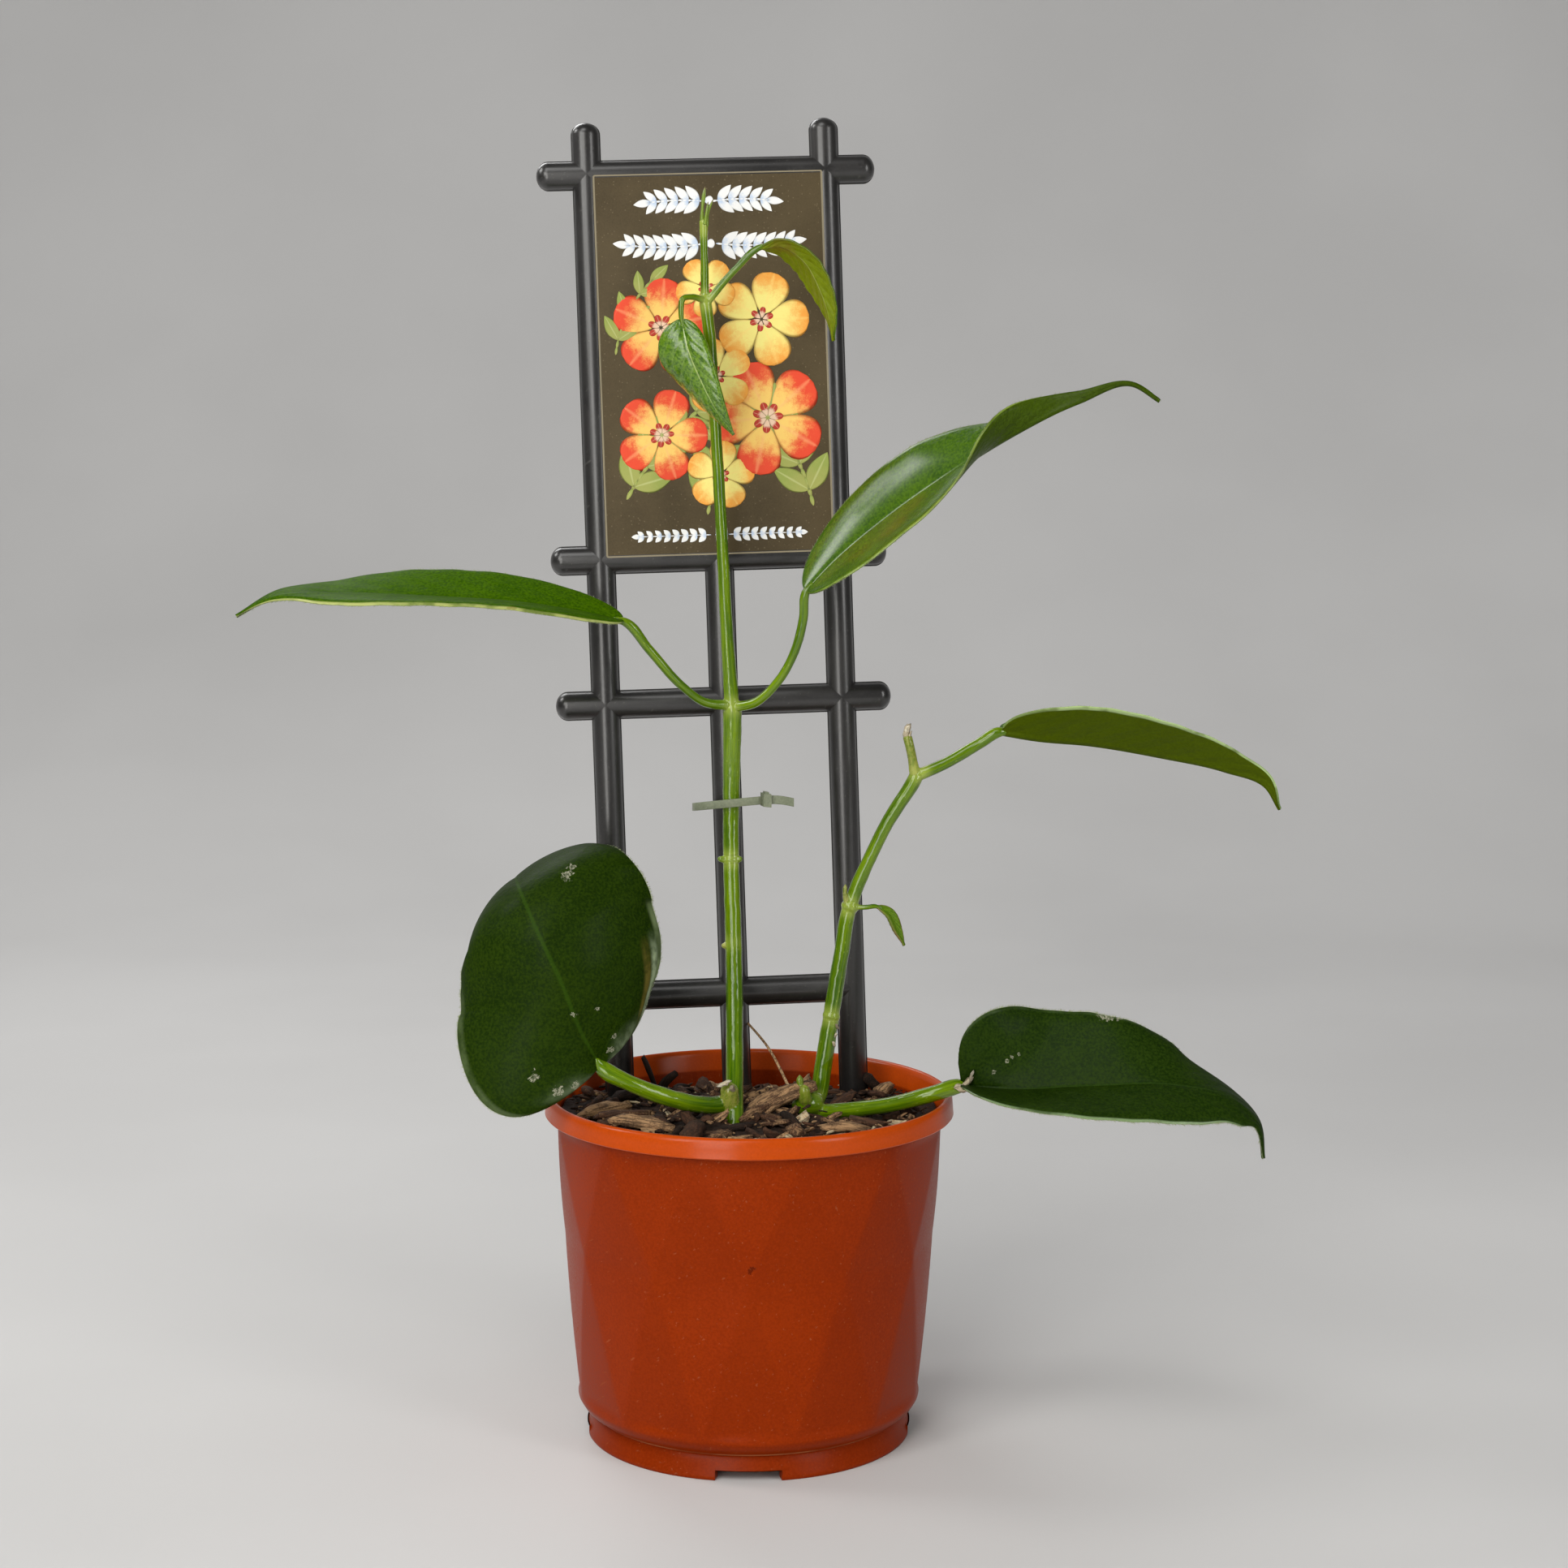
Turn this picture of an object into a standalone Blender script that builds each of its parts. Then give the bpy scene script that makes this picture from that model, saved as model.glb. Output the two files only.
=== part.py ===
"""A potted Hoya ariadna, tied to a ladder trellis in a plastic nursery pot.

The origin is the middle of the pot's underside, +Z is up and -Y is the front, where the card faces.
All sizes and places are in metres, and all angles in degrees.
"""

import math
import random
from dataclasses import dataclass

import bmesh
import bpy
import numpy as np
from mathutils import Matrix, Vector, noise

GAP = 0.0003
CLEARANCE = 0.0004

# Pot
RIM_RADIUS = 0.070
RIM_BOTTOM = 0.1117
RIM_TOP = 0.1185
RIM_THICKNESS = 0.0012
BODY_TOP_RADIUS = 0.0667
BODY_TOP = 0.111
BODY_BOTTOM_RADIUS = 0.0590
BODY_BOTTOM = 0.0135
FOOT_RADIUS = 0.0556
CREASE_RADIUS = 0.0536
CREASE_HEIGHT = 0.0076
WALL = 0.0015
FLOOR_THICKNESS = 0.0015
CHANNEL_HEIGHT = 0.0039
MIDDLE_RADIUS = 0.0240
MIDDLE_SLOPE = 0.0010
NOTCH_WIDTH = 0.022
NOTCH_HEIGHT = 0.0034
NOTCH_COUNT = 4
DRAIN_COUNT = 6
DRAIN_RADIUS = 0.004
DRAIN_RING = 0.040
POT_SEGMENTS = 40

# Trellis, in its own frame: x along the bars, y up the posts from the soil, z out of its front
TRELLIS_ORIGIN = (-0.0041, 0.0270, 0.1100)
TRELLIS_YAW = 3.0
TRELLIS_LEAN = 4.0
TRELLIS_ROLL = 1.87
POST_SPACING = 0.0413
POST_TOP = 0.3413
POST_BOTTOM = -0.085
RAIL_WIDTH = 0.0094
RAIL_DEPTH = 0.0050
FLANGE_WIDTH = 0.0102
FLANGE_DEPTH = 0.0008
BAR_REACH = 0.0588
TOP_BAR = 0.3232
CARD_BAR = 0.1903
MIDDLE_BAR = 0.1397
LOW_BAR = 0.0372
PANEL_BACK = 0.0002
PANEL_FRONT = 0.0017
CARD_WIDTH = 0.0795
CARD_HEIGHT = 0.1320
CARD_THICKNESS = 0.00035
CARD_CENTRE = (0.0004, 0.2568)
CARD_CORNER = 0.0008

# Potting mix
MIX_HEIGHT = 0.112
MIX_BACK_DROP = 0.008
MIX_MOUND = 0.0018
MIX_LUMPS = 0.0014
MIX_RINGS = 8
MIX_SEGMENTS = 32
CHIP_COUNT = 26
CHIP_SEED = 7
CHIP_REACH = 0.0625

# Tie
TIE_HEIGHT = 0.0028
TIE_THICKNESS = 0.0010
TIE_LEFT = -0.0197
TIE_RIGHT = 0.0067
TIE_FRONT = 0.0208
TIE_BACK = 0.0380
TIE_CENTRE_HEIGHT = 0.2153
TIE_SIDE_SLOPE = 0.10
TIE_BACK_SLOPE = -0.13
TIE_CORNER = 0.0065
TIE_TAIL_END = (0.0151, 0.0243)
TIE_HEAD = (0.0026, 0.0046, 0.0048)

# Leaves and how far short of their bases the stalks end
LEAF_THICKNESS = 0.0012
YOUNG_THICKNESS = 0.0009
BIG_LEFT_SEAT = 0.00125
BIG_RIGHT_SEAT = 0.0010
SMALL_SEAT = 0.00075
YOUNG_SEAT = 0.0006


def clear_scene():
    for old in list(bpy.data.objects):
        bpy.data.objects.remove(old)


def material(name, colour, roughness, metallic=0.0):
    """A plain surface of one colour (linear RGB)."""
    made = bpy.data.materials.new(name)
    made.use_nodes = True
    shader = made.node_tree.nodes["Principled BSDF"]
    shader.inputs["Base Color"].default_value = (*colour, 1.0)
    shader.inputs["Roughness"].default_value = roughness
    shader.inputs["Metallic"].default_value = metallic
    return made


def new_object(name, points, faces):
    """An object at the origin from points and faces, with its faces turned outwards."""
    mesh = bpy.data.meshes.new(name)
    mesh.from_pydata([tuple(map(float, point)) for point in points], [], faces)
    shape = bmesh.new()
    shape.from_mesh(mesh)
    bmesh.ops.recalc_face_normals(shape, faces=shape.faces)
    shape.to_mesh(mesh)
    shape.free()
    made = bpy.data.objects.new(name, mesh)
    bpy.context.scene.collection.objects.link(made)
    return made


def box(name, low, high):
    """A box between two corners."""
    points = [(x, y, z) for x in (low[0], high[0]) for y in (low[1], high[1]) for z in (low[2], high[2])]
    faces = [(0, 1, 3, 2), (4, 6, 7, 5), (0, 4, 5, 1), (2, 3, 7, 6), (0, 2, 6, 4), (1, 5, 7, 3)]
    return new_object(name, points, faces)


def cylinder(name, radius, bottom, top, centre, segments):
    """An upright round bar."""
    made = bmesh.new()
    bmesh.ops.create_cone(made, cap_ends=True, segments=segments, radius1=radius, radius2=radius,
                          depth=top - bottom)
    bmesh.ops.translate(made, verts=made.verts, vec=(centre[0], centre[1], (bottom + top) / 2))
    mesh = bpy.data.meshes.new(name)
    made.to_mesh(mesh)
    made.free()
    result = bpy.data.objects.new(name, mesh)
    bpy.context.scene.collection.objects.link(result)
    return result


def settle(made):
    """Turn the modifiers of an object into its mesh."""
    graph = bpy.context.evaluated_depsgraph_get()
    mesh = bpy.data.meshes.new_from_object(made.evaluated_get(graph))
    made.modifiers.clear()
    made.data = mesh


def combine(base, others, operation, solver="EXACT"):
    """Join the others to the base, or cut them from it, with one Boolean."""
    helpers = bpy.data.collections.new("helpers")
    bpy.context.scene.collection.children.link(helpers)
    for piece in others:
        bpy.context.scene.collection.objects.unlink(piece)
        helpers.objects.link(piece)
    step = base.modifiers.new(operation.lower(), "BOOLEAN")
    step.operation = operation
    step.operand_type = "COLLECTION"
    step.collection = helpers
    step.solver = solver
    settle(base)
    for piece in others:
        bpy.data.objects.remove(piece)
    bpy.data.collections.remove(helpers)
    return base


def drop_scraps(made):
    """Keep only the largest connected body of an object."""
    shape = bmesh.new()
    shape.from_mesh(made.data)
    waiting = set(shape.verts)
    bodies = []
    while waiting:
        seed = waiting.pop()
        body = {seed}
        edge_of_search = [seed]
        while edge_of_search:
            vert = edge_of_search.pop()
            for edge in vert.link_edges:
                near = edge.other_vert(vert)
                if near not in body:
                    body.add(near)
                    edge_of_search.append(near)
        waiting -= body
        bodies.append(body)
    bodies.sort(key=len, reverse=True)
    scraps = [vert for body in bodies[1:] for vert in body]
    bmesh.ops.delete(shape, geom=scraps, context="VERTS")
    shape.to_mesh(made.data)
    shape.free()


def finish(made, name, look, sharp_angle=35):
    """Name an object, give it its material and shade its round faces smooth."""
    made.name = name
    made.data.name = name
    made.data.materials.clear()
    made.data.materials.append(look)
    made.data.shade_smooth()
    made.data.set_sharp_from_angle(angle=math.radians(sharp_angle))
    return made


def unit(vectors):
    return vectors / np.linalg.norm(vectors, axis=-1, keepdims=True)


def fractions_along(points):
    """How far along its own length each point of a route lies, 0 to 1."""
    gaps = np.linalg.norm(np.diff(points, axis=0), axis=1)
    return np.concatenate([[0.0], np.cumsum(gaps)]) / gaps.sum()


def smooth(knots, values, at):
    """A smooth curve through values given at knots, read at other places."""
    values = np.asarray(values, float)
    flat = values.ndim == 1
    if flat:
        values = values[:, None]
    slopes = np.gradient(values, knots, axis=0)
    left = np.clip(np.searchsorted(knots, at, side="right") - 1, 0, len(knots) - 2)
    width = (knots[left + 1] - knots[left])[:, None]
    s = (at - knots[left])[:, None] / width
    result = ((2 * s**3 - 3 * s**2 + 1) * values[left]
              + (s**3 - 2 * s**2 + s) * width * slopes[left]
              + (3 * s**2 - 2 * s**3) * values[left + 1]
              + (s**3 - s**2) * width * slopes[left + 1])
    return result[:, 0] if flat else result


def carried_normals(tangents, first):
    """Unit normals along a route that start near one direction and turn only as the route turns."""
    normals = np.empty_like(tangents)
    normal = np.asarray(first, float)
    for k, tangent in enumerate(tangents):
        normal = unit(normal - tangent * (normal @ tangent))
        normals[k] = normal
    return normals


@dataclass(frozen=True)
class Stalk:
    """A round stem piece: its route, the radii spread evenly along it, and its sides."""

    route: tuple
    radii: tuple
    sides: int = 7
    spacing: float = 0.010
    in_mix: bool = False


def stalk_object(stalk, grow=0.0):
    """A tube with rounded ends along a stalk's route, made wider by grow all round."""
    points = np.array(stalk.route, float)
    knots = fractions_along(points)
    length = np.linalg.norm(np.diff(points, axis=0), axis=1).sum()
    count = max(4, round(length / stalk.spacing) + 1)
    end = min(stalk.radii[0], stalk.radii[-1]) / length * 0.9
    at = np.concatenate([[0.0, 0.35 * end], np.linspace(end, 1 - end, count), [1 - 0.35 * end, 1.0]])
    centres = smooth(knots, points, at)
    tangents = unit(np.gradient(centres, at, axis=0))
    first = (1.0, 0.3, 0.1) if abs(tangents[0][0]) < 0.8 else (0.0, 0.3, 1.0)
    normals = carried_normals(tangents, first)
    across = np.cross(tangents, normals)
    radii = smooth(np.linspace(0, 1, len(stalk.radii)), stalk.radii, at)
    radii = radii * np.concatenate([[0.35, 0.8], np.ones(count), [0.8, 0.35]]) + grow
    centres[0] -= tangents[0] * grow
    centres[-1] += tangents[-1] * grow
    turn = 2 * np.pi * np.arange(stalk.sides) / stalk.sides
    ring = (normals[:, None] * np.cos(turn)[None, :, None] + across[:, None] * np.sin(turn)[None, :, None])
    skin = (centres[:, None] + radii[:, None, None] * ring).reshape(-1, 3)
    rows = len(at)
    faces = [tuple(range(stalk.sides)), tuple((rows - 1) * stalk.sides + k for k in range(stalk.sides))]
    for row in range(rows - 1):
        for k in range(stalk.sides):
            after = (k + 1) % stalk.sides
            low = row * stalk.sides
            faces.append((low + k, low + after, low + stalk.sides + after, low + stalk.sides + k))
    return new_object("stalk", skin, faces)


@dataclass(frozen=True)
class Half:
    """One half of a leaf blade, from the midrib to the margin.

    width is its greatest width, widest how far along the midrib that is, and lifts the angles at which it
    leaves the midrib's plane, spread evenly from base to tip. curl is how much further it bends on its way
    to the margin, and lobe how far its base reaches back past the stalk's end.
    """

    width: float
    widest: float
    lifts: tuple
    curl: float
    lobe: float


@dataclass(frozen=True)
class Leaf:
    """A blade: its midrib's route, the direction that its upper face looks in at the base, and its halves."""

    route: tuple
    facing: tuple
    blunt: float
    sharp: float
    left: Half
    right: Half
    rows: int = 18
    columns: int = 4
    thickness: float = LEAF_THICKNESS
    base_width: float = 0.0012
    tip_width: float = 0.0004


def outline(t, widest, blunt, sharp):
    """The blade's half width along its length, from 0 to 1: a blunt arc to the widest place, then a taper."""
    base = np.clip(1 - t / widest, 0, 1)
    tip = np.clip((t - widest) / (1 - widest), 0, 1)
    return np.where(t < widest, (1 - base**blunt) ** (1 / blunt), np.cos(np.pi / 2 * tip) ** sharp)


def blade_points(leaf):
    """The blade's middle surface as rows of points, left margin to right margin."""
    route = np.array(leaf.route, float)
    even = np.linspace(0, 1, leaf.rows)
    at = 0.7 * (1 - np.cos(np.pi * even)) / 2 + 0.3 * even
    midrib = smooth(fractions_along(route), route, at)
    tangents = unit(np.gradient(midrib, at, axis=0))
    normals = carried_normals(tangents, leaf.facing)
    across = np.cross(tangents, normals)
    least = leaf.base_width + (leaf.tip_width - leaf.base_width) * at
    halves = []
    for side, half in ((-1, leaf.left), (1, leaf.right)):
        share = outline(at, half.widest, leaf.blunt, leaf.sharp)
        width = np.maximum(half.width * share, least)[:, None, None]
        start = np.radians(smooth(np.linspace(0, 1, len(half.lifts)), half.lifts, at))[:, None, None]
        bend = math.radians(half.curl) or 1e-3
        v = (np.arange(1, leaf.columns + 1) / leaf.columns)[None, :, None]
        out = (np.sin(start + bend * v) - np.sin(start)) / bend
        up = (np.cos(start) - np.cos(start + bend * v)) / bend
        back = half.lobe * (share * np.exp(-at / 0.08))[:, None, None] * v**1.5
        halves.append(midrib[:, None] + side * across[:, None] * width * out
                      + normals[:, None] * width * up - tangents[:, None] * back)
    return np.concatenate([halves[0][:, ::-1], midrib[:, None], halves[1]], axis=1)


def leaf_object(leaf):
    """A leaf blade: the middle surface as triangles, given its thickness."""
    grid = blade_points(leaf)
    rows, columns = grid.shape[:2]
    faces = []
    for row in range(rows - 1):
        for k in range(columns - 1):
            a = row * columns + k
            b, c, d = a + 1, a + columns + 1, a + columns
            faces += [(a, b, c), (a, c, d)] if k < columns // 2 else [(a, b, d), (b, c, d)]
    mesh = bpy.data.meshes.new("blade")
    mesh.from_pydata([tuple(map(float, point)) for point in grid.reshape(-1, 3)], [], faces)
    made = bpy.data.objects.new("blade", mesh)
    bpy.context.scene.collection.objects.link(made)
    solid = made.modifiers.new("thickness", "SOLIDIFY")
    solid.thickness = leaf.thickness
    solid.offset = 0.0
    return made


BIG_LEFT = Leaf(
    route=((-0.0495, -0.034, 0.1348), (-0.0548, -0.039, 0.1459), (-0.0619, -0.043, 0.1651),
           (-0.0683, -0.041, 0.1784), (-0.0746, -0.031, 0.1899), (-0.0785, -0.008, 0.1917),
           (-0.0791, 0.020, 0.1810)),
    facing=(-0.10, -0.95, 0.20),
    blunt=2.8,
    sharp=0.82,
    left=Half(0.0416, 0.15, (44, 0, -6, -2, 0), -40, 0.0041),
    right=Half(0.0433, 0.44, (-16, -15, -8, 13, 5), -38, 0.0034),
    rows=22,
    columns=6,
)
BIG_RIGHT = Leaf(
    route=((0.0716, -0.0160, 0.1240), (0.0864, -0.021, 0.1237), (0.1142, -0.028, 0.1265),
           (0.1417, -0.031, 0.1275), (0.1611, -0.032, 0.1228), (0.1695, -0.033, 0.1150),
           (0.1716, -0.032, 0.1032)),
    facing=(0.0, -0.30, 0.95),
    blunt=3.0,
    sharp=1.04,
    left=Half(0.0291, 0.22, (88, 46, 41, -2, -10), -7, 0.0036),
    right=Half(0.0233, 0.37, (28, 13, -1, -15, -4), -4, -0.0060),
    rows=22,
    columns=5,
)
UPPER_LEFT = Leaf(
    route=((-0.0434, 0.008, 0.2792), (-0.0562, 0.006, 0.2820), (-0.0779, 0.003, 0.2854),
           (-0.1049, 0.0, 0.2872), (-0.1371, -0.003, 0.2886), (-0.1598, -0.005, 0.2881),
           (-0.1718, -0.005, 0.2813)),
    facing=(0.0, -0.10, 1.0),
    blunt=2.2,
    sharp=1.4,
    left=Half(0.0200, 0.48, (3, 9, -14), -12, 0.0),
    right=Half(0.0201, 0.50, (23, 23, 0), -2, 0.0015),
)
UPPER_RIGHT = Leaf(
    route=((0.0190, 0.010, 0.2895), (0.0275, 0.009, 0.2986), (0.0471, 0.003, 0.3156),
           (0.0687, -0.006, 0.3312), (0.0872, -0.012, 0.3431), (0.1078, -0.016, 0.3533),
           (0.1248, -0.018, 0.3589), (0.1339, -0.018, 0.3536)),
    facing=(-0.35, -0.90, 0.35),
    blunt=2.1,
    sharp=2.17,
    left=Half(0.0202, 0.33, (-17, -7, -12, -52, -49), -22, 0.0016),
    right=Half(0.0204, 0.33, (28, 31, 49, 147, 78), 24, 0.0),
    rows=22,
)
SIDE_TOP = Leaf(
    route=((0.0858, 0.011, 0.2414), (0.0975, 0.013, 0.2392), (0.1174, 0.016, 0.2370),
           (0.1416, 0.018, 0.2326), (0.1645, 0.020, 0.2273), (0.1789, 0.0215, 0.2215),
           (0.1840, 0.022, 0.2135)),
    facing=(0.0, 0.10, 1.0),
    blunt=2.1,
    sharp=1.09,
    left=Half(0.0200, 0.40, (30, 30, 30), -10, 0.0020),
    right=Half(0.0195, 0.36, (47, 41, 59), 0, 0.0025),
)
SIDE_SMALL = Leaf(
    route=((0.0438, 0.008, 0.1813), (0.0477, 0.008, 0.1790), (0.0508, 0.008, 0.1728), (0.0531, 0.008, 0.1677)),
    facing=(0.45, -0.70, 0.45),
    blunt=2.0,
    sharp=1.0,
    left=Half(0.0024, 0.45, (10, 10, 10), 10, 0.0),
    right=Half(0.0022, 0.45, (10, 10, 10), 10, 0.0),
    rows=9,
    columns=2,
    thickness=0.0007,
    base_width=0.0007,
)
YOUNG_LEFT = Leaf(
    route=((-0.0235, 0.014, 0.3802), (-0.0212, 0.0115, 0.3706), (-0.0171, 0.011, 0.3608),
           (-0.0114, 0.011, 0.3500), (-0.0059, 0.012, 0.3419)),
    facing=(-0.20, -0.95, 0.10),
    blunt=2.0,
    sharp=1.01,
    left=Half(0.0069, 0.29, (3, 23, 9), -22, 0.0003),
    right=Half(0.0126, 0.30, (27, -21, -36), -46, 0.0008),
    rows=14,
    columns=3,
    thickness=YOUNG_THICKNESS,
    base_width=0.0008,
)
YOUNG_RIGHT = Leaf(
    route=((0.0032, 0.017, 0.4048), (0.0098, 0.016, 0.4057), (0.0175, 0.0153, 0.4011),
           (0.0235, 0.015, 0.3909), (0.0269, 0.015, 0.3803), (0.0278, 0.016, 0.3736)),
    facing=(-0.10, 0.60, 0.90),
    blunt=1.6,
    sharp=1.15,
    left=Half(0.0090, 0.44, (-16, -2, 6), 8, 0.0006),
    right=Half(0.0056, 0.49, (-7, 17, 43), 5, 0.0010),
    rows=14,
    columns=3,
    thickness=YOUNG_THICKNESS,
    base_width=0.0008,
)


def up_to(leaf, seat, *points):
    """A stalk's route that ends just short of a leaf's base, by the seat's length."""
    base = np.array(leaf.route[0])
    arriving = unit(base - np.array(points[-1]))
    return (*points, tuple(base - arriving * seat))


MAIN_STEM = (
    Stalk(((-0.0048, -0.0250, 0.0960), (-0.0050, -0.0220, 0.1102), (-0.0051, -0.0040, 0.1319),
           (-0.0056, 0.0140, 0.1680), (-0.0066, 0.0225, 0.1960), (-0.0066, 0.0250, 0.2147),
           (-0.0063, 0.0245, 0.2402), (-0.0061, 0.0240, 0.2510)),
          (0.0031, 0.0030, 0.0029, 0.0029, 0.0034), sides=8, spacing=0.014, in_mix=True),
    Stalk(((-0.0061, 0.0240, 0.2450), (-0.0078, 0.0230, 0.2685), (-0.0101, 0.0220, 0.3104),
           (-0.0126, 0.0220, 0.3517), (-0.0146, 0.0220, 0.3790), (-0.0160, 0.0220, 0.3890)),
          (0.0027, 0.0022, 0.00205, 0.0020, 0.0022), sides=7, spacing=0.018),
    Stalk(((-0.0158, 0.0220, 0.3860), (-0.0159, 0.0220, 0.3981), (-0.0162, 0.0220, 0.4089),
           (-0.0162, 0.0220, 0.4150)), (0.0016, 0.0014, 0.0013, 0.0016), sides=7),
    Stalk(((-0.0161, 0.0220, 0.4130), (-0.0157, 0.0210, 0.4190), (-0.0157, 0.0210, 0.4250)),
          (0.0012, 0.0009, 0.0005), sides=6),
    Stalk(((-0.0158, 0.0217, 0.4122), (-0.0145, 0.0208, 0.4170), (-0.0137, 0.0208, 0.4205)),
          (0.0011, 0.0009, 0.0005), sides=6),
    Stalk(up_to(UPPER_LEFT, SMALL_SEAT, (-0.0070, 0.0235, 0.2490), (-0.0158, 0.0190, 0.2506),
                (-0.0241, 0.0150, 0.2571),
                (-0.0345, 0.0110, 0.2693)), (0.0019, 0.00155, 0.00155, 0.0016)),
    Stalk(up_to(UPPER_RIGHT, SMALL_SEAT, (-0.0055, 0.0235, 0.2485), (0.0015, 0.0190, 0.2504),
                (0.0093, 0.0160, 0.2579), (0.0153, 0.0130, 0.2693), (0.0180, 0.0115, 0.2805)),
          (0.0019, 0.00155, 0.00155, 0.0016)),
    Stalk(up_to(BIG_LEFT, BIG_LEFT_SEAT, (-0.0050, -0.0140, 0.1195), (-0.0086, -0.0170, 0.1182),
                (-0.0164, -0.0240, 0.1193), (-0.0244, -0.0290, 0.1221), (-0.0322, -0.0320, 0.1253),
                (-0.0399, -0.0340, 0.1290)), (0.0030, 0.0029, 0.0029, 0.0027), spacing=0.009, in_mix=True),
    Stalk(up_to(YOUNG_LEFT, YOUNG_SEAT, (-0.0160, 0.0215, 0.3872), (-0.0205, 0.0170, 0.3881),
                (-0.0232, 0.0150, 0.3874), (-0.0237, 0.0145, 0.3842)),
          (0.0012, 0.00105, 0.0010), sides=6, spacing=0.003),
    Stalk(up_to(YOUNG_RIGHT, YOUNG_SEAT, (-0.0150, 0.0215, 0.3865), (-0.0052, 0.0190, 0.3977)),
          (0.0014, 0.0013, 0.0012), sides=7, spacing=0.006),
    Stalk(((-0.0052, -0.0165, 0.1130), (-0.0066, -0.0190, 0.1200), (-0.0069, -0.0195, 0.1260)),
          (0.0030, 0.0030, 0.0031), spacing=0.005, in_mix=True),
    Stalk(((-0.0067, 0.0221, 0.1931), (-0.0066, 0.0228, 0.1974)), (0.0035, 0.0037, 0.0035), sides=9),
    Stalk(((-0.0078, 0.0215, 0.1953), (-0.0113, 0.0205, 0.1960)), (0.0014, 0.0010), sides=6),
    Stalk(((-0.0058, 0.0215, 0.1953), (-0.0025, 0.0205, 0.1960)), (0.0014, 0.0010), sides=6),
    Stalk(((-0.0066, 0.0150, 0.1665), (-0.0097, 0.0120, 0.1668)), (0.0014, 0.0009), sides=6),
)
SIDE_STEM = (
    Stalk(((0.0212, 0.0020, 0.0960), (0.0216, 0.0030, 0.1061), (0.0223, 0.0040, 0.1125),
           (0.0240, 0.0047, 0.1172), (0.0254, 0.0056, 0.1260), (0.0281, 0.0070, 0.1432),
           (0.0313, 0.0085, 0.1634), (0.0344, 0.0100, 0.1809), (0.0371, 0.0100, 0.1886),
           (0.0412, 0.0100, 0.1979), (0.0472, 0.0100, 0.2103), (0.0544, 0.0100, 0.2218),
           (0.0577, 0.0100, 0.2275)),
          (0.0032, 0.0031, 0.0028, 0.0026, 0.0023, 0.0026), sides=8, spacing=0.012, in_mix=True),
    Stalk(((0.0278, 0.0067, 0.1408), (0.0285, 0.0073, 0.1456)), (0.0033, 0.0035, 0.0033), sides=9),
    Stalk(((0.0336, 0.0095, 0.1783), (0.0353, 0.0102, 0.1837)), (0.0029, 0.0032, 0.0029), sides=9),
    Stalk(up_to(BIG_RIGHT, BIG_RIGHT_SEAT, (0.0190, 0.0040, 0.1085), (0.0255, -0.0010, 0.1111),
                (0.0362, -0.0070, 0.1137), (0.0492, -0.0130, 0.1171), (0.0630, -0.0175, 0.1219)),
          (0.0029, 0.0027, 0.0026, 0.0027), spacing=0.009, in_mix=True),
    Stalk(up_to(SIDE_TOP, SMALL_SEAT, (0.0565, 0.0100, 0.2260), (0.0677, 0.0110, 0.2310),
                (0.0780, 0.0120, 0.2370)), (0.0022, 0.0020, 0.0020), spacing=0.008),
    Stalk(((0.0565, 0.0098, 0.2260), (0.0548, 0.0090, 0.2351), (0.0533, 0.0090, 0.2415)),
          (0.0018, 0.0013, 0.0012), sides=7, spacing=0.004),
    Stalk(up_to(SIDE_SMALL, YOUNG_SEAT, (0.0345, 0.0095, 0.1808), (0.0396, 0.0080, 0.1810)),
          (0.0010, 0.0009, 0.0009), sides=6, spacing=0.004),
    Stalk(((0.0340, 0.0090, 0.1800), (0.0326, 0.0080, 0.1855), (0.0328, 0.0080, 0.1893)),
          (0.0012, 0.0009, 0.0006), sides=6, spacing=0.003),
    Stalk(((0.0145, -0.0030, 0.1140), (0.0200, -0.0020, 0.1145), (0.0250, 0.0010, 0.1145)),
          (0.0030, 0.0042, 0.0034), spacing=0.004, in_mix=True),
    Stalk(((0.0172, -0.0030, 0.1150), (0.0173, -0.0040, 0.1200), (0.0172, -0.0040, 0.1250)),
          (0.0016, 0.0014, 0.0012), sides=6, spacing=0.004, in_mix=True),
    Stalk(((0.0190, -0.0040, 0.1150), (0.0189, -0.0062, 0.1190), (0.0187, -0.0066, 0.1222)),
          (0.0022, 0.0022, 0.0016), sides=7, spacing=0.003, in_mix=True),
)


def inner_radius(height):
    """The pot's inner radius, for a height on its straight wall."""
    taper = (BODY_TOP_RADIUS - BODY_BOTTOM_RADIUS) / (BODY_TOP - BODY_BOTTOM)
    return BODY_BOTTOM_RADIUS + taper * (height - BODY_BOTTOM) - WALL


def turned(name, profile, segments):
    """A body of revolution about Z from a profile of (radius, height), inside first and outside downwards."""
    mesh = bpy.data.meshes.new(name)
    edges = [(k, k + 1) for k in range(len(profile) - 1)]
    mesh.from_pydata([(radius, 0.0, height) for radius, height in profile], edges, [])
    made = bpy.data.objects.new(name, mesh)
    bpy.context.scene.collection.objects.link(made)
    screw = made.modifiers.new("turn", "SCREW")
    screw.steps = segments
    screw.render_steps = segments
    screw.use_merge_vertices = True
    screw.merge_threshold = 0.00001
    screw.use_normal_calculate = True
    settle(made)
    return made


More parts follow.
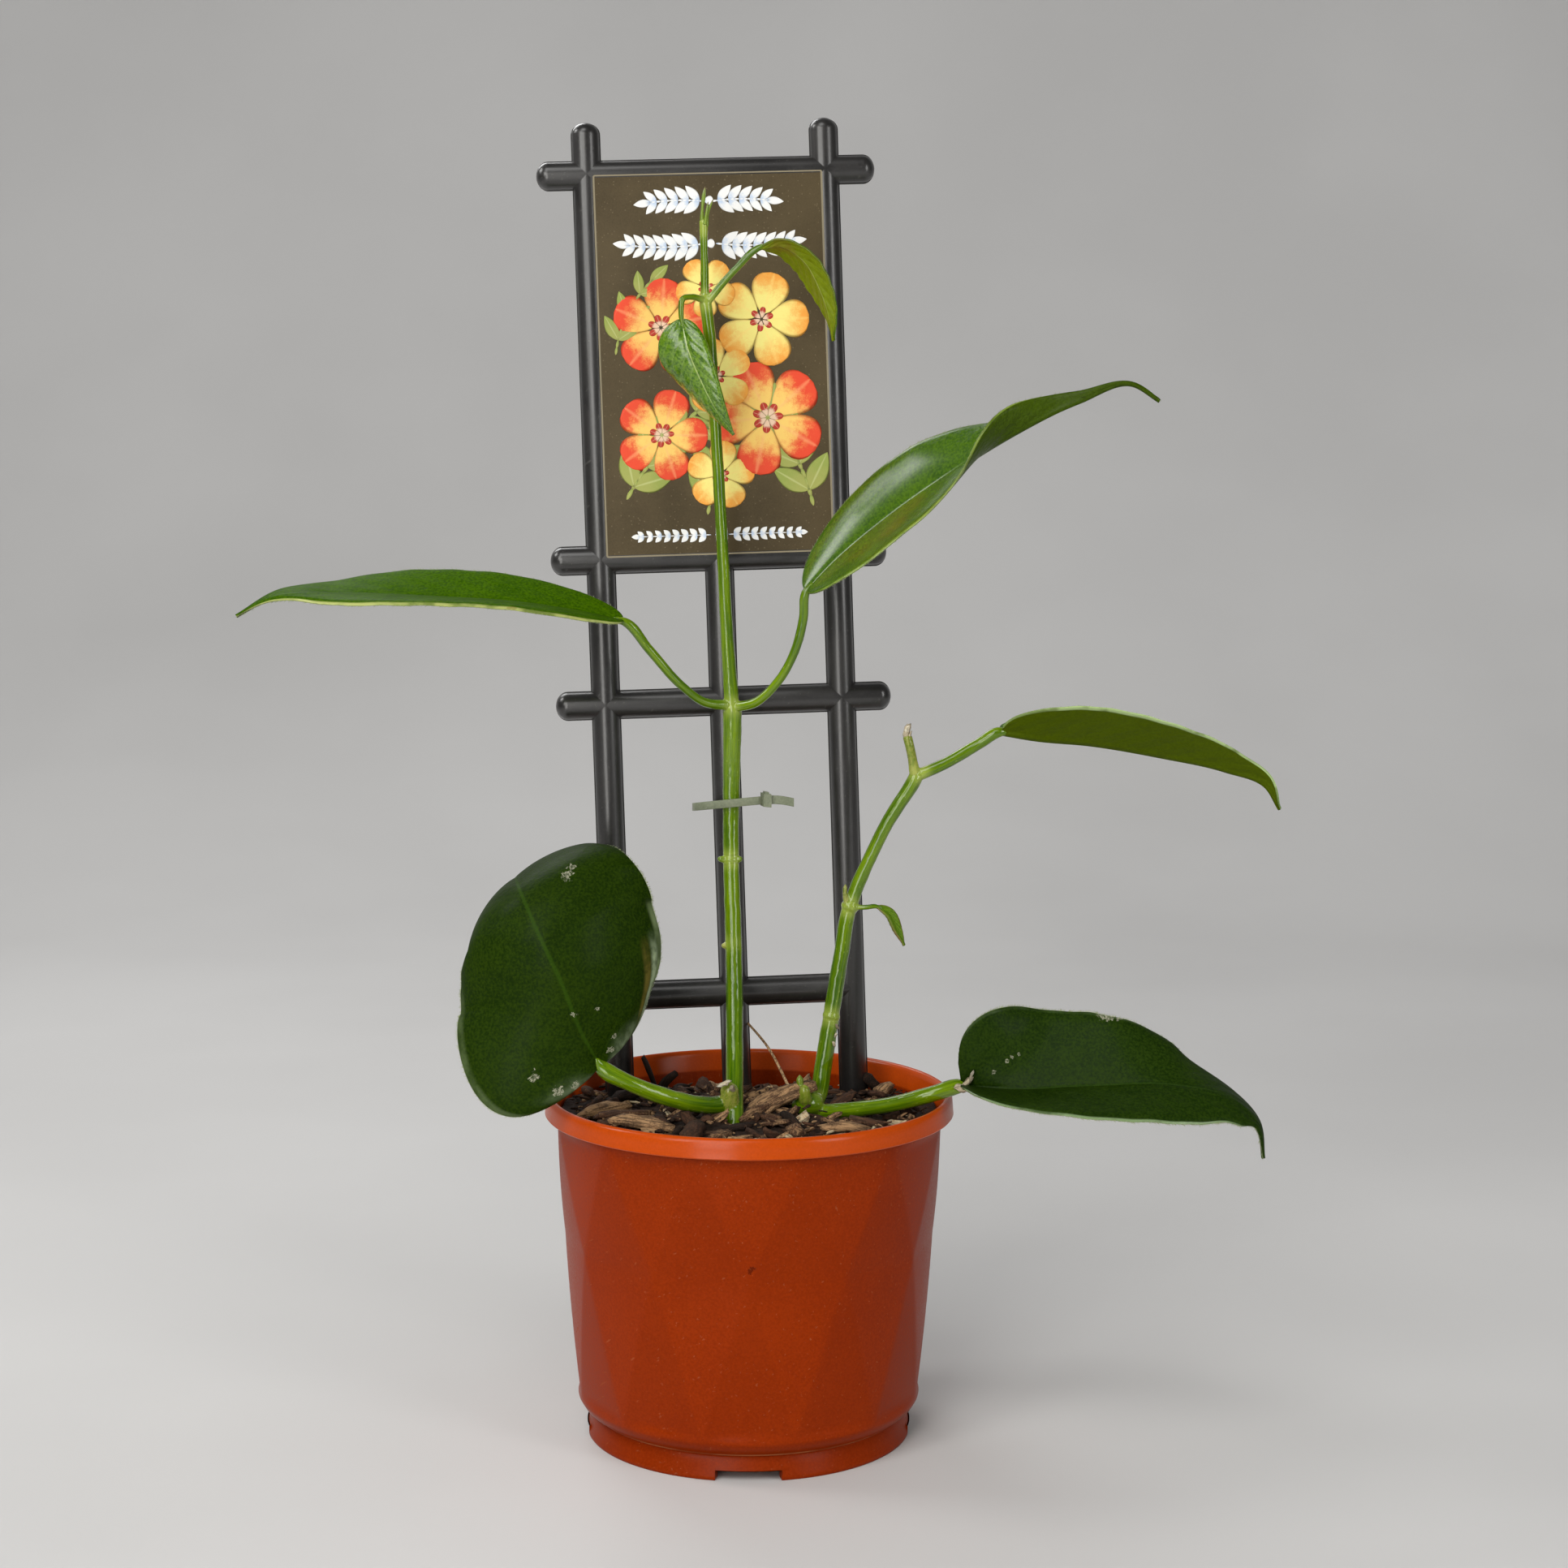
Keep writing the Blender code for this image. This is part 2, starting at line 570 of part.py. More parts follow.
def build_pot():
    """The nursery pot: a tapered wall with its rim turned down into a skirt, on a notched foot.

    The floor's middle is level with the foot, and its drain holes are in the raised channel between them.
    """
    skirt = RIM_RADIUS - RIM_THICKNESS
    floor_top = CHANNEL_HEIGHT + FLOOR_THICKNESS
    profile = [
        (0.0, FLOOR_THICKNESS),
        (MIDDLE_RADIUS - WALL, FLOOR_THICKNESS),
        (MIDDLE_RADIUS + MIDDLE_SLOPE - WALL, floor_top),
        (CREASE_RADIUS - WALL, floor_top),
        (CREASE_RADIUS - WALL, CREASE_HEIGHT + 0.0010),
        (inner_radius(BODY_BOTTOM), BODY_BOTTOM + 0.0007),
        (inner_radius(BODY_TOP), BODY_TOP),
        (0.0664, 0.1165),
        (0.0672, 0.1182),
        (0.0683, RIM_TOP),
        (0.0692, 0.1180),
        (0.0696, 0.1168),
        (RIM_RADIUS, RIM_BOTTOM),
        (skirt, RIM_BOTTOM),
        (skirt - 0.0003, 0.1155),
        (BODY_TOP_RADIUS + 0.0006, 0.1160),
        (BODY_TOP_RADIUS, BODY_TOP),
        (BODY_BOTTOM_RADIUS, BODY_BOTTOM),
        (0.0572, 0.0104),
        (0.0542, 0.0082),
        (CREASE_RADIUS, CREASE_HEIGHT),
        (0.0540, 0.0070),
        (0.0554, 0.0025),
        (0.0559, 0.0010),
        (FOOT_RADIUS, 0.0),
        (0.0518, 0.0),
        (0.0515, CHANNEL_HEIGHT),
        (MIDDLE_RADIUS + MIDDLE_SLOPE, CHANNEL_HEIGHT),
        (MIDDLE_RADIUS, 0.0),
        (0.0, 0.0),
    ]
    pot = turned("pot", profile, POT_SEGMENTS)
    cutters = []
    for k in range(NOTCH_COUNT):
        notch = box("notch", (-NOTCH_WIDTH / 2, -FOOT_RADIUS - 0.005, -0.001),
                    (NOTCH_WIDTH / 2, -FOOT_RADIUS + 0.015, NOTCH_HEIGHT))
        notch.data.transform(Matrix.Rotation(2 * math.pi * k / NOTCH_COUNT, 4, "Z"))
        cutters.append(notch)
    for k in range(DRAIN_COUNT):
        turn = 2 * math.pi * (k + 0.5) / DRAIN_COUNT
        centre = (DRAIN_RING * math.cos(turn), DRAIN_RING * math.sin(turn))
        cutters.append(cylinder("drain", DRAIN_RADIUS, 0.001, 0.008, centre, 12))
    combine(pot, cutters, "DIFFERENCE")
    return finish(pot, "pot", material("orange_brown_plastic", (0.30, 0.045, 0.010), 0.42))


def trellis_matrix():
    """The trellis's own frame in the world."""
    yaw, lean, roll = (math.radians(angle) for angle in (TRELLIS_YAW, TRELLIS_LEAN, TRELLIS_ROLL))
    along = Vector((math.cos(yaw), math.sin(yaw), 0))
    front = Vector((math.sin(yaw), -math.cos(yaw), 0))
    up = math.cos(lean) * Vector((0, 0, 1)) - math.sin(lean) * front
    out = math.cos(lean) * front + math.sin(lean) * Vector((0, 0, 1))
    x_axis = math.cos(roll) * along + math.sin(roll) * up
    y_axis = math.cos(roll) * up - math.sin(roll) * along
    frame = Matrix((x_axis, y_axis, out)).transposed().to_4x4()
    return Matrix.Translation(TRELLIS_ORIGIN) @ frame


def rail_section():
    """A rail's section: a flat back with a thin flange, and a half-round front, as (across, out)."""
    back = -RAIL_DEPTH / 2
    flange = back + FLANGE_DEPTH
    points = [(FLANGE_WIDTH / 2, back), (FLANGE_WIDTH / 2, flange)]
    for k in range(8):
        turn = math.pi * k / 7
        height = (RAIL_DEPTH - FLANGE_DEPTH) * math.sin(turn)
        points.append((RAIL_WIDTH / 2 * math.cos(turn), flange + height))
    points += [(-FLANGE_WIDTH / 2, flange), (-FLANGE_WIDTH / 2, back)]
    return points


def rail(start, end, place, upright, low_end="dome", high_end="dome"):
    """One post or bar of the trellis, from start to end along its length, with a dome, point or plain end."""
    section = rail_section()
    ends = {"dome": ((0.0, 0.25), (0.0006, 0.55), (0.0018, 0.84), (0.0040, 1.0)),
            "point": ((0.0, 0.30), (0.015, 1.0)),
            "plain": ((0.0, 1.0),)}
    rings = [(start + step, scale) for step, scale in ends[low_end]]
    rings += [(end - step, scale) for step, scale in reversed(ends[high_end])]
    back = -RAIL_DEPTH / 2
    points = []
    for along, scale in rings:
        for across, out in section:
            place_across = place + across * scale
            height = back + (out - back) * scale
            points.append((place_across, along, height) if upright else (along, place_across, height))
    size = len(section)
    last = (len(rings) - 1) * size
    faces = [tuple(range(size)), tuple(last + k for k in range(size))]
    for ring in range(len(rings) - 1):
        for k in range(size):
            low, after = ring * size, (k + 1) % size
            faces.append((low + k, low + after, low + size + after, low + size + k))
    return new_object("rail", points, faces)


def build_trellis():
    """The trellis: two full posts, a short middle post, four bars and the panel that the card sits on."""
    base = rail(POST_BOTTOM, POST_TOP, -POST_SPACING, True, low_end="point")
    others = [
        rail(POST_BOTTOM, POST_TOP, POST_SPACING, True, low_end="point"),
        rail(POST_BOTTOM, CARD_BAR, 0.0, True, low_end="point", high_end="plain"),
        rail(-BAR_REACH, BAR_REACH, TOP_BAR, False),
        rail(-BAR_REACH, BAR_REACH, CARD_BAR, False),
        rail(-BAR_REACH, BAR_REACH, MIDDLE_BAR, False),
        rail(-POST_SPACING, POST_SPACING, LOW_BAR, False, low_end="plain", high_end="plain"),
        box("panel", (-POST_SPACING, CARD_BAR, PANEL_BACK), (POST_SPACING, TOP_BAR, PANEL_FRONT + 0.0002)),
    ]
    combine(base, others, "UNION")
    half = (CARD_WIDTH / 2 + GAP, CARD_HEIGHT / 2 + GAP)
    pocket = box("pocket", (CARD_CENTRE[0] - half[0], CARD_CENTRE[1] - half[1], PANEL_FRONT),
                 (CARD_CENTRE[0] + half[0], CARD_CENTRE[1] + half[1], RAIL_DEPTH))
    combine(base, [pocket], "DIFFERENCE")
    base.data.transform(trellis_matrix())
    return finish(base, "trellis", material("black_plastic", (0.012, 0.012, 0.013), 0.38))


def build_card():
    """The picture card, a thin plate with slightly rounded corners just in front of the panel."""
    low = PANEL_FRONT + GAP
    outline_points = []
    for sign_x, sign_y, first in ((1, 1, 0), (-1, 1, 90), (-1, -1, 180), (1, -1, 270)):
        for k in range(3):
            turn = math.radians(first + 45 * k)
            x = CARD_CENTRE[0] + sign_x * (CARD_WIDTH / 2 - CARD_CORNER) + CARD_CORNER * math.cos(turn)
            y = CARD_CENTRE[1] + sign_y * (CARD_HEIGHT / 2 - CARD_CORNER) + CARD_CORNER * math.sin(turn)
            outline_points.append((x, y))
    count = len(outline_points)
    points = [(x, y, low) for x, y in outline_points] + [(x, y, low + CARD_THICKNESS) for x, y in outline_points]
    faces = [tuple(range(count)), tuple(range(count, 2 * count))]
    faces += [(k, (k + 1) % count, count + (k + 1) % count, count + k) for k in range(count)]
    card = new_object("card", points, faces)
    card.data.transform(trellis_matrix())
    return finish(card, "label_card", material("printed_card", (0.10, 0.085, 0.045), 0.45))


def tie_point(x, y):
    """A point on the tie's middle line, which slopes a little to the side and back."""
    middle = (TIE_LEFT + TIE_RIGHT) / 2
    height = TIE_CENTRE_HEIGHT + TIE_SIDE_SLOPE * (x - middle) + TIE_BACK_SLOPE * (y - TIE_FRONT)
    return Vector((x, y, height))


def build_tie():
    """The tie: a closed band round the stem and the middle post, with its head and tail at the right."""
    corners = []
    centre = ((TIE_LEFT + TIE_RIGHT) / 2, (TIE_FRONT + TIE_BACK) / 2)
    reach = ((TIE_RIGHT - TIE_LEFT) / 2 - TIE_CORNER, (TIE_BACK - TIE_FRONT) / 2 - TIE_CORNER)
    for sign_x, sign_y, first in ((1, 1, 0), (-1, 1, 90), (-1, -1, 180), (1, -1, 270)):
        for k in range(5):
            turn = math.radians(first + 22.5 * k)
            corners.append((sign_x * reach[0], sign_y * reach[1], math.cos(turn), math.sin(turn)))
    points = []
    for side in (TIE_THICKNESS / 2, -TIE_THICKNESS / 2):
        for level in (-TIE_HEIGHT / 2, TIE_HEIGHT / 2):
            for x, y, out_x, out_y in corners:
                radius = TIE_CORNER + side
                point = tie_point(centre[0] + x + out_x * radius, centre[1] + y + out_y * radius)
                points.append(point + Vector((0, 0, level)))
    count = len(corners)
    faces = []
    for k in range(count):
        after = (k + 1) % count
        outer_low, outer_high, inner_low, inner_high = (row * count for row in range(4))
        faces.append((outer_low + k, outer_low + after, outer_high + after, outer_high + k))
        faces.append((inner_high + k, inner_high + after, inner_low + after, inner_low + k))
        faces.append((outer_high + k, outer_high + after, inner_high + after, inner_high + k))
        faces.append((inner_low + k, inner_low + after, outer_low + after, outer_low + k))
    band = new_object("band", points, faces)
    head_place = tie_point(TIE_RIGHT - 0.0012, TIE_FRONT + 0.0012)
    size = Vector(TIE_HEAD) / 2
    head = box("head", head_place - size, head_place + size)
    start = tie_point(TIE_RIGHT - 0.0010, TIE_FRONT + 0.0006)
    stop = tie_point(*TIE_TAIL_END)
    stop.z = start.z - 0.0012
    run = stop - start
    side_step = Vector((run.y, -run.x, 0)).normalized() * TIE_THICKNESS / 2
    rise = Vector((0, 0, TIE_HEIGHT * 0.52))
    tail_points = [place + sign * side_step + level * rise
                   for place in (start, stop) for sign in (-1, 1) for level in (-1, 1)]
    tail = new_object("tail", tail_points, [(0, 1, 3, 2), (4, 6, 7, 5), (0, 4, 5, 1), (2, 3, 7, 6),
                                            (0, 2, 6, 4), (1, 5, 7, 3)])
    combine(band, [head, tail], "UNION")
    return finish(band, "plant_tie", material("clear_grey_plastic", (0.32, 0.36, 0.30), 0.35))


def mix_height(x, y):
    """The top of the potting mix: a low mound at the front that falls away to the back wall, with lumps."""
    back = min(max((y - 0.015) / 0.045, 0.0), 1.0)
    mound = MIX_MOUND * math.exp(-((x + 0.010) ** 2 + (y + 0.020) ** 2) / 0.030**2)
    lumps = noise.noise(Vector((x, y, 0.3)) * 95) + 0.5 * noise.noise(Vector((x, y, 0.9)) * 210)
    return MIX_HEIGHT - MIX_BACK_DROP * back**1.4 + mound + MIX_LUMPS * lumps


def mix_body():
    """The mix without its chips: a lumpy top over a body that fits the pot's inside."""
    edge = inner_radius(0.104) - GAP
    turns = [2 * math.pi * k / MIX_SEGMENTS for k in range(MIX_SEGMENTS)]
    points = [(0.0, 0.0, mix_height(0, 0))]
    for ring in range(1, MIX_RINGS + 1):
        radius = edge * ring / MIX_RINGS
        shift = 0.5 * (ring % 2) if ring < MIX_RINGS else 0.0
        for k in range(MIX_SEGMENTS):
            turn = turns[k] + shift * turns[1]
            x, y = radius * math.cos(turn), radius * math.sin(turn)
            points.append((x, y, mix_height(x, y)))
    foot = CREASE_RADIUS - WALL - GAP
    floor_top = CHANNEL_HEIGHT + FLOOR_THICKNESS + GAP
    middle = MIDDLE_RADIUS - WALL - 2 * GAP
    sides = ((inner_radius(0.0155) - GAP, 0.0155), (foot, 0.0092), (foot, floor_top),
             (middle + MIDDLE_SLOPE, floor_top), (middle, FLOOR_THICKNESS + GAP))
    for radius, height in sides:
        points += [(radius * math.cos(turn), radius * math.sin(turn), height) for turn in turns]
    count = MIX_SEGMENTS
    faces = [(0, 1 + k, 1 + (k + 1) % count) for k in range(count)]
    last_ring = MIX_RINGS + len(sides) - 1
    for ring in range(last_ring):
        for k in range(count):
            low, after = 1 + ring * count, (k + 1) % count
            faces.append((low + k, low + count + k, low + after))
            faces.append((low + after, low + count + k, low + count + after))
    last = 1 + last_ring * count
    faces.append(tuple(last + k for k in range(count)))
    return new_object("mix", points, faces)


def chip(draws, centre, size, turn, tilt):
    """A piece of bark: a box with its corners drawn in unevenly, turned and tilted."""
    made = box("chip", tuple(-side / 2 for side in size), tuple(side / 2 for side in size))
    for vert in made.data.vertices:
        for axis in range(3):
            vert.co[axis] *= draws.uniform(0.62, 1.0)
    place = Matrix.Translation(centre) @ Matrix.Rotation(turn, 4, "Z") @ Matrix.Rotation(tilt, 4, "Y")
    made.data.transform(place)
    return made


def mix_chips():
    """The bark: a few large pieces where they show, and small ones scattered by seeded draws."""
    draws = random.Random(CHIP_SEED)
    large = (
        ((0.0075, -0.0085, 0.1165), (0.030, 0.012, 0.007), 40, -20),
        ((-0.0500, -0.0130, 0.1145), (0.019, 0.008, 0.006), 20, -8),
        ((-0.0355, -0.0330, 0.1150), (0.020, 0.009, 0.006), -15, 6),
        ((0.0316, -0.0330, 0.1130), (0.016, 0.008, 0.005), 10, 5),
        ((0.0468, 0.0200, 0.1130), (0.012, 0.007, 0.006), 60, -15),
        ((0.0440, 0.0300, 0.1120), (0.010, 0.006, 0.012), 30, 50),
        ((-0.0340, 0.0400, 0.1120), (0.012, 0.006, 0.014), 70, 60),
        ((-0.0190, -0.0450, 0.1150), (0.015, 0.008, 0.006), 75, -10),
    )
    chips = [chip(draws, centre, size, math.radians(turn), math.radians(tilt))
             for centre, size, turn, tilt in large]
    for _ in range(CHIP_COUNT):
        size = (draws.uniform(0.006, 0.013), draws.uniform(0.004, 0.007), draws.uniform(0.004, 0.006))
        radius = (CHIP_REACH - size[0] / 2) * math.sqrt(draws.uniform(0.02, 1.0))
        turn = draws.uniform(0, 2 * math.pi)
        x, y = radius * math.cos(turn), radius * math.sin(turn)
        centre = (x, y, mix_height(x, y) + draws.uniform(-0.0006, 0.0010))
        chips.append(chip(draws, centre, size, draws.uniform(0, math.pi), math.radians(draws.uniform(-24, 24))))
    return chips


def build_mix():
    """The potting mix: its body, bark and straw in one, with plain holes for the stems and the trellis legs."""
    mix = mix_body()
    straw = Stalk(((-0.0020, 0.0330, 0.1370), (0.0070, 0.0130, 0.1300), (0.0150, -0.0060, 0.1180)),
                  (0.0007, 0.0008, 0.0009), sides=5, spacing=0.012)
    combine(mix, [*mix_chips(), stalk_object(straw)], "UNION")
    leg = (FLANGE_WIDTH / 2 + CLEARANCE, RAIL_DEPTH / 2 + CLEARANCE)
    holes = []
    for place in (-POST_SPACING, 0.0, POST_SPACING):
        hole = box("leg_hole", (place - leg[0], POST_BOTTOM - CLEARANCE, -leg[1]), (place + leg[0], 0.040, leg[1]))
        hole.data.transform(trellis_matrix())
        holes.append(hole)
    for stalk in (*MAIN_STEM, *SIDE_STEM):
        if stalk.in_mix:
            holes.append(stalk_object(stalk, grow=CLEARANCE))
    combine(mix, holes, "DIFFERENCE")
    drop_scraps(mix)
    return finish(mix, "potting_mix", material("bark_mix", (0.060, 0.034, 0.020), 0.9), sharp_angle=25)


def build_stem(name, stalks, colour):
    """A stem with all that grows from it, in one piece."""
    first, *others = [stalk_object(stalk) for stalk in stalks]
    combine(first, others, "UNION", solver="MANIFOLD")
    return finish(first, name, material(name + "_green", colour, 0.35), sharp_angle=60)


def build_leaves():
    """All leaves, each with a green of its own."""
    looks = {
        "leaf_lower_left": (BIG_LEFT, (0.014, 0.050, 0.008), 0.45),
        "leaf_lower_right": (BIG_RIGHT, (0.016, 0.052, 0.010), 0.45),
        "leaf_upper_left": (UPPER_LEFT, (0.060, 0.180, 0.008), 0.40),
        "leaf_upper_right": (UPPER_RIGHT, (0.050, 0.170, 0.010), 0.30),
        "leaf_side_top": (SIDE_TOP, (0.100, 0.150, 0.012), 0.40),
        "leaf_side_small": (SIDE_SMALL, (0.110, 0.170, 0.020), 0.40),
        "leaf_young_left": (YOUNG_LEFT, (0.030, 0.120, 0.015), 0.20),
        "leaf_young_right": (YOUNG_RIGHT, (0.140, 0.230, 0.015), 0.40),
    }
    for name, (leaf, colour, roughness) in looks.items():
        finish(leaf_object(leaf), name, material(name + "_green", colour, roughness), sharp_angle=60)


def main():
    clear_scene()
    build_pot()
    build_mix()
    build_trellis()
    build_card()
    build_tie()
    build_stem("stem_main", MAIN_STEM, (0.130, 0.230, 0.020))
    build_stem("stem_side", SIDE_STEM, (0.150, 0.240, 0.025))
    build_leaves()


main()
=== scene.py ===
"""The looks of a potted hoya tied to a ladder trellis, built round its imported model.

Sizes are in metres and angles in degrees, in the model's own frame: +Z is up, -Y is the front and the origin
is the middle of the pot's underside.
"""

import logging
import math
from dataclasses import dataclass, field
from enum import Enum
from itertools import accumulate

import bmesh
import bpy
import numpy as np
from mathutils import Matrix, Vector


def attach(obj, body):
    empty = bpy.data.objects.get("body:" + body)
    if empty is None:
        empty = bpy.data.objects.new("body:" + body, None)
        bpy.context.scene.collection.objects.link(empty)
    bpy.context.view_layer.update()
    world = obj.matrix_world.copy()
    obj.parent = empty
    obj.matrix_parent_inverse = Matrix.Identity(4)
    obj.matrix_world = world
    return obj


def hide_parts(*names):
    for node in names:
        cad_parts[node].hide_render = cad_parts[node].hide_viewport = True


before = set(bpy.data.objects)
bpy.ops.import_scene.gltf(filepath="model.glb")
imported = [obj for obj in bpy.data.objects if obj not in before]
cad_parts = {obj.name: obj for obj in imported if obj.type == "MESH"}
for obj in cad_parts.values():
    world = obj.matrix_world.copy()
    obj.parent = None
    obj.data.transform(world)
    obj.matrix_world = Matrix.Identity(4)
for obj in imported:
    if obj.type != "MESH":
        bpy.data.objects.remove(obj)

Array = np.ndarray
Colour = tuple[float, float, float]
Point = tuple[float, float, float]
Route = tuple[Point, ...]
Socket = bpy.types.NodeSocket
Value = object

LOG = logging.getLogger("hoya")
ROOT = "root"
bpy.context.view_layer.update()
VECTORS = {"skin"}  # the carried values that have three numbers


class Slot(Enum):
    """The record's material slots."""

    POT = "pot_plastic"
    MIX = "bark_mix"
    TRELLIS = "trellis_plastic"
    CARD = "card"
    TIE = "tie_plastic"
    STEM = "stem_green"
    DARK = "leaf_dark"
    BRIGHT = "leaf_bright"
    UNDERSIDE = "leaf_yellow_green"
    YOUNG = "leaf_young"


# ---- Numbers and curves


def mm(*numbers: float) -> Route:
    """A route's points, from their coordinates in millimetres, one point after another."""
    return tuple(tuple(part / 1000 for part in numbers[k:k + 3]) for k in range(0, len(numbers), 3))


def scaled(colour: Colour, share: float) -> Colour:
    """A colour, darker or lighter by a share."""
    return tuple(share * part for part in colour)


def unit(vectors: Array) -> Array:
    """Each vector divided by its length."""
    return vectors / np.maximum(np.linalg.norm(vectors, axis=-1, keepdims=True), 1e-12)


def fractions_along(points: Array) -> Array:
    """How far along its own length each point of a route lies, 0 to 1."""
    gaps = np.linalg.norm(np.diff(points, axis=0), axis=1)
    return np.concatenate([[0.0], np.cumsum(gaps)]) / gaps.sum()


def smooth(knots: Array, values: Array, at: Array) -> Array:
    """A smooth curve through values at knots, read elsewhere.

    Each stretch is a cubic Hermite: its ends have the given values, and slopes from their neighbours.

    Args:
        knots: increasing places of the values.
        values: one number or one row of numbers for each knot.
        at: the places to read.

    Returns:
        The curve's values, with the same shape for each place as for each knot.
    """
    values = np.asarray(values, float)
    flat = values.ndim == 1
    if flat:
        values = values[:, None]
    slopes = np.gradient(values, knots, axis=0)
    left = np.clip(np.searchsorted(knots, at, side="right") - 1, 0, len(knots) - 2)
    width = (knots[left + 1] - knots[left])[:, None]
    s = (at - knots[left])[:, None] / width
    result = ((2 * s**3 - 3 * s**2 + 1) * values[left]
              + (s**3 - 2 * s**2 + s) * width * slopes[left]
              + (3 * s**2 - 2 * s**3) * values[left + 1]
              + (s**3 - s**2) * width * slopes[left + 1])
    return result[:, 0] if flat else result


def carried_normals(tangents: Array, first: Point) -> Array:
    """Unit normals along a route: each is the one before, with its share along the new tangent taken away."""
    start = np.asarray(first, float)

    def turn(normal: Array, tangent: Array) -> Array:
        """The normal carried on to the next tangent."""
        return unit(normal - tangent * (normal @ tangent))

    return np.array(list(accumulate(tangents, turn, initial=start)))[1:]


def lumps(points: Array, scale: float, seed: int) -> Array:
    """Smooth noise from -1 to 1: random numbers on a lattice, blended with an eased step along each axis.

    Args:
        points: places, with three numbers in the last axis.
        scale: lattice cells for each metre.
        seed: the lattice's seed.

    Returns:
        One number for each place.
    """
    size = 24
    table = np.random.default_rng(seed).uniform(-1, 1, (size, size, size))
    at = points * scale
    cell = np.floor(at).astype(int)
    part = at - cell
    part = part * part * (3 - 2 * part)
    total = np.zeros(points.shape[:-1])
    for corner in np.ndindex(2, 2, 2):
        weight = np.prod(np.where(np.array(corner, bool), part, 1 - part), axis=-1)
        place = (cell + corner) % size
        total += weight * table[place[..., 0], place[..., 1], place[..., 2]]
    return total


def eased(values: Array, low: float, high: float) -> Array:
    """An eased step: 0 below low, 1 above high, and 3s^2 - 2s^3 between them."""
    s = np.clip((values - low) / (high - low), 0, 1)
    return s * s * (3 - 2 * s)


def rounded(half: Array, corner: float, count: int) -> tuple[Array, Array]:
    """A rectangle with round corners about the origin.

    Args:
        half: half its width and half its height, each without its corner.
        corner: the corners' radius.
        count: how many points each corner has.

    Returns:
        The points, and the direction out of the rectangle at each.
    """
    turn = np.radians(np.concatenate([first + np.linspace(0, 90, count) for first in (0, 90, 180, 270)]))
    sign = np.repeat(np.array([(1, 1), (-1, 1), (-1, -1), (1, -1)]), count, axis=0)
    out = np.stack([np.cos(turn), np.sin(turn)], -1)
    return sign * half + corner * out, out


# ---- Meshes


def write_values(mesh: bpy.types.Mesh, name: str, values: Array) -> None:
    """Carry a number, or a row of three, on each point of a mesh."""
    wide = name in VECTORS
    layer = mesh.attributes.new(name, "FLOAT_VECTOR" if wide else "FLOAT", "POINT")
    layer.data.foreach_set("vector" if wide else "value", values.astype(np.float32).ravel())


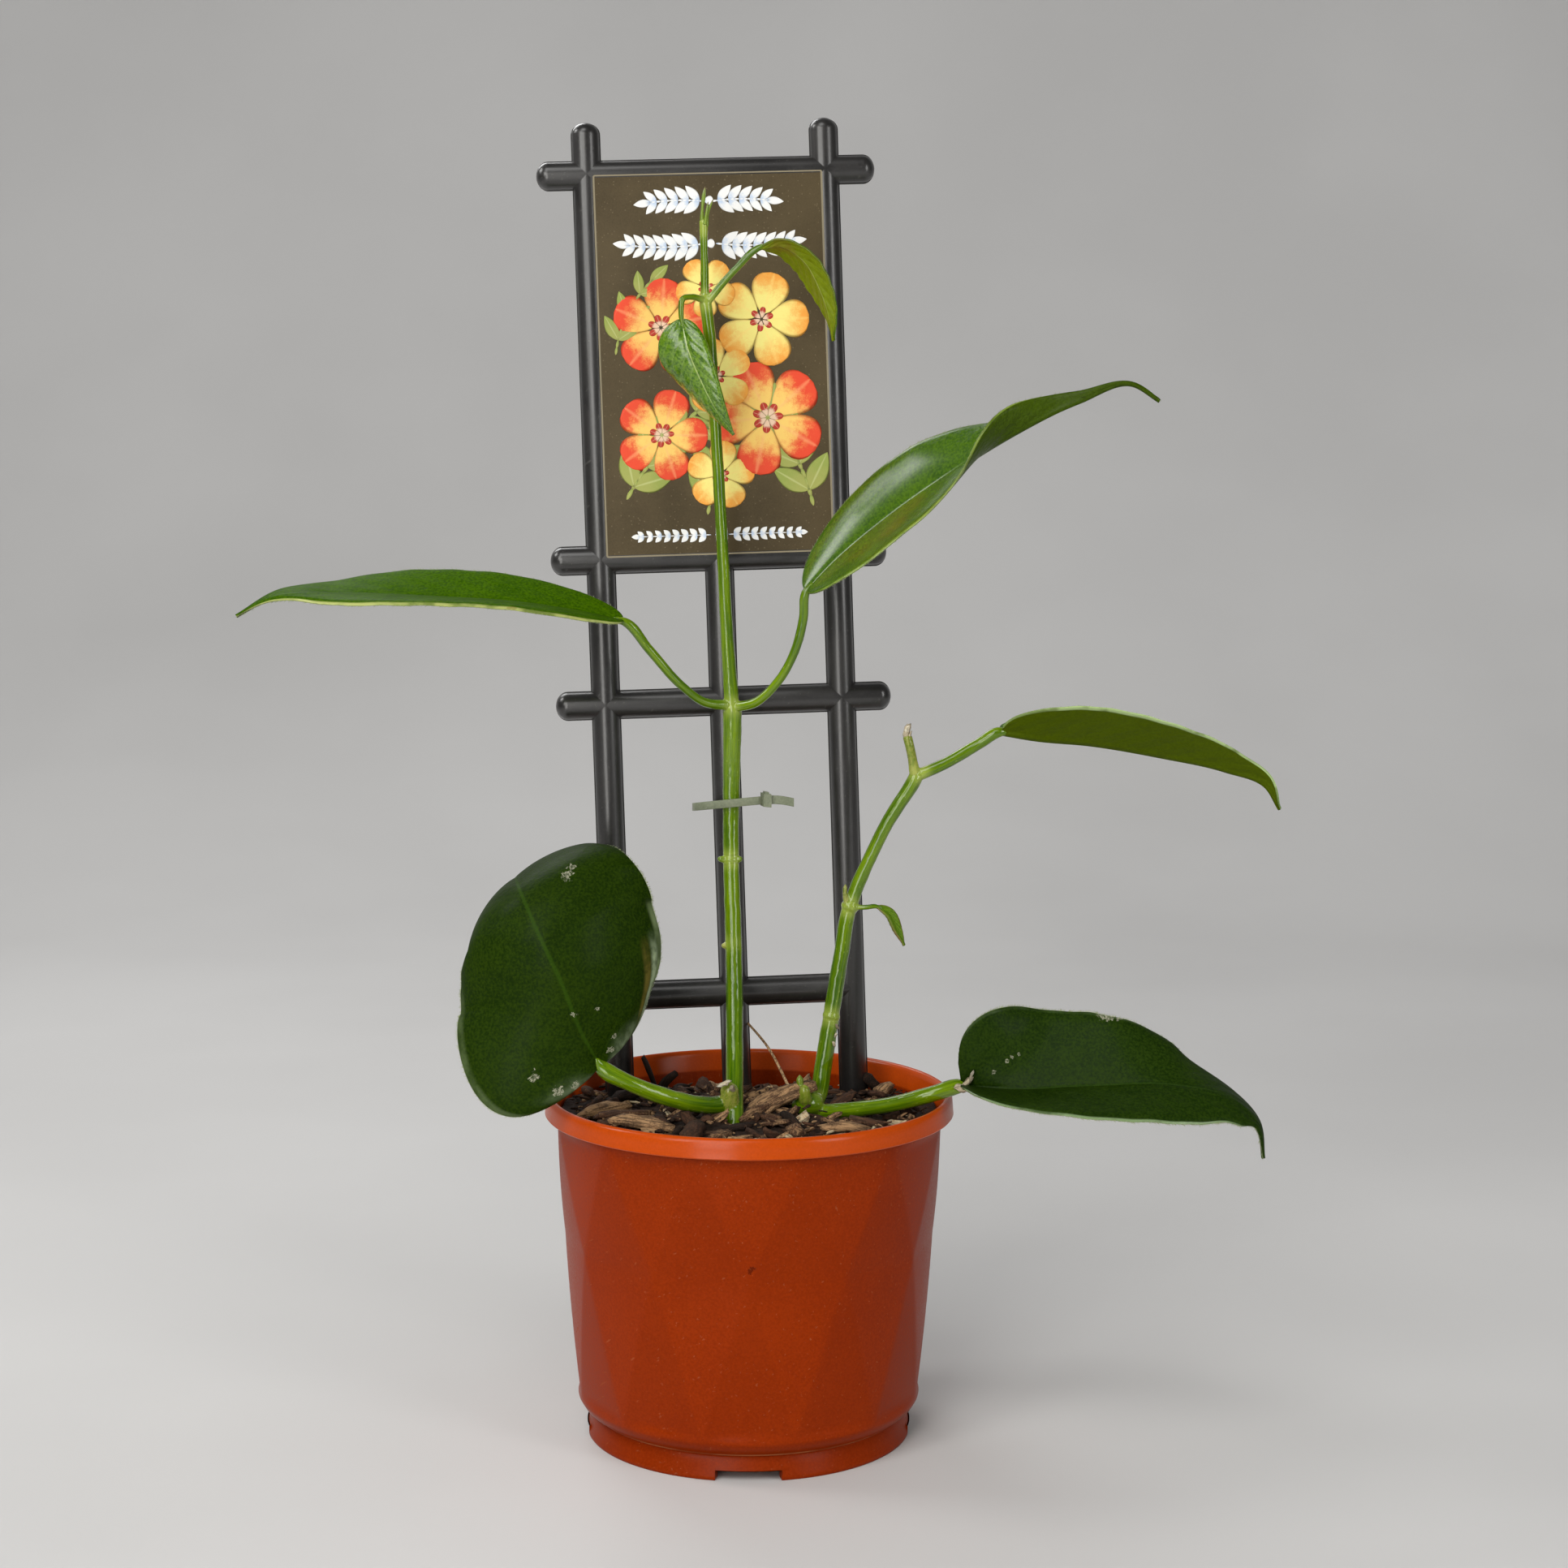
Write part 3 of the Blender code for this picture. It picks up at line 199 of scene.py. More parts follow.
@dataclass
class Weave:
    """Collects grids of points into one mesh, with named values carried on the points."""

    points: list[Array] = field(default_factory=list)
    faces: list[Array] = field(default_factory=list)
    values: list[dict[str, Array]] = field(default_factory=list)
    count: int = 0

    def _keep(self, points: Array, values: dict[str, Array]) -> Array:
        """Keep points and their values, and return the points' numbers."""
        numbers = self.count + np.arange(len(points))
        self.points.append(points)
        self.values.append(values)
        self.count += len(points)
        return numbers

    def grids(self, points: Array, wrap: bool = False, caps: bool = False, **values: Array) -> "Weave":
        """Add one grid or many of the same size. A closed one is turned outwards by its signed volume.

        Args:
            points: rows x columns x 3, or many of them along a first axis.
            wrap: whether the last column meets the first.
            caps: whether the first and the last row are closed, each by a fan about its middle.
            values: numbers, or rows of three, for each point, for each grid or for all.

        Returns:
            This object, so that calls can follow each other.
        """
        points = points.reshape((-1, *points.shape[-3:]))
        batch, rows, columns = points.shape[:3]
        full = {}
        for name, value in values.items():
            value = np.asarray(value, float)
            wide = name in VECTORS
            shape = (batch, rows, columns, 3) if wide else (batch, rows, columns)
            if not wide and value.ndim == 1 and value.size == batch:
                value = value[:, None, None]
            full[name] = np.broadcast_to(value, shape)
        flat = {name: value.reshape(-1, *value.shape[3:]) for name, value in full.items()}
        index = self._keep(points.reshape(-1, 3), flat).reshape(batch, rows, columns)
        left = index if wrap else index[..., :-1]
        right = np.roll(index, -1, axis=2) if wrap else index[..., 1:]
        quads = np.stack([left[:, :-1], right[:, :-1], right[:, 1:], left[:, 1:]], axis=-1)
        quads = quads.reshape(batch, -1, 4)
        fans = []
        if caps:
            for row, step in ((0, 1), (-1, -1)):
                middle = {name: value[:, row].mean(axis=1) for name, value in full.items()}
                tip = self._keep(points[:, row].mean(axis=1), middle)
                ring = index[:, row]
                fans.append(np.stack([np.broadcast_to(tip[:, None], ring.shape), ring,
                                      np.roll(ring, step, axis=1)], axis=-1))
            inside_out = self._volume(quads, fans) < 0
            quads[inside_out] = quads[inside_out][..., ::-1]
            for fan in fans:
                fan[inside_out] = fan[inside_out][..., ::-1]
        self.faces.append(quads.reshape(-1, 4))
        self.faces += [fan.reshape(-1, 3) for fan in fans]
        return self

    def closed(self, points: Array, **values: Array) -> "Weave":
        """Add grids whose columns go round and whose first and last rows are closed."""
        return self.grids(points, wrap=True, caps=True, **values)

    def _volume(self, quads: Array, fans: list[Array]) -> Array:
        """Each closed grid's signed volume: a sixth of the sum of its triangles' triple products."""
        cloud = np.concatenate(self.points)
        total = np.zeros(len(quads))
        for part in (quads[..., [0, 1, 2]], quads[..., [0, 2, 3]], *fans):
            a, b, c = (cloud[part[..., k]] for k in range(3))
            total += np.einsum("...i,...i", a, np.cross(b, c)).sum(axis=-1)
        return total / 6

    def loose(self, points: Array, faces: Array, **values: Array) -> "Weave":
        """Add points and faces that are already numbered among themselves."""
        start = self.count
        self._keep(points,
                   {name: np.broadcast_to(np.asarray(value, float), (len(points), *np.shape(value)[1:]))
                    for name, value in values.items()})
        self.faces.append(faces + start)
        return self

    def build(self, name: str, sharp: float | None = None) -> bpy.types.Object:
        """The mesh as an object at the origin.

        Args:
            name: the object's name.
            sharp: the angle from which an edge is drawn sharp, or None for none.

        Returns:
            The object, shaded smooth.
        """
        mesh = bpy.data.meshes.new(name)
        cloud = np.concatenate(self.points).astype(np.float32)
        mesh.vertices.add(len(cloud))
        mesh.vertices.foreach_set("co", cloud.ravel())
        corners = np.concatenate([face.ravel() for face in self.faces]).astype(np.int32)
        sizes = np.concatenate([np.full(len(face), face.shape[1]) for face in self.faces])
        mesh.loops.add(len(corners))
        mesh.loops.foreach_set("vertex_index", corners)
        mesh.polygons.add(len(sizes))
        mesh.polygons.foreach_set("loop_start", (np.cumsum(sizes) - sizes).astype(np.int32))
        mesh.update(calc_edges=True)
        for key in sorted({key for values in self.values for key in values}):
            blank = (3,) if key in VECTORS else ()
            parts = [values.get(key, np.zeros((len(points), *blank)))
                     for points, values in zip(self.points, self.values)]
            write_values(mesh, key, np.concatenate(parts))
        mesh.shade_smooth()
        if sharp is not None:
            mesh.set_sharp_from_angle(angle=math.radians(sharp))
        made = bpy.data.objects.new(name, mesh)
        bpy.context.scene.collection.objects.link(made)
        return made


def tube(route: Array, radii: Array, sides: int, first: Point) -> tuple[Array, Array, Array, Array]:
    """A round tube: rings of points at a radius from each centre, across the route's direction.

    Args:
        route: the centres.
        radii: one radius for each centre.
        sides: points in each ring.
        first: a direction that the first point of the first ring lies near.

    Returns:
        The rings, and the route's tangents, normals and directions across.
    """
    tangents = unit(np.gradient(route, axis=0))
    normals = carried_normals(tangents, first)
    across = np.cross(tangents, normals)
    turn = 2 * np.pi * np.arange(sides) / sides
    ring = normals[:, None] * np.cos(turn)[:, None] + across[:, None] * np.sin(turn)[:, None]
    return route[:, None] + radii[:, None, None] * ring, tangents, normals, across


def place_piece(made: bpy.types.Object, finish: bpy.types.Material, slot: Slot,
                *nodes: str) -> bpy.types.Object:
    """Give a piece its material, let it ride on the body, and put it in its node's stead."""
    made.data.materials.clear()
    made.data.materials.append(finish)
    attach(made, ROOT)
    if nodes:
        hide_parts(*nodes)
    LOG.info("%s: %d faces", made.name, len(made.data.polygons))
    return made


# ---- Shader building


class Graph:
    """A node tree, with short ways to add and join its nodes."""

    def __init__(self, tree: bpy.types.NodeTree) -> None:
        """Keep the tree."""
        self.tree = tree

    def add(self, kind: str, inputs: dict | None = None, **settings: Value) -> bpy.types.Node:
        """Add a node.

        Args:
            kind: the node's Blender type.
            inputs: values or sockets, by the input's name or number.
            settings: the node's own properties.

        Returns:
            The node.
        """
        made = self.tree.nodes.new(kind)
        for key, value in settings.items():
            setattr(made, key, value)
        return self._fill(made, inputs or {})

    def _fill(self, made: bpy.types.Node, inputs: dict) -> bpy.types.Node:
        """Join sockets to a node's inputs, and set the other inputs' values."""
        for key, value in inputs.items():
            if isinstance(value, Socket):
                self.tree.links.new(value, made.inputs[key])
            else:
                made.inputs[key].default_value = value
        return made

    def feed(self, node: bpy.types.Node, **sockets: Socket) -> None:
        """Join sockets to a node's inputs, each by the input's name with _ for each space."""
        for key, socket in sockets.items():
            self.tree.links.new(socket, node.inputs[key.replace("_", " ")])

    def calc(self, operation: str, *values: Value, clamp: bool = False) -> Socket:
        """One Math node's result."""
        return self.add("ShaderNodeMath", dict(enumerate(values)), operation=operation,
                        use_clamp=clamp).outputs[0]

    def times(self, first: Value, second: Value) -> Socket:
        """The product of two numbers."""
        return self.calc("MULTIPLY", first, second)

    def plus(self, first: Value, second: Value, clamp: bool = False) -> Socket:
        """The sum of two numbers."""
        return self.calc("ADD", first, second, clamp=clamp)

    def less(self, first: Value, second: Value) -> Socket:
        """The first number less the second."""
        return self.calc("SUBTRACT", first, second)

    def magnitude(self, value: Value) -> Socket:
        """A number without its sign."""
        return self.calc("ABSOLUTE", value)

    def step(self, value: Value, low: float, high: float, start: float = 0.0, end: float = 1.0) -> Socket:
        """An eased step from start to end while a value goes from low to high."""
        inputs = {"Value": value, "From Min": low, "From Max": high, "To Min": start, "To Max": end}
        return self.add("ShaderNodeMapRange", inputs, interpolation_type="SMOOTHSTEP").outputs[0]

    def mix(self, share: Value, first: Value, second: Value) -> Socket:
        """Two colours mixed."""
        first, second = (value if isinstance(value, Socket) else (*value, 1.0) for value in (first, second))
        return self.add("ShaderNodeMix", {0: share, 6: first, 7: second}, data_type="RGBA").outputs[2]

    def noise(self, vector: Value, scale: Value, detail: float = 3.0, rough: float = 0.5,
              twist: float = 0.0) -> Socket:
        """Noise from about 0.25 to 0.75."""
        inputs = {"Vector": vector, "Scale": scale, "Detail": detail, "Roughness": rough,
                  "Distortion": twist}
        return self.add("ShaderNodeTexNoise", inputs).outputs[0]

    def cells(self, vector: Value, scale: Value) -> Socket:
        """The distance to the nearest of many scattered points."""
        return self.add("ShaderNodeTexVoronoi", {"Vector": vector, "Scale": scale}).outputs["Distance"]

    def stretched(self, vector: Value, scale: Point, turn: Point = (0.0, 0.0, 0.0)) -> Socket:
        """Coordinates scaled by an amount along each axis, and turned first."""
        turned = self.add("ShaderNodeMapping",
                          {"Vector": vector, "Rotation": tuple(map(math.radians, turn))})
        return self.add("ShaderNodeVectorMath", {0: turned.outputs[0], 1: scale},
                        operation="MULTIPLY").outputs[0]

    def own(self) -> Socket:
        """The piece's Object coordinates."""
        return self.add("ShaderNodeTexCoord").outputs["Object"]

    def carried(self, name: str) -> Socket:
        """A value that the mesh carries on its points."""
        node = self.add("ShaderNodeAttribute", attribute_name=name)
        return node.outputs["Vector" if name in VECTORS else "Fac"]

    def bump(self, height: Value, distance: float, normal: Value = None) -> Socket:
        """A normal bent by a height."""
        inputs = {"Height": height, "Distance": distance, "Strength": 1.0}
        if normal is not None:
            inputs["Normal"] = normal
        return self.add("ShaderNodeBump", inputs).outputs[0]

    def shared(self, tree: bpy.types.NodeTree, **inputs: Value) -> bpy.types.Node:
        """A shared effect, with its inputs by name."""
        return self._fill(self.add("ShaderNodeGroup", node_tree=tree), inputs)


def new_effect(name: str, inputs: dict[str, Value], outputs: tuple[str, ...],
               ) -> tuple[Graph, bpy.types.NodeOutputs, bpy.types.Node]:
    """An empty shared effect.

    Args:
        name: the node group's name.
        inputs: each input's standing value: a number, or three for a vector.
        outputs: the names of its numbers.

    Returns:
        Its graph, its inputs by name and its output node.
    """
    tree = bpy.data.node_groups.new(name, "ShaderNodeTree")
    for key, value in inputs.items():
        kind = "NodeSocketVector" if isinstance(value, tuple) else "NodeSocketFloat"
        tree.interface.new_socket(name=key, in_out="INPUT", socket_type=kind).default_value = value
    for key in outputs:
        tree.interface.new_socket(name=key, in_out="OUTPUT", socket_type="NodeSocketFloat")
    return Graph(tree), tree.nodes.new("NodeGroupInput").outputs, tree.nodes.new("NodeGroupOutput")


class Effects:
    """The effects that more than one material uses."""

    def __init__(self) -> None:
        """Build each effect once."""
        self.mottle = self._mottle()
        self.scuffs = self._scuffs()
        self.patch = self._patch()
        self.veins = self._veins()

    @staticmethod
    def _mottle() -> bpy.types.NodeTree:
        """Soft blotches with a fine grain on them, from 0 to 1."""
        g, given, out = new_effect("mottle", {"Place": (0.0, 0.0, 0.0), "Blotches": 60.0, "Grain": 1500.0,
                                              "Share": 0.3},
                                   ("Value", "Fine"))
        broad = g.noise(given["Place"], given["Blotches"], 4.0, 0.6)
        fine = g.noise(given["Place"], given["Grain"], 2.0)
        blend = g.add("ShaderNodeMix", {0: given["Share"], 2: broad, 3: fine}, data_type="FLOAT").outputs[0]
        g.feed(out, Value=g.step(blend, 0.33, 0.67), Fine=fine)
        return g.tree

    @staticmethod
    def _scuffs() -> bpy.types.NodeTree:
        """Fine scratches and dusty specks on moulded plastic."""
        g, given, out = new_effect("scuffs", {"Place": (0.0, 0.0, 0.0), "Scratches": 55.0, "Specks": 420.0},
                                   ("Scratch", "Speck"))
        lines = []
        for turn in ((25.0, 10.0, 70.0), (-40.0, 65.0, 15.0)):
            drawn = g.stretched(given["Place"], (1.0, 14.0, 14.0), turn)
            lines.append(g.step(g.noise(drawn, given["Scratches"], 2.0), 0.69, 0.75))
        dots = g.step(g.cells(given["Place"], given["Specks"]), 0.09, 0.04)
        few = g.step(g.noise(given["Place"], 90.0), 0.52, 0.66)
        g.feed(out, Scratch=g.calc("MAXIMUM", *lines), Speck=g.times(dots, few))
        return g.tree

    @staticmethod
    def _patch() -> bpy.types.NodeTree:
        """A small patch with a ragged outline: the distance to its centre, upset by noise, under its size.

        Ring is the same patch with a dull middle.
        """
        g, given, out = new_effect("patch", {"Place": (0.0, 0.0, 0.0), "Centre": (0.0, 0.0, 0.0),
                                             "Size": 0.002, "Ragged": 1.0}, ("Mask", "Ring"))
        away = g.add("ShaderNodeVectorMath", {0: given["Place"], 1: given["Centre"]},
                     operation="DISTANCE").outputs["Value"]
        upset = g.times(g.less(g.noise(given["Place"], 620.0, 5.0, 0.75), 0.5), given["Ragged"])
        far = g.plus(g.calc("DIVIDE", away, given["Size"]), g.times(upset, 3.0))
        mask = g.step(far, 1.0, 0.75)
        g.feed(out, Mask=mask, Ring=g.times(mask, g.step(far, 0.1, 0.7, 0.25, 1.0)))
        return g.tree

    @staticmethod
    def _veins() -> bpy.types.NodeTree:
        """A leaf's midrib and its side veins, from how far along and across the blade a point lies."""
        g, given, out = new_effect("veins", {"Along": 0.0, "Across": 0.0, "Count": 9.0, "Slant": 2.2,
                                             "Rib": 0.035},
                                   ("Midrib", "Side", "Height"))
        away = g.magnitude(given["Across"])
        rib = g.calc("DIVIDE", away, given["Rib"])
        fading = g.step(given["Along"], 0.55, 1.0, 1.0, 0.0)
        midrib = g.times(g.step(rib, 1.0, 0.2), fading)
        wave = g.less(g.times(given["Along"], given["Count"]), g.times(away, given["Slant"]))
        ridge = g.calc("PINGPONG", wave, 0.5)
        side = g.times(g.step(ridge, 0.09, 0.0), g.step(away, 0.96, 0.6))
        g.feed(out, Midrib=midrib, Side=side, Height=g.times(ridge, g.step(away, 1.0, 0.5)))
        return g.tree


def new_material(name: str, **fixed: Value) -> tuple[bpy.types.Material, Graph, bpy.types.Node]:
    """A material with its Principled shader.

    Args:
        name: the material's name.
        fixed: the shader's even values, by input name with _ for each space.

    Returns:
        The material, its graph and its shader.
    """
    made = bpy.data.materials.new(name)
    made.use_nodes = True
    graph = Graph(made.node_tree)
    shader = made.node_tree.nodes["Principled BSDF"]
    for key, value in fixed.items():
        shader.inputs[key.replace("_", " ").replace("Ior", "IOR")].default_value = value
    return made, graph, shader


# ---- Finishes


@dataclass(frozen=True)
class PlasticFinish:
    """Moulded plastic: soft blotches, a fine grain, scratches, dusty specks, and painted light and shade
    where asked.
    """

    name: str
    dark: Colour
    light: Colour
    dust_and_highlight: Colour
    roughness: float
    coat: float = 0.0
    grain: float = 0.00002
    specular: float = 0.5
    smudge: Point | None = None
    smudge_size: float = 0.0013
    blotches: float = 45.0
    fine_share: float = 0.35
    # Painted light and shade for the pot: a pale highlight line round the crease, a lighter rim, darker
    # facets and a darker band just above the foot.
    painted_highlight_height: float = 0.0
    painted_rim_light: Colour | None = None
    painted_rim_light_from: float = 0.1113
    bright_coat: float = 0.32
    painted_facet_share: float = 0.17
    painted_shade_below: float = 0.0125
    speck_share: float = 0.5
    smudge_share: float = 0.7
    grain_scale: float = 1300.0
    scratch_share: float = 0.16

    def material(self, effects: Effects) -> bpy.types.Material:
        """The material, with a smudge, painted rim light, painted facet and foot shade, and a painted
        highlight line where asked.
        """
        made, g, shader = new_material(self.name, Coat_Weight=self.coat, Coat_Roughness=0.2,
                                       Specular_Ior_Level=self.specular)
        own = g.own()
        mottle = g.shared(effects.mottle, Place=own, Blotches=self.blotches, Grain=self.grain_scale,
                          Share=self.fine_share).outputs
        scuffs = g.shared(effects.scuffs, Place=own).outputs
        colour = g.mix(mottle["Value"], self.dark, self.light)
        colour = g.mix(g.times(scuffs["Speck"], self.speck_share), colour, self.dust_and_highlight)
        colour = g.mix(g.times(scuffs["Scratch"], self.scratch_share), colour, self.dust_and_highlight)
        if self.smudge:
            mark = g.shared(effects.patch, Place=own, Centre=self.smudge, Size=self.smudge_size,
                            Ragged=1.6).outputs[0]
            colour = g.mix(g.times(mark, self.smudge_share), colour, scaled(self.dark, 0.3))
        level = g.add("ShaderNodeSeparateXYZ", {0: own}).outputs[2]
        if self.painted_rim_light:
            # Painted light: above a height the rim is painted lighter, standing in for the light that falls
            # on it from above.
            share = g.step(level, self.painted_rim_light_from - 0.0004, self.painted_rim_light_from + 0.0006, 0.0, 0.95)
            painted_rim_tone = g.mix(mottle["Value"], scaled(self.painted_rim_light, 0.9), self.painted_rim_light)
            # Painted shade on the facets: the mesh carries how shaded each place is, and that share darkens
            # the colour.
            colour = g.mix(g.times(g.carried("facet"), self.painted_facet_share), colour, scaled(self.dark, 0.72))
            colour = g.mix(share, colour, painted_rim_tone)
            # Painted shade: just above the foot, in the crease, the colour is darkened as if in shadow.
            colour = g.mix(g.step(level, self.painted_shade_below + 0.0020, self.painted_shade_below, 0.0, 0.15), colour,
                           scaled(self.dark, 0.35))
            g.feed(shader, Coat_Weight=g.times(share, self.bright_coat))
        if self.painted_highlight_height:
            # Painted highlight: a thin pale line round the pot at a height, in the crease above the foot,
            # drawn in the dust colour.
            away = g.magnitude(g.less(level, self.painted_highlight_height))
            painted_highlight = g.times(g.step(away, 0.0005, 0.0001), g.step(g.noise(own, 70.0), 0.42, 0.6, 0.25, 0.8))
            colour = g.mix(painted_highlight, colour, self.dust_and_highlight)
        rough = g.plus(g.step(mottle["Value"], 0.0, 1.0, self.roughness - 0.04, self.roughness + 0.05),
                       g.times(scuffs["Scratch"], 0.15))
        height = g.less(mottle["Fine"], g.times(scuffs["Scratch"], 0.6))
        g.feed(shader, Base_Color=colour, Roughness=rough, Normal=g.bump(height, self.grain))
        return made


@dataclass(frozen=True)
class Streak:
    """A soft streak along a blade, for a stain and for painted highlights: where it starts and ends along it,
    where it lies across, and its look.
    """

    start: float
    end: float
    place: float
    width: float
    colour: Colour
    share: float


@dataclass(frozen=True)
class LeafFinish:
    """A leaf's skin: upper and lower colours, a rib, veins, a margin mostly painted as a highlight, scars and
    a fringe of hairs.
    """

    name: str
    deep: Colour
    fresh: Colour
    under: Colour
    rib: Colour
    # On the dark, bright, glossy and underside skins this margin colour is a painted highlight, where the
    # rolled margin catches light; on the small and young skins it is a margin tone.
    edge: Colour
    roughness: float = 0.45
    specular: float = 0.22
    coat: float = 0.05
    rib_share: float = 0.6
    edge_left: float = 0.2
    edge_right: float = 0.8
    edge_from: float = 0.93
    vein_share: float = 0.12
    vein_count: float = 9.0
    rib_width: float = 0.035
    coat_roughness: float = 0.2
    edge_until: float = 1.6
    edge_coat: float = 0.8
    grain: float = 1150.0
    grain_share: float = 0.74
    yellow_share: float = 0.45
    streaks: tuple[Streak, ...] = ()
    vein_depth: float = 0.00008
    wrinkle: float = 0.00004
    blotches: float = 80.0
    hair: Colour = (0.40, 0.46, 0.24)
    scar: Colour = (0.46, 0.45, 0.33)
    yellow: Colour = (0.20, 0.15, 0.02)

    def material(self, effects: Effects, scars: list[tuple[Array, float]],
                 yellowed: list[tuple[Array, float]], ) -> bpy.types.Material:
        """The material.

        Args:
            effects: the shared effects.
            scars: the centre and size of each pale scar.
            yellowed: the centre and size of each faint yellow place.

        Returns:
            The material.
        """
        made, g, shader = new_material(self.name, Coat_Roughness=self.coat_roughness,
                                       Specular_Ior_Level=self.specular)
        own = g.own()
        along, across, upper, hair = (g.carried(name) for name in ("along", "across", "upper", "hair"))
        mottle = g.shared(effects.mottle, Place=own, Blotches=self.blotches, Grain=self.grain,
                          Share=self.grain_share).outputs
        veins = g.shared(effects.veins, Along=along, Across=across, Count=self.vein_count,
                         Rib=self.rib_width).outputs
        top = g.mix(mottle["Value"], self.deep, self.fresh)
        low = g.mix(mottle["Value"], scaled(self.under, 0.8), self.under)
        colour = g.mix(upper, low, top)
        colour = g.mix(g.times(veins["Side"], self.vein_share), colour, self.rib)
        colour = g.mix(g.times(veins["Midrib"], self.rib_share), colour, self.rib)
        # The margin band, which on most skins is a painted highlight where the rolled margin catches light.
        rim = g.step(g.magnitude(across), self.edge_from, self.edge_from + 0.5 * (1 - self.edge_from))
        side = g.step(across, -0.1, 0.1, self.edge_left, self.edge_right)
        patchy = g.step(g.noise(own, 110.0, 3.0), 0.36, 0.56, 0.35, 1.0)
        rim = g.times(rim, g.times(side, patchy))
        rim = g.times(rim, g.step(along, self.edge_until, self.edge_until - 0.2))
        colour = g.mix(rim, colour, self.edge)
        glaze = g.times(g.step(upper, 0.3, 0.7, 0.15 * self.coat, self.coat),
                        g.step(g.magnitude(across), 0.99, 0.72, 0.25, 1.0))
        g.feed(shader, Coat_Weight=g.plus(glaze, g.times(rim, self.edge_coat), clamp=True))
        # Streaks: a yellow-brown stain, and painted highlights where the rolled margin and base lobes catch
        # light.
        for streak in self.streaks:
            mark = g.times(g.step(along, streak.start, streak.start + 0.04),
                           g.step(along, streak.end, streak.end - 0.10))
            away = g.magnitude(g.less(across, streak.place))
            mark = g.times(mark, g.step(away, streak.width, 0.2 * streak.width))
            mark = g.times(mark, g.step(g.noise(own, 260.0, 3.0), 0.35, 0.6, 0.4, 1.0))
            colour = g.mix(g.times(mark, streak.share), colour, streak.colour)
        for centre, size in yellowed:
            mark = g.shared(effects.patch, Place=own, Centre=tuple(centre), Size=size, Ragged=0.5).outputs[0]
            colour = g.mix(g.times(mark, self.yellow_share), colour, self.yellow)
        broken = g.step(g.noise(own, 1500.0, 3.0, 0.7), 0.36, 0.56, 0.1, 0.85)
        marks = None
        for centre, size in scars:
            mark = g.shared(effects.patch, Place=own, Centre=tuple(centre), Size=size,
                            Ragged=2.0).outputs["Ring"]
            marks = mark if marks is None else g.calc("MAXIMUM", marks, mark)
        rough = g.step(mottle["Fine"], 0.3, 0.7, self.roughness - 0.05, self.roughness + 0.07)
        if marks is not None:
            marks = g.times(marks, broken)
            colour = g.mix(marks, colour, self.scar)
            rough = g.plus(rough, g.times(marks, 0.2))
        colour = g.mix(hair, colour, self.hair)
        folds = g.noise(own, 420.0, 3.0, 0.55, 0.6)
        shaped = g.bump(veins["Height"], self.vein_depth * 4)
        shaped = g.bump(folds, self.wrinkle * 5, normal=shaped)
        shaped = g.bump(mottle["Fine"], self.wrinkle, normal=shaped)
        g.feed(shader, Base_Color=colour, Roughness=rough, Normal=shaped)
        return made


@dataclass(frozen=True)
class StemFinish:
    """A stem's skin: green streaks along it, pale flecks, and paler rings at its nodes."""

    name: str
    deep: Colour = (0.034, 0.098, 0.0003)
    fresh: Colour = (0.160, 0.262, 0.0012)
    pale: Colour = (0.42, 0.50, 0.09)
    tip: Colour = (0.66, 0.53, 0.16)
    roughness: float = 0.30
    streak_scale: float = 1100.0
    fleck_scale: float = 800.0
    fleck_share: float = 0.45
    ring_share: float = 0.6
    relief: float = 0.00016

    def material(self, effects: Effects) -> bpy.types.Material:
        """The material, from the shared effects and the values carried on the stem."""
        made, g, shader = new_material(self.name, Coat_Weight=1.0, Coat_Roughness=0.11,
                                       Specular_Ior_Level=0.04)
        skin, ring, dry = g.carried("skin"), g.carried("ring"), g.carried("dry")
        streaks = g.noise(g.stretched(skin, (1.0, 1.0, 0.05)), self.streak_scale, 3.0, 0.6)
        broad = g.noise(g.stretched(skin, (1.0, 1.0, 0.25)), 90.0, 2.0)
        tone = g.plus(g.step(streaks, 0.34, 0.66, 0.0, 0.55), g.step(broad, 0.35, 0.65, 0.0, 0.45))
        colour = g.mix(tone, self.deep, self.fresh)
        flecks = g.step(g.cells(g.stretched(skin, (1.0, 1.0, 0.30)), self.fleck_scale), 0.14, 0.05)
        colour = g.mix(g.times(flecks, self.fleck_share), colour, self.pale)
        colour = g.mix(g.times(ring, self.ring_share), colour, self.pale)
        crumbs = g.step(g.noise(g.own(), 800.0, 3.0, 0.7), 0.40, 0.56)
        colour = g.mix(g.times(dry, g.step(crumbs, 0.0, 1.0, 0.45, 1.0)), colour, self.tip)
        mottle = g.shared(effects.mottle, Place=g.own(), Blotches=200.0, Grain=2600.0, Share=0.5).outputs
        rough = g.step(mottle["Value"], 0.0, 1.0, self.roughness - 0.06, self.roughness + 0.08)
        height = g.plus(streaks, g.times(mottle["Fine"], 0.4))
        g.feed(shader, Base_Color=colour, Roughness=rough, Normal=g.bump(height, self.relief))
        return made


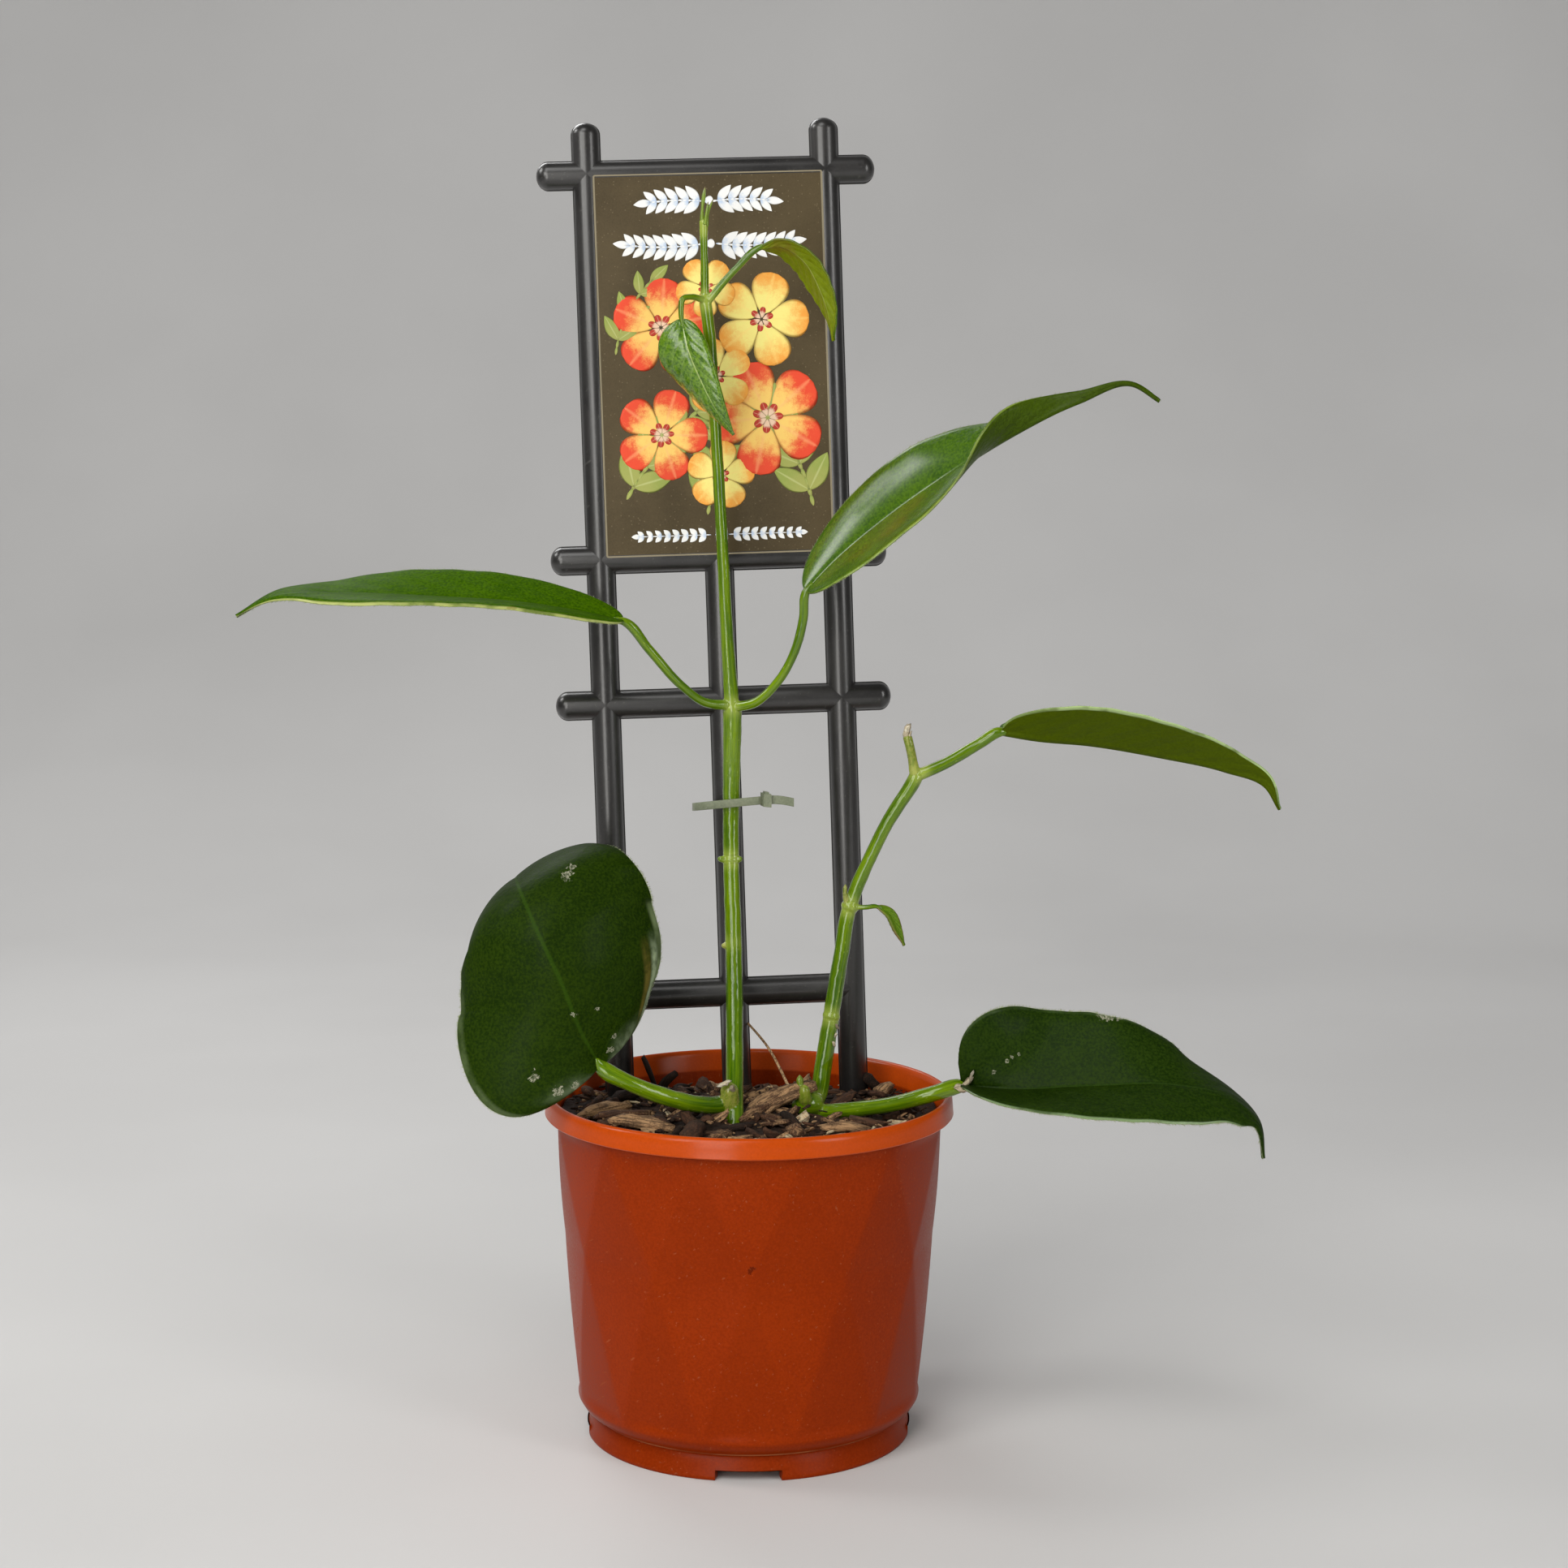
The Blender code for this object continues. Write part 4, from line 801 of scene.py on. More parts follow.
@dataclass(frozen=True)
class BarkFinish:
    """Damp bark and coir: each piece has a tone of its own, with fibres along it and dark pores."""

    name: str
    shade: Colour
    brown: Colour
    tan: Colour
    cream: Colour
    fibre_scale: float = 1300.0
    fibre_relief: float = 0.0005
    grain_relief: float = 0.0002

    def material(self, effects: Effects) -> bpy.types.Material:
        """The material, from the tone that each piece carries."""
        made, g, shader = new_material(self.name, Specular_Ior_Level=0.25)
        skin, tone = g.carried("skin"), g.carried("tone")
        fibres = g.noise(g.stretched(skin, (0.10, 1.0, 1.0)), self.fibre_scale, 4.0, 0.65)
        mottle = g.shared(effects.mottle, Place=skin, Blotches=260.0, Grain=1800.0, Share=0.4).outputs
        ground = g.plus(tone, g.step(mottle["Value"], 0.0, 1.0, -0.12, 0.12))
        colour = g.mix(g.step(ground, 0.05, 0.35), self.shade, self.brown)
        colour = g.mix(g.step(ground, 0.42, 0.72), colour, self.tan)
        colour = g.mix(g.step(ground, 0.85, 0.97), colour, self.cream)
        colour = g.mix(g.step(fibres, 0.56, 0.40, 0.0, 0.75), colour, scaled(self.brown, 0.30))
        coarse = g.bump(fibres, self.fibre_relief)
        g.feed(shader, Base_Color=colour, Roughness=g.step(fibres, 0.3, 0.7, 0.75, 0.95),
               Normal=g.bump(mottle["Fine"], self.grain_relief, normal=coarse))
        return made


@dataclass(frozen=True)
class CardFinish:
    """The card's ground: a mottled olive brown under a thin clear film, with fine printed grain."""

    name: str = "card_ground"
    dark: Colour = (0.062, 0.044, 0.019)
    light: Colour = (0.092, 0.067, 0.031)
    grain: Colour = (0.20, 0.16, 0.09)
    lip: Colour = (0.27, 0.23, 0.15)
    relief: float = 0.00002

    def material(self, effects: Effects) -> bpy.types.Material:
        """The material, with a light lip where the card carries one."""
        made, g, shader = new_material(self.name, Roughness=0.45, Specular_Ior_Level=0.22)
        own = g.own()
        mottle = g.shared(effects.mottle, Place=own, Blotches=28.0, Grain=1700.0, Share=0.25).outputs
        colour = g.mix(mottle["Value"], self.dark, self.light)
        colour = g.mix(g.step(g.cells(own, 620.0), 0.20, 0.06, 0.0, 0.55), colour, self.grain)
        colour = g.mix(g.carried("lip"), colour, self.lip)
        g.feed(shader, Base_Color=colour, Normal=g.bump(mottle["Fine"], self.relief))
        return made


@dataclass(frozen=True)
class InkFinish:
    """A printed shape: one colour at its base and another at its tip, with a line down its middle."""

    name: str
    base: Colour
    tip: Colour
    line: Colour
    turn_low: float = 0.25
    turn_high: float = 0.75
    line_share: float = 0.35

    def material(self, effects: Effects) -> bpy.types.Material:
        """The material, from how far along and across each shape a point lies."""
        made, g, shader = new_material(self.name, Roughness=0.45, Specular_Ior_Level=0.22)
        mottle = g.shared(effects.mottle, Place=g.own(), Blotches=330.0, Grain=2400.0, Share=0.3).outputs
        along, across = g.carried("along"), g.carried("across")
        upset = g.plus(along, g.step(mottle["Value"], 0.0, 1.0, -0.10, 0.10))
        colour = g.mix(g.step(upset, self.turn_low, self.turn_high), self.base, self.tip)
        middle = g.step(g.magnitude(across), 0.16, 0.0)
        colour = g.mix(g.times(middle, self.line_share), colour, self.line)
        border = g.step(g.magnitude(across), 0.72, 1.0, 0.0, 0.35)
        colour = g.mix(border, colour, scaled(self.tip, 0.7))
        g.feed(shader, Base_Color=colour)
        return made


# ---- Pot


@dataclass
class Pot:
    """The nursery pot: its turned wall with long low diamonds, its rim and skirt, and its notched foot."""

    rim_radius: float = 0.070
    rim_bottom: float = 0.1117
    rim_top: float = 0.1185
    rim_thickness: float = 0.0012
    body_top_radius: float = 0.0667
    body_top: float = 0.111
    body_bottom_radius: float = 0.0590
    body_bottom: float = 0.0135
    crease_radius: float = 0.0536
    foot_radius: float = 0.0556
    wall: float = 0.0015
    floor_top: float = 0.0054
    channel_height: float = 0.0039
    middle_radius: float = 0.0240
    notch_width: float = 0.022
    notch_height: float = 0.0034
    notch_count: int = 4
    facet_count: int = 12
    facet_depth: float = 0.0012
    facet_middle: float = 0.069
    facet_fade: float = 0.0035
    # The painted facet shade: how far below and above the middle it turns, its share in the diamonds, and how
    # soft its diamond edge is.
    shade_low: float = 0.022
    shade_high: float = 0.012
    shade_share: float = 0.8
    shade_soft: float = 0.04
    rows_to_wall: int = 8
    body_rows: int = 72
    columns: int = 360
    # The finish paints light on the rim, shade on the facets and above the foot, and a highlight line at the
    # crease.
    finish: PlasticFinish = PlasticFinish("orange_brown_plastic", dark=(0.224, 0.0205, 0.0001),
                                          light=(0.276, 0.0275, 0.0004), dust_and_highlight=(0.50, 0.22, 0.10),
                                          roughness=0.33, specular=0.07, blotches=30.0, fine_share=0.65,
                                          smudge=(0.0008, -0.0634, 0.0740), painted_highlight_height=0.0086,
                                          painted_rim_light=(0.510, 0.062, 0.0012))

    def inner_radius(self, height: float | Array) -> float | Array:
        """The inner radius at a height on the straight wall."""
        taper = (self.body_top_radius - self.body_bottom_radius) / (self.body_top - self.body_bottom)
        return self.body_bottom_radius + taper * (height - self.body_bottom) - self.wall

    def profile(self) -> Array:
        """The turned outline as (radius, height), from the floor's inside over the rim to its underside."""
        skirt = self.rim_radius - self.rim_thickness
        inside = [(0.0002, 0.0015), (self.middle_radius - 0.0015, 0.0015),
                  (self.middle_radius - 0.0005, self.floor_top),
                  (self.crease_radius - self.wall, self.floor_top),
                  (self.crease_radius - self.wall, 0.0086), (self.inner_radius(self.body_bottom), 0.0142)]
        wall = [(self.inner_radius(z), z) for z in np.linspace(0.020, self.body_top, 12)]
        rim = [(0.0660, 0.1140), (0.0664, 0.1163), (0.0667, 0.1174), (0.0672, 0.1182),
               (0.0677, self.rim_top), (0.0684, self.rim_top), (0.0690, 0.1181), (0.0694, 0.1176),
               (0.0696, 0.1168), (0.06975, 0.1150), (0.0699, 0.1127),
               (self.rim_radius, self.rim_bottom + 0.0004), (self.rim_radius - 0.0003, self.rim_bottom),
               (skirt + 0.0002, self.rim_bottom), (skirt, self.rim_bottom + 0.0003),
               (skirt - 0.0003, 0.1150), (skirt - 0.0008, 0.1158), (self.body_top_radius + 0.0008, 0.1158),
               (self.body_top_radius + 0.0001, 0.1150)]
        heights = np.linspace(self.body_top, self.body_bottom + 0.0004, self.body_rows)
        body = [(self.inner_radius(z) + self.wall, z) for z in heights]
        foot = [(0.0588, 0.0130), (0.0572, 0.0104), (0.0548, 0.0087), (0.0541, 0.0082), (0.0537, 0.0079),
                (0.0536, 0.0076), (0.0538, 0.0073), (0.0543, 0.0062), (0.0549, 0.0044), (0.0554, 0.0025),
                (0.0558, 0.0014), (0.0559, 0.0009), (0.0558, 0.0003), (self.foot_radius, 0.0), (0.0518, 0.0),
                (0.0516, 0.0003), (0.0515, self.channel_height), (0.0250, self.channel_height),
                (self.middle_radius, 0.0), (0.0002, 0.0)]
        return np.array(inside + wall + rim + body + foot)

    def turns(self) -> Array:
        """The columns' angles: even, with a close pair at each side of each notch."""
        half = math.asin(self.notch_width / 2 / self.foot_radius)
        centres = -np.pi / 2 + 2 * np.pi * np.arange(self.notch_count) / self.notch_count
        edges = (centres[:, None, None] + half * np.array([-1, 1])[:, None]
                 + np.array([-4e-4, 4e-4])).ravel()
        even = 2 * np.pi * np.arange(self.columns) / self.columns
        clear = np.abs((even[:, None] - edges + np.pi) % (2 * np.pi) - np.pi).min(axis=1) > 0.006
        return np.sort(np.concatenate([even[clear], edges % (2 * np.pi)]))

    def build(self, effects: Effects) -> None:
        """Turn the outline: x = r cos t and y = r sin t. In a notch no point lies below its top.

        The body is a cone with long, nearly flat facets: a ring of diamonds, with a triangle between each two
        above and below. At a height b of its half, from 0 in the middle to 1 at an end, a diamond spans 1 - b
        to each side of its centre, and r is less by depth x ((1 - b)^2 - a^2) at a place a across it. In a
        triangle r is less by depth x (b^2 - (1 - a)^2). The mesh carries a painted shade for the facets: it
        is deeper in the upper half of each diamond and in the lower triangles.
        """
        turn = self.turns()
        r, z = (np.repeat(part[:, None], len(turn), axis=1) for part in self.profile().T)
        spacing = 2 * np.pi / self.notch_count
        swing = (turn + np.pi / 2 + spacing / 2) % spacing - spacing / 2
        in_notch = np.abs(swing) < math.asin(self.notch_width / 2 / self.foot_radius)
        z = np.where(in_notch & (r > self.middle_radius + 0.002), np.maximum(z, self.notch_height), z)
        outside = np.zeros(len(r), bool)
        first = int(np.argmax(self.profile()[:, 0] >= self.rim_radius - 1e-6)) + self.rows_to_wall
        outside[first:first + self.body_rows] = True
        a = np.abs((turn / np.pi * self.facet_count) % 2 - 1)
        up, down = self.body_top - self.facet_middle, self.facet_middle - self.body_bottom
        b = np.clip(np.where(z > self.facet_middle, (z - self.facet_middle) / up,
                             (self.facet_middle - z) / down), 0, 1)
        flat = np.where(a < 1 - b, (1 - b) ** 2 - a**2, b**2 - (1 - a) ** 2)
        fade = eased(z, self.body_bottom, self.body_bottom + self.facet_fade)
        fade = fade * eased(-z, -self.body_top, self.facet_fade - self.body_top)
        r = r - np.where(outside[:, None], self.facet_depth * flat * fade, 0)
        points = np.stack([r * np.cos(turn), r * np.sin(turn), z], axis=-1)
        # Painted shade for the facets, carried on the mesh: deeper in the upper half of each diamond and in
        # the lower triangles.
        above = eased(z, self.facet_middle - self.shade_low, self.facet_middle + self.shade_high)
        in_diamond = eased(1 - b - a, -self.shade_soft, self.shade_soft)
        shaded = in_diamond * above * self.shade_share + (1 - in_diamond) * (1 - above)
        facet = np.where(outside[:, None], shaded * fade, 0)
        made = Weave().closed(points, facet=facet).build("pot_shell", sharp=32)
        place_piece(made, self.finish.material(effects), Slot.POT, "pot")


# ---- Potting mix


@dataclass
class BarkMix:
    """The potting mix: a lumpy bed in the pot, bark pieces of many sizes on it, and a straw."""

    height: float = 0.1120
    trench: tuple[tuple[float, float], ...] = ((0.0185, 0.0000), (0.0255, -0.0032), (0.0362, -0.0092),
                                               (0.0450, -0.0124))
    trench_depth: float = 0.0044
    trench_width: float = 0.0062
    back_drop: float = 0.008
    mound: float = 0.0018
    edge_height: float = 0.104
    rings: int = 70
    segments: int = 180
    small_count: int = 520
    small_sizes: Point = (0.0120, 0.0030, 0.0022)
    crumb_count: int = 620
    crumb_sizes: Point = (0.0034, 0.0012, 0.0026)
    gap: float = 0.0004
    seed: int = 11
    clear: tuple[Point, ...] = (
        # x, y, radius kept free round each stem's foot
        (-0.0050, -0.0220, 0.0035), (-0.0050, -0.0160, 0.0030), (0.0216, 0.0030, 0.0040),
        (0.0190, -0.0030, 0.0035), (0.0230, -0.0020, 0.0046), (0.0270, -0.0040, 0.0046),
        (0.0310, -0.0065, 0.0044), (0.0360, -0.0095, 0.0036), (0.0260, -0.0085, 0.0036),
        (0.0220, -0.0060, 0.0030), (-0.0120, -0.0200, 0.0015),
    )
    finish: BarkFinish = BarkFinish("bark_mix_damp", shade=(0.014, 0.008, 0.005),
                                    brown=(0.088, 0.040, 0.021), tan=(0.440, 0.262, 0.128),
                                    cream=(0.66, 0.54, 0.34))

    def top(self, x: Array, y: Array) -> Array:
        """The bed's height: a low mound at the front that falls away to the back, with lumps of three sizes.

        Along the side stalk it dips, by a bell curve of the distance to the stalk's line.
        """
        back = np.clip((y - 0.015) / 0.045, 0, 1)
        mound = self.mound * np.exp(-((x + 0.010) ** 2 + (y + 0.020) ** 2) / 0.030**2)
        place = np.stack([x, y, np.full_like(x, 0.3)], axis=-1)
        rough = 0.0013 * lumps(place, 95, 1) + 0.0009 * lumps(place, 260, 2) + 0.0004 * lumps(place, 700, 3)
        line = np.array(self.trench)
        line = smooth(fractions_along(line), line, np.linspace(0, 1, 24))
        away = np.hypot(x[..., None] - line[:, 0], y[..., None] - line[:, 1]).min(axis=-1)
        dip = self.trench_depth * np.exp(-((away / self.trench_width) ** 2))
        return self.height - self.back_drop * back**1.4 + mound + rough - dip

    def bed(self, pot: Pot) -> Weave:
        """The bed: rings out to the wall, then down inside the pot to its floor."""
        edge = pot.inner_radius(self.edge_height) - self.gap
        turn = 2 * np.pi * np.arange(self.segments) / self.segments
        radius = edge * np.linspace(0.004, 1, self.rings)[:, None] * np.ones_like(turn)
        x, y = radius * np.cos(turn), radius * np.sin(turn)
        z = self.top(x, y)
        bottom, crease = pot.floor_top + self.gap, pot.crease_radius - pot.wall - self.gap
        sides = np.array([(pot.inner_radius(0.060) - self.gap, 0.060),
                          (pot.inner_radius(0.0155) - self.gap, 0.0155), (crease, 0.0092),
                          (crease, bottom), (0.0005, bottom)])
        low = np.stack([sides[:, :1] * np.cos(turn), sides[:, :1] * np.sin(turn),
                        np.repeat(sides[:, 1:], len(turn), axis=1)], axis=-1)
        points = np.concatenate([np.stack([x, y, z], axis=-1), low])
        tone = 0.10 + 0.12 * lumps(points, 400, 5)
        return Weave().closed(points, tone=tone, skin=points)

    @staticmethod
    def pieces(centres: Array, sizes: Array, yaw: Array, pitch: Array, roll: Array, tones: Array,
               draws: np.random.Generator) -> tuple[Array, Array, Array]:
        """Splintered slabs: rings of six points, with half widths and half heights that change at random.

        Args:
            centres: each piece's middle.
            sizes: each piece's length, width and height.
            yaw: each piece's turn about Z, in radians.
            pitch: how far its length is tilted, in radians.
            roll: how far it is turned about its length, in radians.
            tones: each piece's tone.
            draws: the random draws.

        Returns:
            The grids, their own coordinates along the grain, and their tones.
        """
        count, rows, sides = len(centres), 6, 6
        t = np.linspace(-0.5, 0.5, rows)[None, :, None]
        turn = (2 * np.pi * (np.arange(sides) + 0.5) / sides)[None, None, :]
        taper = 1 - (2 * np.abs(t)) ** 3.0 * draws.uniform(0.2, 0.75, (count, 1, 1))
        ragged = draws.uniform(0.72, 1.12, (count, rows, sides))
        bend = draws.uniform(-0.14, 0.14, (count, 1, 1)) * (4 * t**2)
        x = (t + draws.uniform(-0.07, 0.07, (count, rows, sides))) * sizes[:, 0, None, None]
        y = np.cos(turn) * 0.5 * sizes[:, 1, None, None] * taper * ragged + bend * sizes[:, 0, None, None]
        z = np.sin(turn) * 0.58 * sizes[:, 2, None, None] * taper * ragged
        local = np.stack(np.broadcast_arrays(x, y, z), axis=-1)
        cr, sr, cp, sp, cy, sy = (f(a)[:, None, None] for a in (roll, pitch, yaw) for f in (np.cos, np.sin))
        x1, y, z = np.moveaxis(local, -1, 0)
        y1, z1 = y * cr - z * sr, y * sr + z * cr
        x2, z2 = x1 * cp + z1 * sp, -x1 * sp + z1 * cp
        turned = np.stack([x2 * cy - y1 * sy, x2 * sy + y1 * cy, z2], axis=-1)
        skin = local + draws.uniform(0, 1, (count, 1, 1, 3))
        return turned + centres[:, None, None], skin, np.broadcast_to(tones[:, None, None], turned.shape[:3])

    def scattered(self, pot: Pot, count: int, longest: float, shortest: float, lift: float,
                  draws: np.random.Generator, weave: Weave) -> None:
        """Pieces spread evenly over the bed, mostly lying flat.

        Args:
            pot: the pot that they lie in.
            count: how many.
            longest: the longest piece.
            shortest: the shortest piece.
            lift: how far above the bed their middles may lie.
            draws: the random draws.
            weave: takes the pieces.
        """
        length = shortest + (longest - shortest) * draws.uniform(0, 1, count) ** 2.2
        width = length * draws.uniform(0.28, 0.62, count)
        sizes = np.stack([length, width, length * draws.uniform(0.14, 0.34, count)], -1)
        edge = pot.inner_radius(self.edge_height) - 0.0012
        radius = (edge - length / 2) * np.sqrt(draws.uniform(0.0, 1.0, count))
        turn = draws.uniform(0, 2 * np.pi, count)
        x, y = radius * np.cos(turn), radius * np.sin(turn)
        centres = np.stack([x, y, self.top(x, y) + draws.uniform(-0.0004, lift, count)], axis=-1)
        tones = np.clip(draws.beta(1.3, 1.9, count), 0, 1) * 0.9
        tones = np.where(draws.uniform(0, 1, count) < 0.05, 0.98, tones)
        points, skin, tone = self.pieces(centres, sizes, draws.uniform(0, 2 * np.pi, count),
                                         draws.normal(0, 0.28, count), draws.normal(0, 0.5, count), tones,
                                         draws)
        stems = np.array(self.clear)
        away = np.hypot(x[:, None] - stems[:, 0], y[:, None] - stems[:, 1])
        away = away - stems[:, 2] - length[:, None] * 0.4
        keep = away.min(axis=1) > 0
        weave.closed(points[keep], tone=tone[keep], skin=skin[keep])

    def build(self, pot: Pot, effects: Effects) -> None:
        """Make the bed and its pieces, one object each."""
        look = self.finish.material(effects)
        place_piece(self.bed(pot).build("bark_bed"), look, Slot.MIX, "potting_mix")
        draws = np.random.default_rng(self.seed)
        weave = Weave()
        self.scattered(pot, self.small_count, *self.small_sizes, draws, weave)
        self.scattered(pot, self.crumb_count, *self.crumb_sizes, draws, weave)
        large = np.array([
            # x, y, z, length, width, height, yaw, pitch, roll, tone
            (0.0075, -0.0085, 0.1172, 0.031, 0.010, 0.0045, 36, -19, 25, 0.62),
            (0.0020, -0.0150, 0.1150, 0.020, 0.006, 0.0035, 48, -10, -10, 0.50),
            (-0.0500, -0.0130, 0.1150, 0.019, 0.007, 0.0040, 20, -8, 10, 0.66),
            (-0.0355, -0.0330, 0.1158, 0.021, 0.0085, 0.0035, -12, 6, 8, 0.64),
            (-0.0420, -0.0240, 0.1160, 0.018, 0.006, 0.0030, 8, 0, -12, 0.45),
            (0.0316, -0.0350, 0.1145, 0.017, 0.006, 0.0035, 10, 5, 12, 0.68),
            (0.0390, -0.0270, 0.1140, 0.013, 0.005, 0.0030, -30, 2, -8, 0.40),
            (0.0468, 0.0200, 0.1140, 0.012, 0.007, 0.0040, 60, -15, 0, 0.60),
            (0.0440, 0.0300, 0.1140, 0.011, 0.006, 0.0040, 30, 50, 0, 0.12),
            (-0.0190, -0.0450, 0.1150, 0.015, 0.008, 0.0050, 75, -10, 5, 0.30),
            (0.0150, -0.0470, 0.1150, 0.011, 0.008, 0.0060, 80, 20, 5, 0.52),
            (-0.0340, 0.0250, 0.1165, 0.022, 0.0040, 0.0014, 60, 58, 70, 0.05),
            (-0.0300, 0.0180, 0.1165, 0.015, 0.0036, 0.0013, 130, 50, 60, 0.03),
            (-0.0420, 0.0050, 0.1160, 0.016, 0.0050, 0.0040, 140, 20, 0, 0.04),
            (0.0170, 0.0100, 0.1160, 0.016, 0.005, 0.0030, 50, -25, 20, 0.70),
        ])
        points, skin, tone = self.pieces(large[:, :3], large[:, 3:6], *np.radians(large[:, 6:9]).T,
                                         large[:, 9], draws)
        weave.closed(points, tone=tone, skin=skin)
        self.straw(weave)
        place_piece(weave.build("bark_pieces"), look, Slot.MIX)

    @staticmethod
    def straw(weave: Weave) -> None:
        """A dry straw: a thin tube that leans out of the mix."""
        knots = np.array([(-0.0020, 0.0330, 0.1370), (0.0070, 0.0130, 0.1300), (0.0150, -0.0060, 0.1180)])
        route = smooth(fractions_along(knots), knots, np.linspace(0, 1, 30))
        radii = np.interp(np.linspace(0, 1, 30), [0, 0.05, 0.7, 1], [0.0001, 0.0004, 0.0005, 0.0006])
        rings = tube(route, radii, 8, (1.0, 0.0, 0.0))[0]
        weave.closed(rings, tone=0.80, skin=rings[..., [2, 0, 1]])


# ---- Trellis


class RailEnd(Enum):
    """How a rail of the trellis ends."""

    DOME = "dome"
    POINT = "point"
    PLAIN = "plain"


@dataclass(frozen=True)
class TrellisFrame:
    """The trellis's own frame: x along its bars, y up its posts from the soil, z out of its front."""

    origin: Point = (-0.0041, 0.0270, 0.1100)
    yaw: float = 3.0
    lean: float = 4.0
    roll: float = 1.87

    def axes(self) -> Array:
        """The frame's x, y and z directions, one in each row."""
        yaw, lean, roll = map(math.radians, (self.yaw, self.lean, self.roll))
        along = np.array([math.cos(yaw), math.sin(yaw), 0])
        front = np.array([math.sin(yaw), -math.cos(yaw), 0])
        up = math.cos(lean) * np.array([0, 0, 1]) - math.sin(lean) * front
        out = math.cos(lean) * front + math.sin(lean) * np.array([0, 0, 1])
        return np.array([math.cos(roll) * along + math.sin(roll) * up,
                         math.cos(roll) * up - math.sin(roll) * along, out])

    def world(self, points: Array) -> Array:
        """Points in this frame, in the world."""
        return np.asarray(points) @ self.axes() + self.origin


@dataclass
class Trellis:
    """The ladder trellis: half-round posts and bars with domed ends, and the panel behind the card."""

    place: TrellisFrame = TrellisFrame()
    post_spacing: float = 0.0413
    post_top: float = 0.3413
    post_bottom: float = -0.085
    width: float = 0.0094
    depth: float = 0.0050
    flange_width: float = 0.0102
    flange_depth: float = 0.0008
    reach: float = 0.0588
    top_bar: float = 0.3232
    card_bar: float = 0.1903
    middle_bar: float = 0.1397
    low_bar: float = 0.0372
    dome: float = 0.0042
    point: float = 0.015
    finish: PlasticFinish = PlasticFinish("black_plastic", dark=(0.0120, 0.0112, 0.0108),
                                          light=(0.0205, 0.0190, 0.0180), dust_and_highlight=(0.18, 0.17, 0.155),
                                          roughness=0.34, grain=0.000012, specular=0.62, coat=0.40)

    def section(self) -> Array:
        """A rail's section as (across, out): a flat flanged back, and a front of half an ellipse."""
        back, half = -self.depth / 2, self.flange_width / 2
        turn = np.linspace(0, np.pi, 25)
        front = back + self.flange_depth
        arc = np.stack([self.width / 2 * np.cos(turn), front + (self.depth - self.flange_depth)
                        * np.sin(turn)], -1)
        soft = 0.00018
        right = np.array([(half - soft, back), (half, back + soft), (half, front - soft),
                          (half - soft, front)])
        return np.concatenate([right, arc, right[::-1] * (-1, 1)])

    def rail(self, start: float, end: float, place: float, upright: bool, low: RailEnd,
             high: RailEnd) -> Array:
        """One rail: the section at each ring, drawn in towards the middle of its back near an end.

        A dome's share is sqrt(1 - (1 - s)^2) for a depth s into it, and a point's share grows evenly.

        Args:
            start: where it starts along its length.
            end: where it ends.
            place: where it lies across its length.
            upright: whether it is a post.
            low: the end at start.
            high: the end at end.

        Returns:
            Its rings of points, in the world.
        """
        steps = np.linspace(0, 1, 12) ** 1.6
        ends = {RailEnd.DOME: (steps * self.dome, np.sqrt(np.maximum(1 - (1 - steps) ** 2, 0.0025))),
                RailEnd.POINT: (np.array([0.0, self.point]), np.array([0.3, 1.0])),
                RailEnd.PLAIN: (np.zeros(1), np.ones(1))}
        (low_steps, low_shares), (high_steps, high_shares) = ends[low], ends[high]
        along = np.concatenate([start + low_steps, end - high_steps[::-1]])[:, None]
        share = np.concatenate([low_shares, high_shares[::-1]])[:, None]
        section = self.section()
        across = place + section[:, 0] * share
        out = -self.depth / 2 + (section[:, 1] + self.depth / 2) * share
        along = np.broadcast_to(along, across.shape)
        return self.place.world(np.stack([across, along, out] if upright else [along, across, out], axis=-1))

    def panel(self) -> Array:
        """The panel behind the card, with softened edges, as rings from its back to its front."""
        low, high = self.card_bar, self.top_bar
        levels = np.array([(0.0002, 0.0002), (0.0004, 0.0), (0.00165, 0.0), (0.0018, 0.0002)])
        rings = []
        for out, inset in levels:
            x, y = self.post_spacing - inset, inset
            rings.append([(-x, low + y, out), (x, low + y, out), (x, high - y, out), (-x, high - y, out)])
        return self.place.world(np.array(rings))

    def build(self, effects: Effects) -> None:
        """Make all rails and the panel as one object."""
        dome, point, plain = RailEnd.DOME, RailEnd.POINT, RailEnd.PLAIN
        weave = Weave()
        for place, top, high in ((-self.post_spacing, self.post_top, dome),
                                 (self.post_spacing, self.post_top, dome), (0.0, self.card_bar, plain)):
            weave.closed(self.rail(self.post_bottom, top, place, True, point, high))
        for place in (self.top_bar, self.card_bar, self.middle_bar):
            weave.closed(self.rail(-self.reach, self.reach, place, False, dome, dome))
        weave.closed(self.rail(-self.post_spacing, self.post_spacing, self.low_bar, False, plain, plain))
        weave.closed(self.panel())
        place_piece(weave.build("trellis_rails", sharp=28), self.finish.material(effects), Slot.TRELLIS,
                    "trellis")


# ---- Card


def lens(middle: Array, normals: Array, half: Array) -> Array:
    """A closed shell round a sheet: its columns over the top, and back below.

    Args:
        middle: the sheet, rows x columns x 3, or many along a first axis.
        normals: the sheet's normals.
        half: half its thickness at each point, nothing at its two side columns.

    Returns:
        Rings of points, which go once round the sheet.
    """
    rise = normals * half[..., None]
    top, low = middle + rise, middle - rise
    return np.concatenate([top, low[..., -2:0:-1, :]], axis=-2)


def round_the_edge(values: Array) -> Array:
    """The values that go with a lens's rings."""
    return np.concatenate([values, values[..., -2:0:-1]], axis=-1)


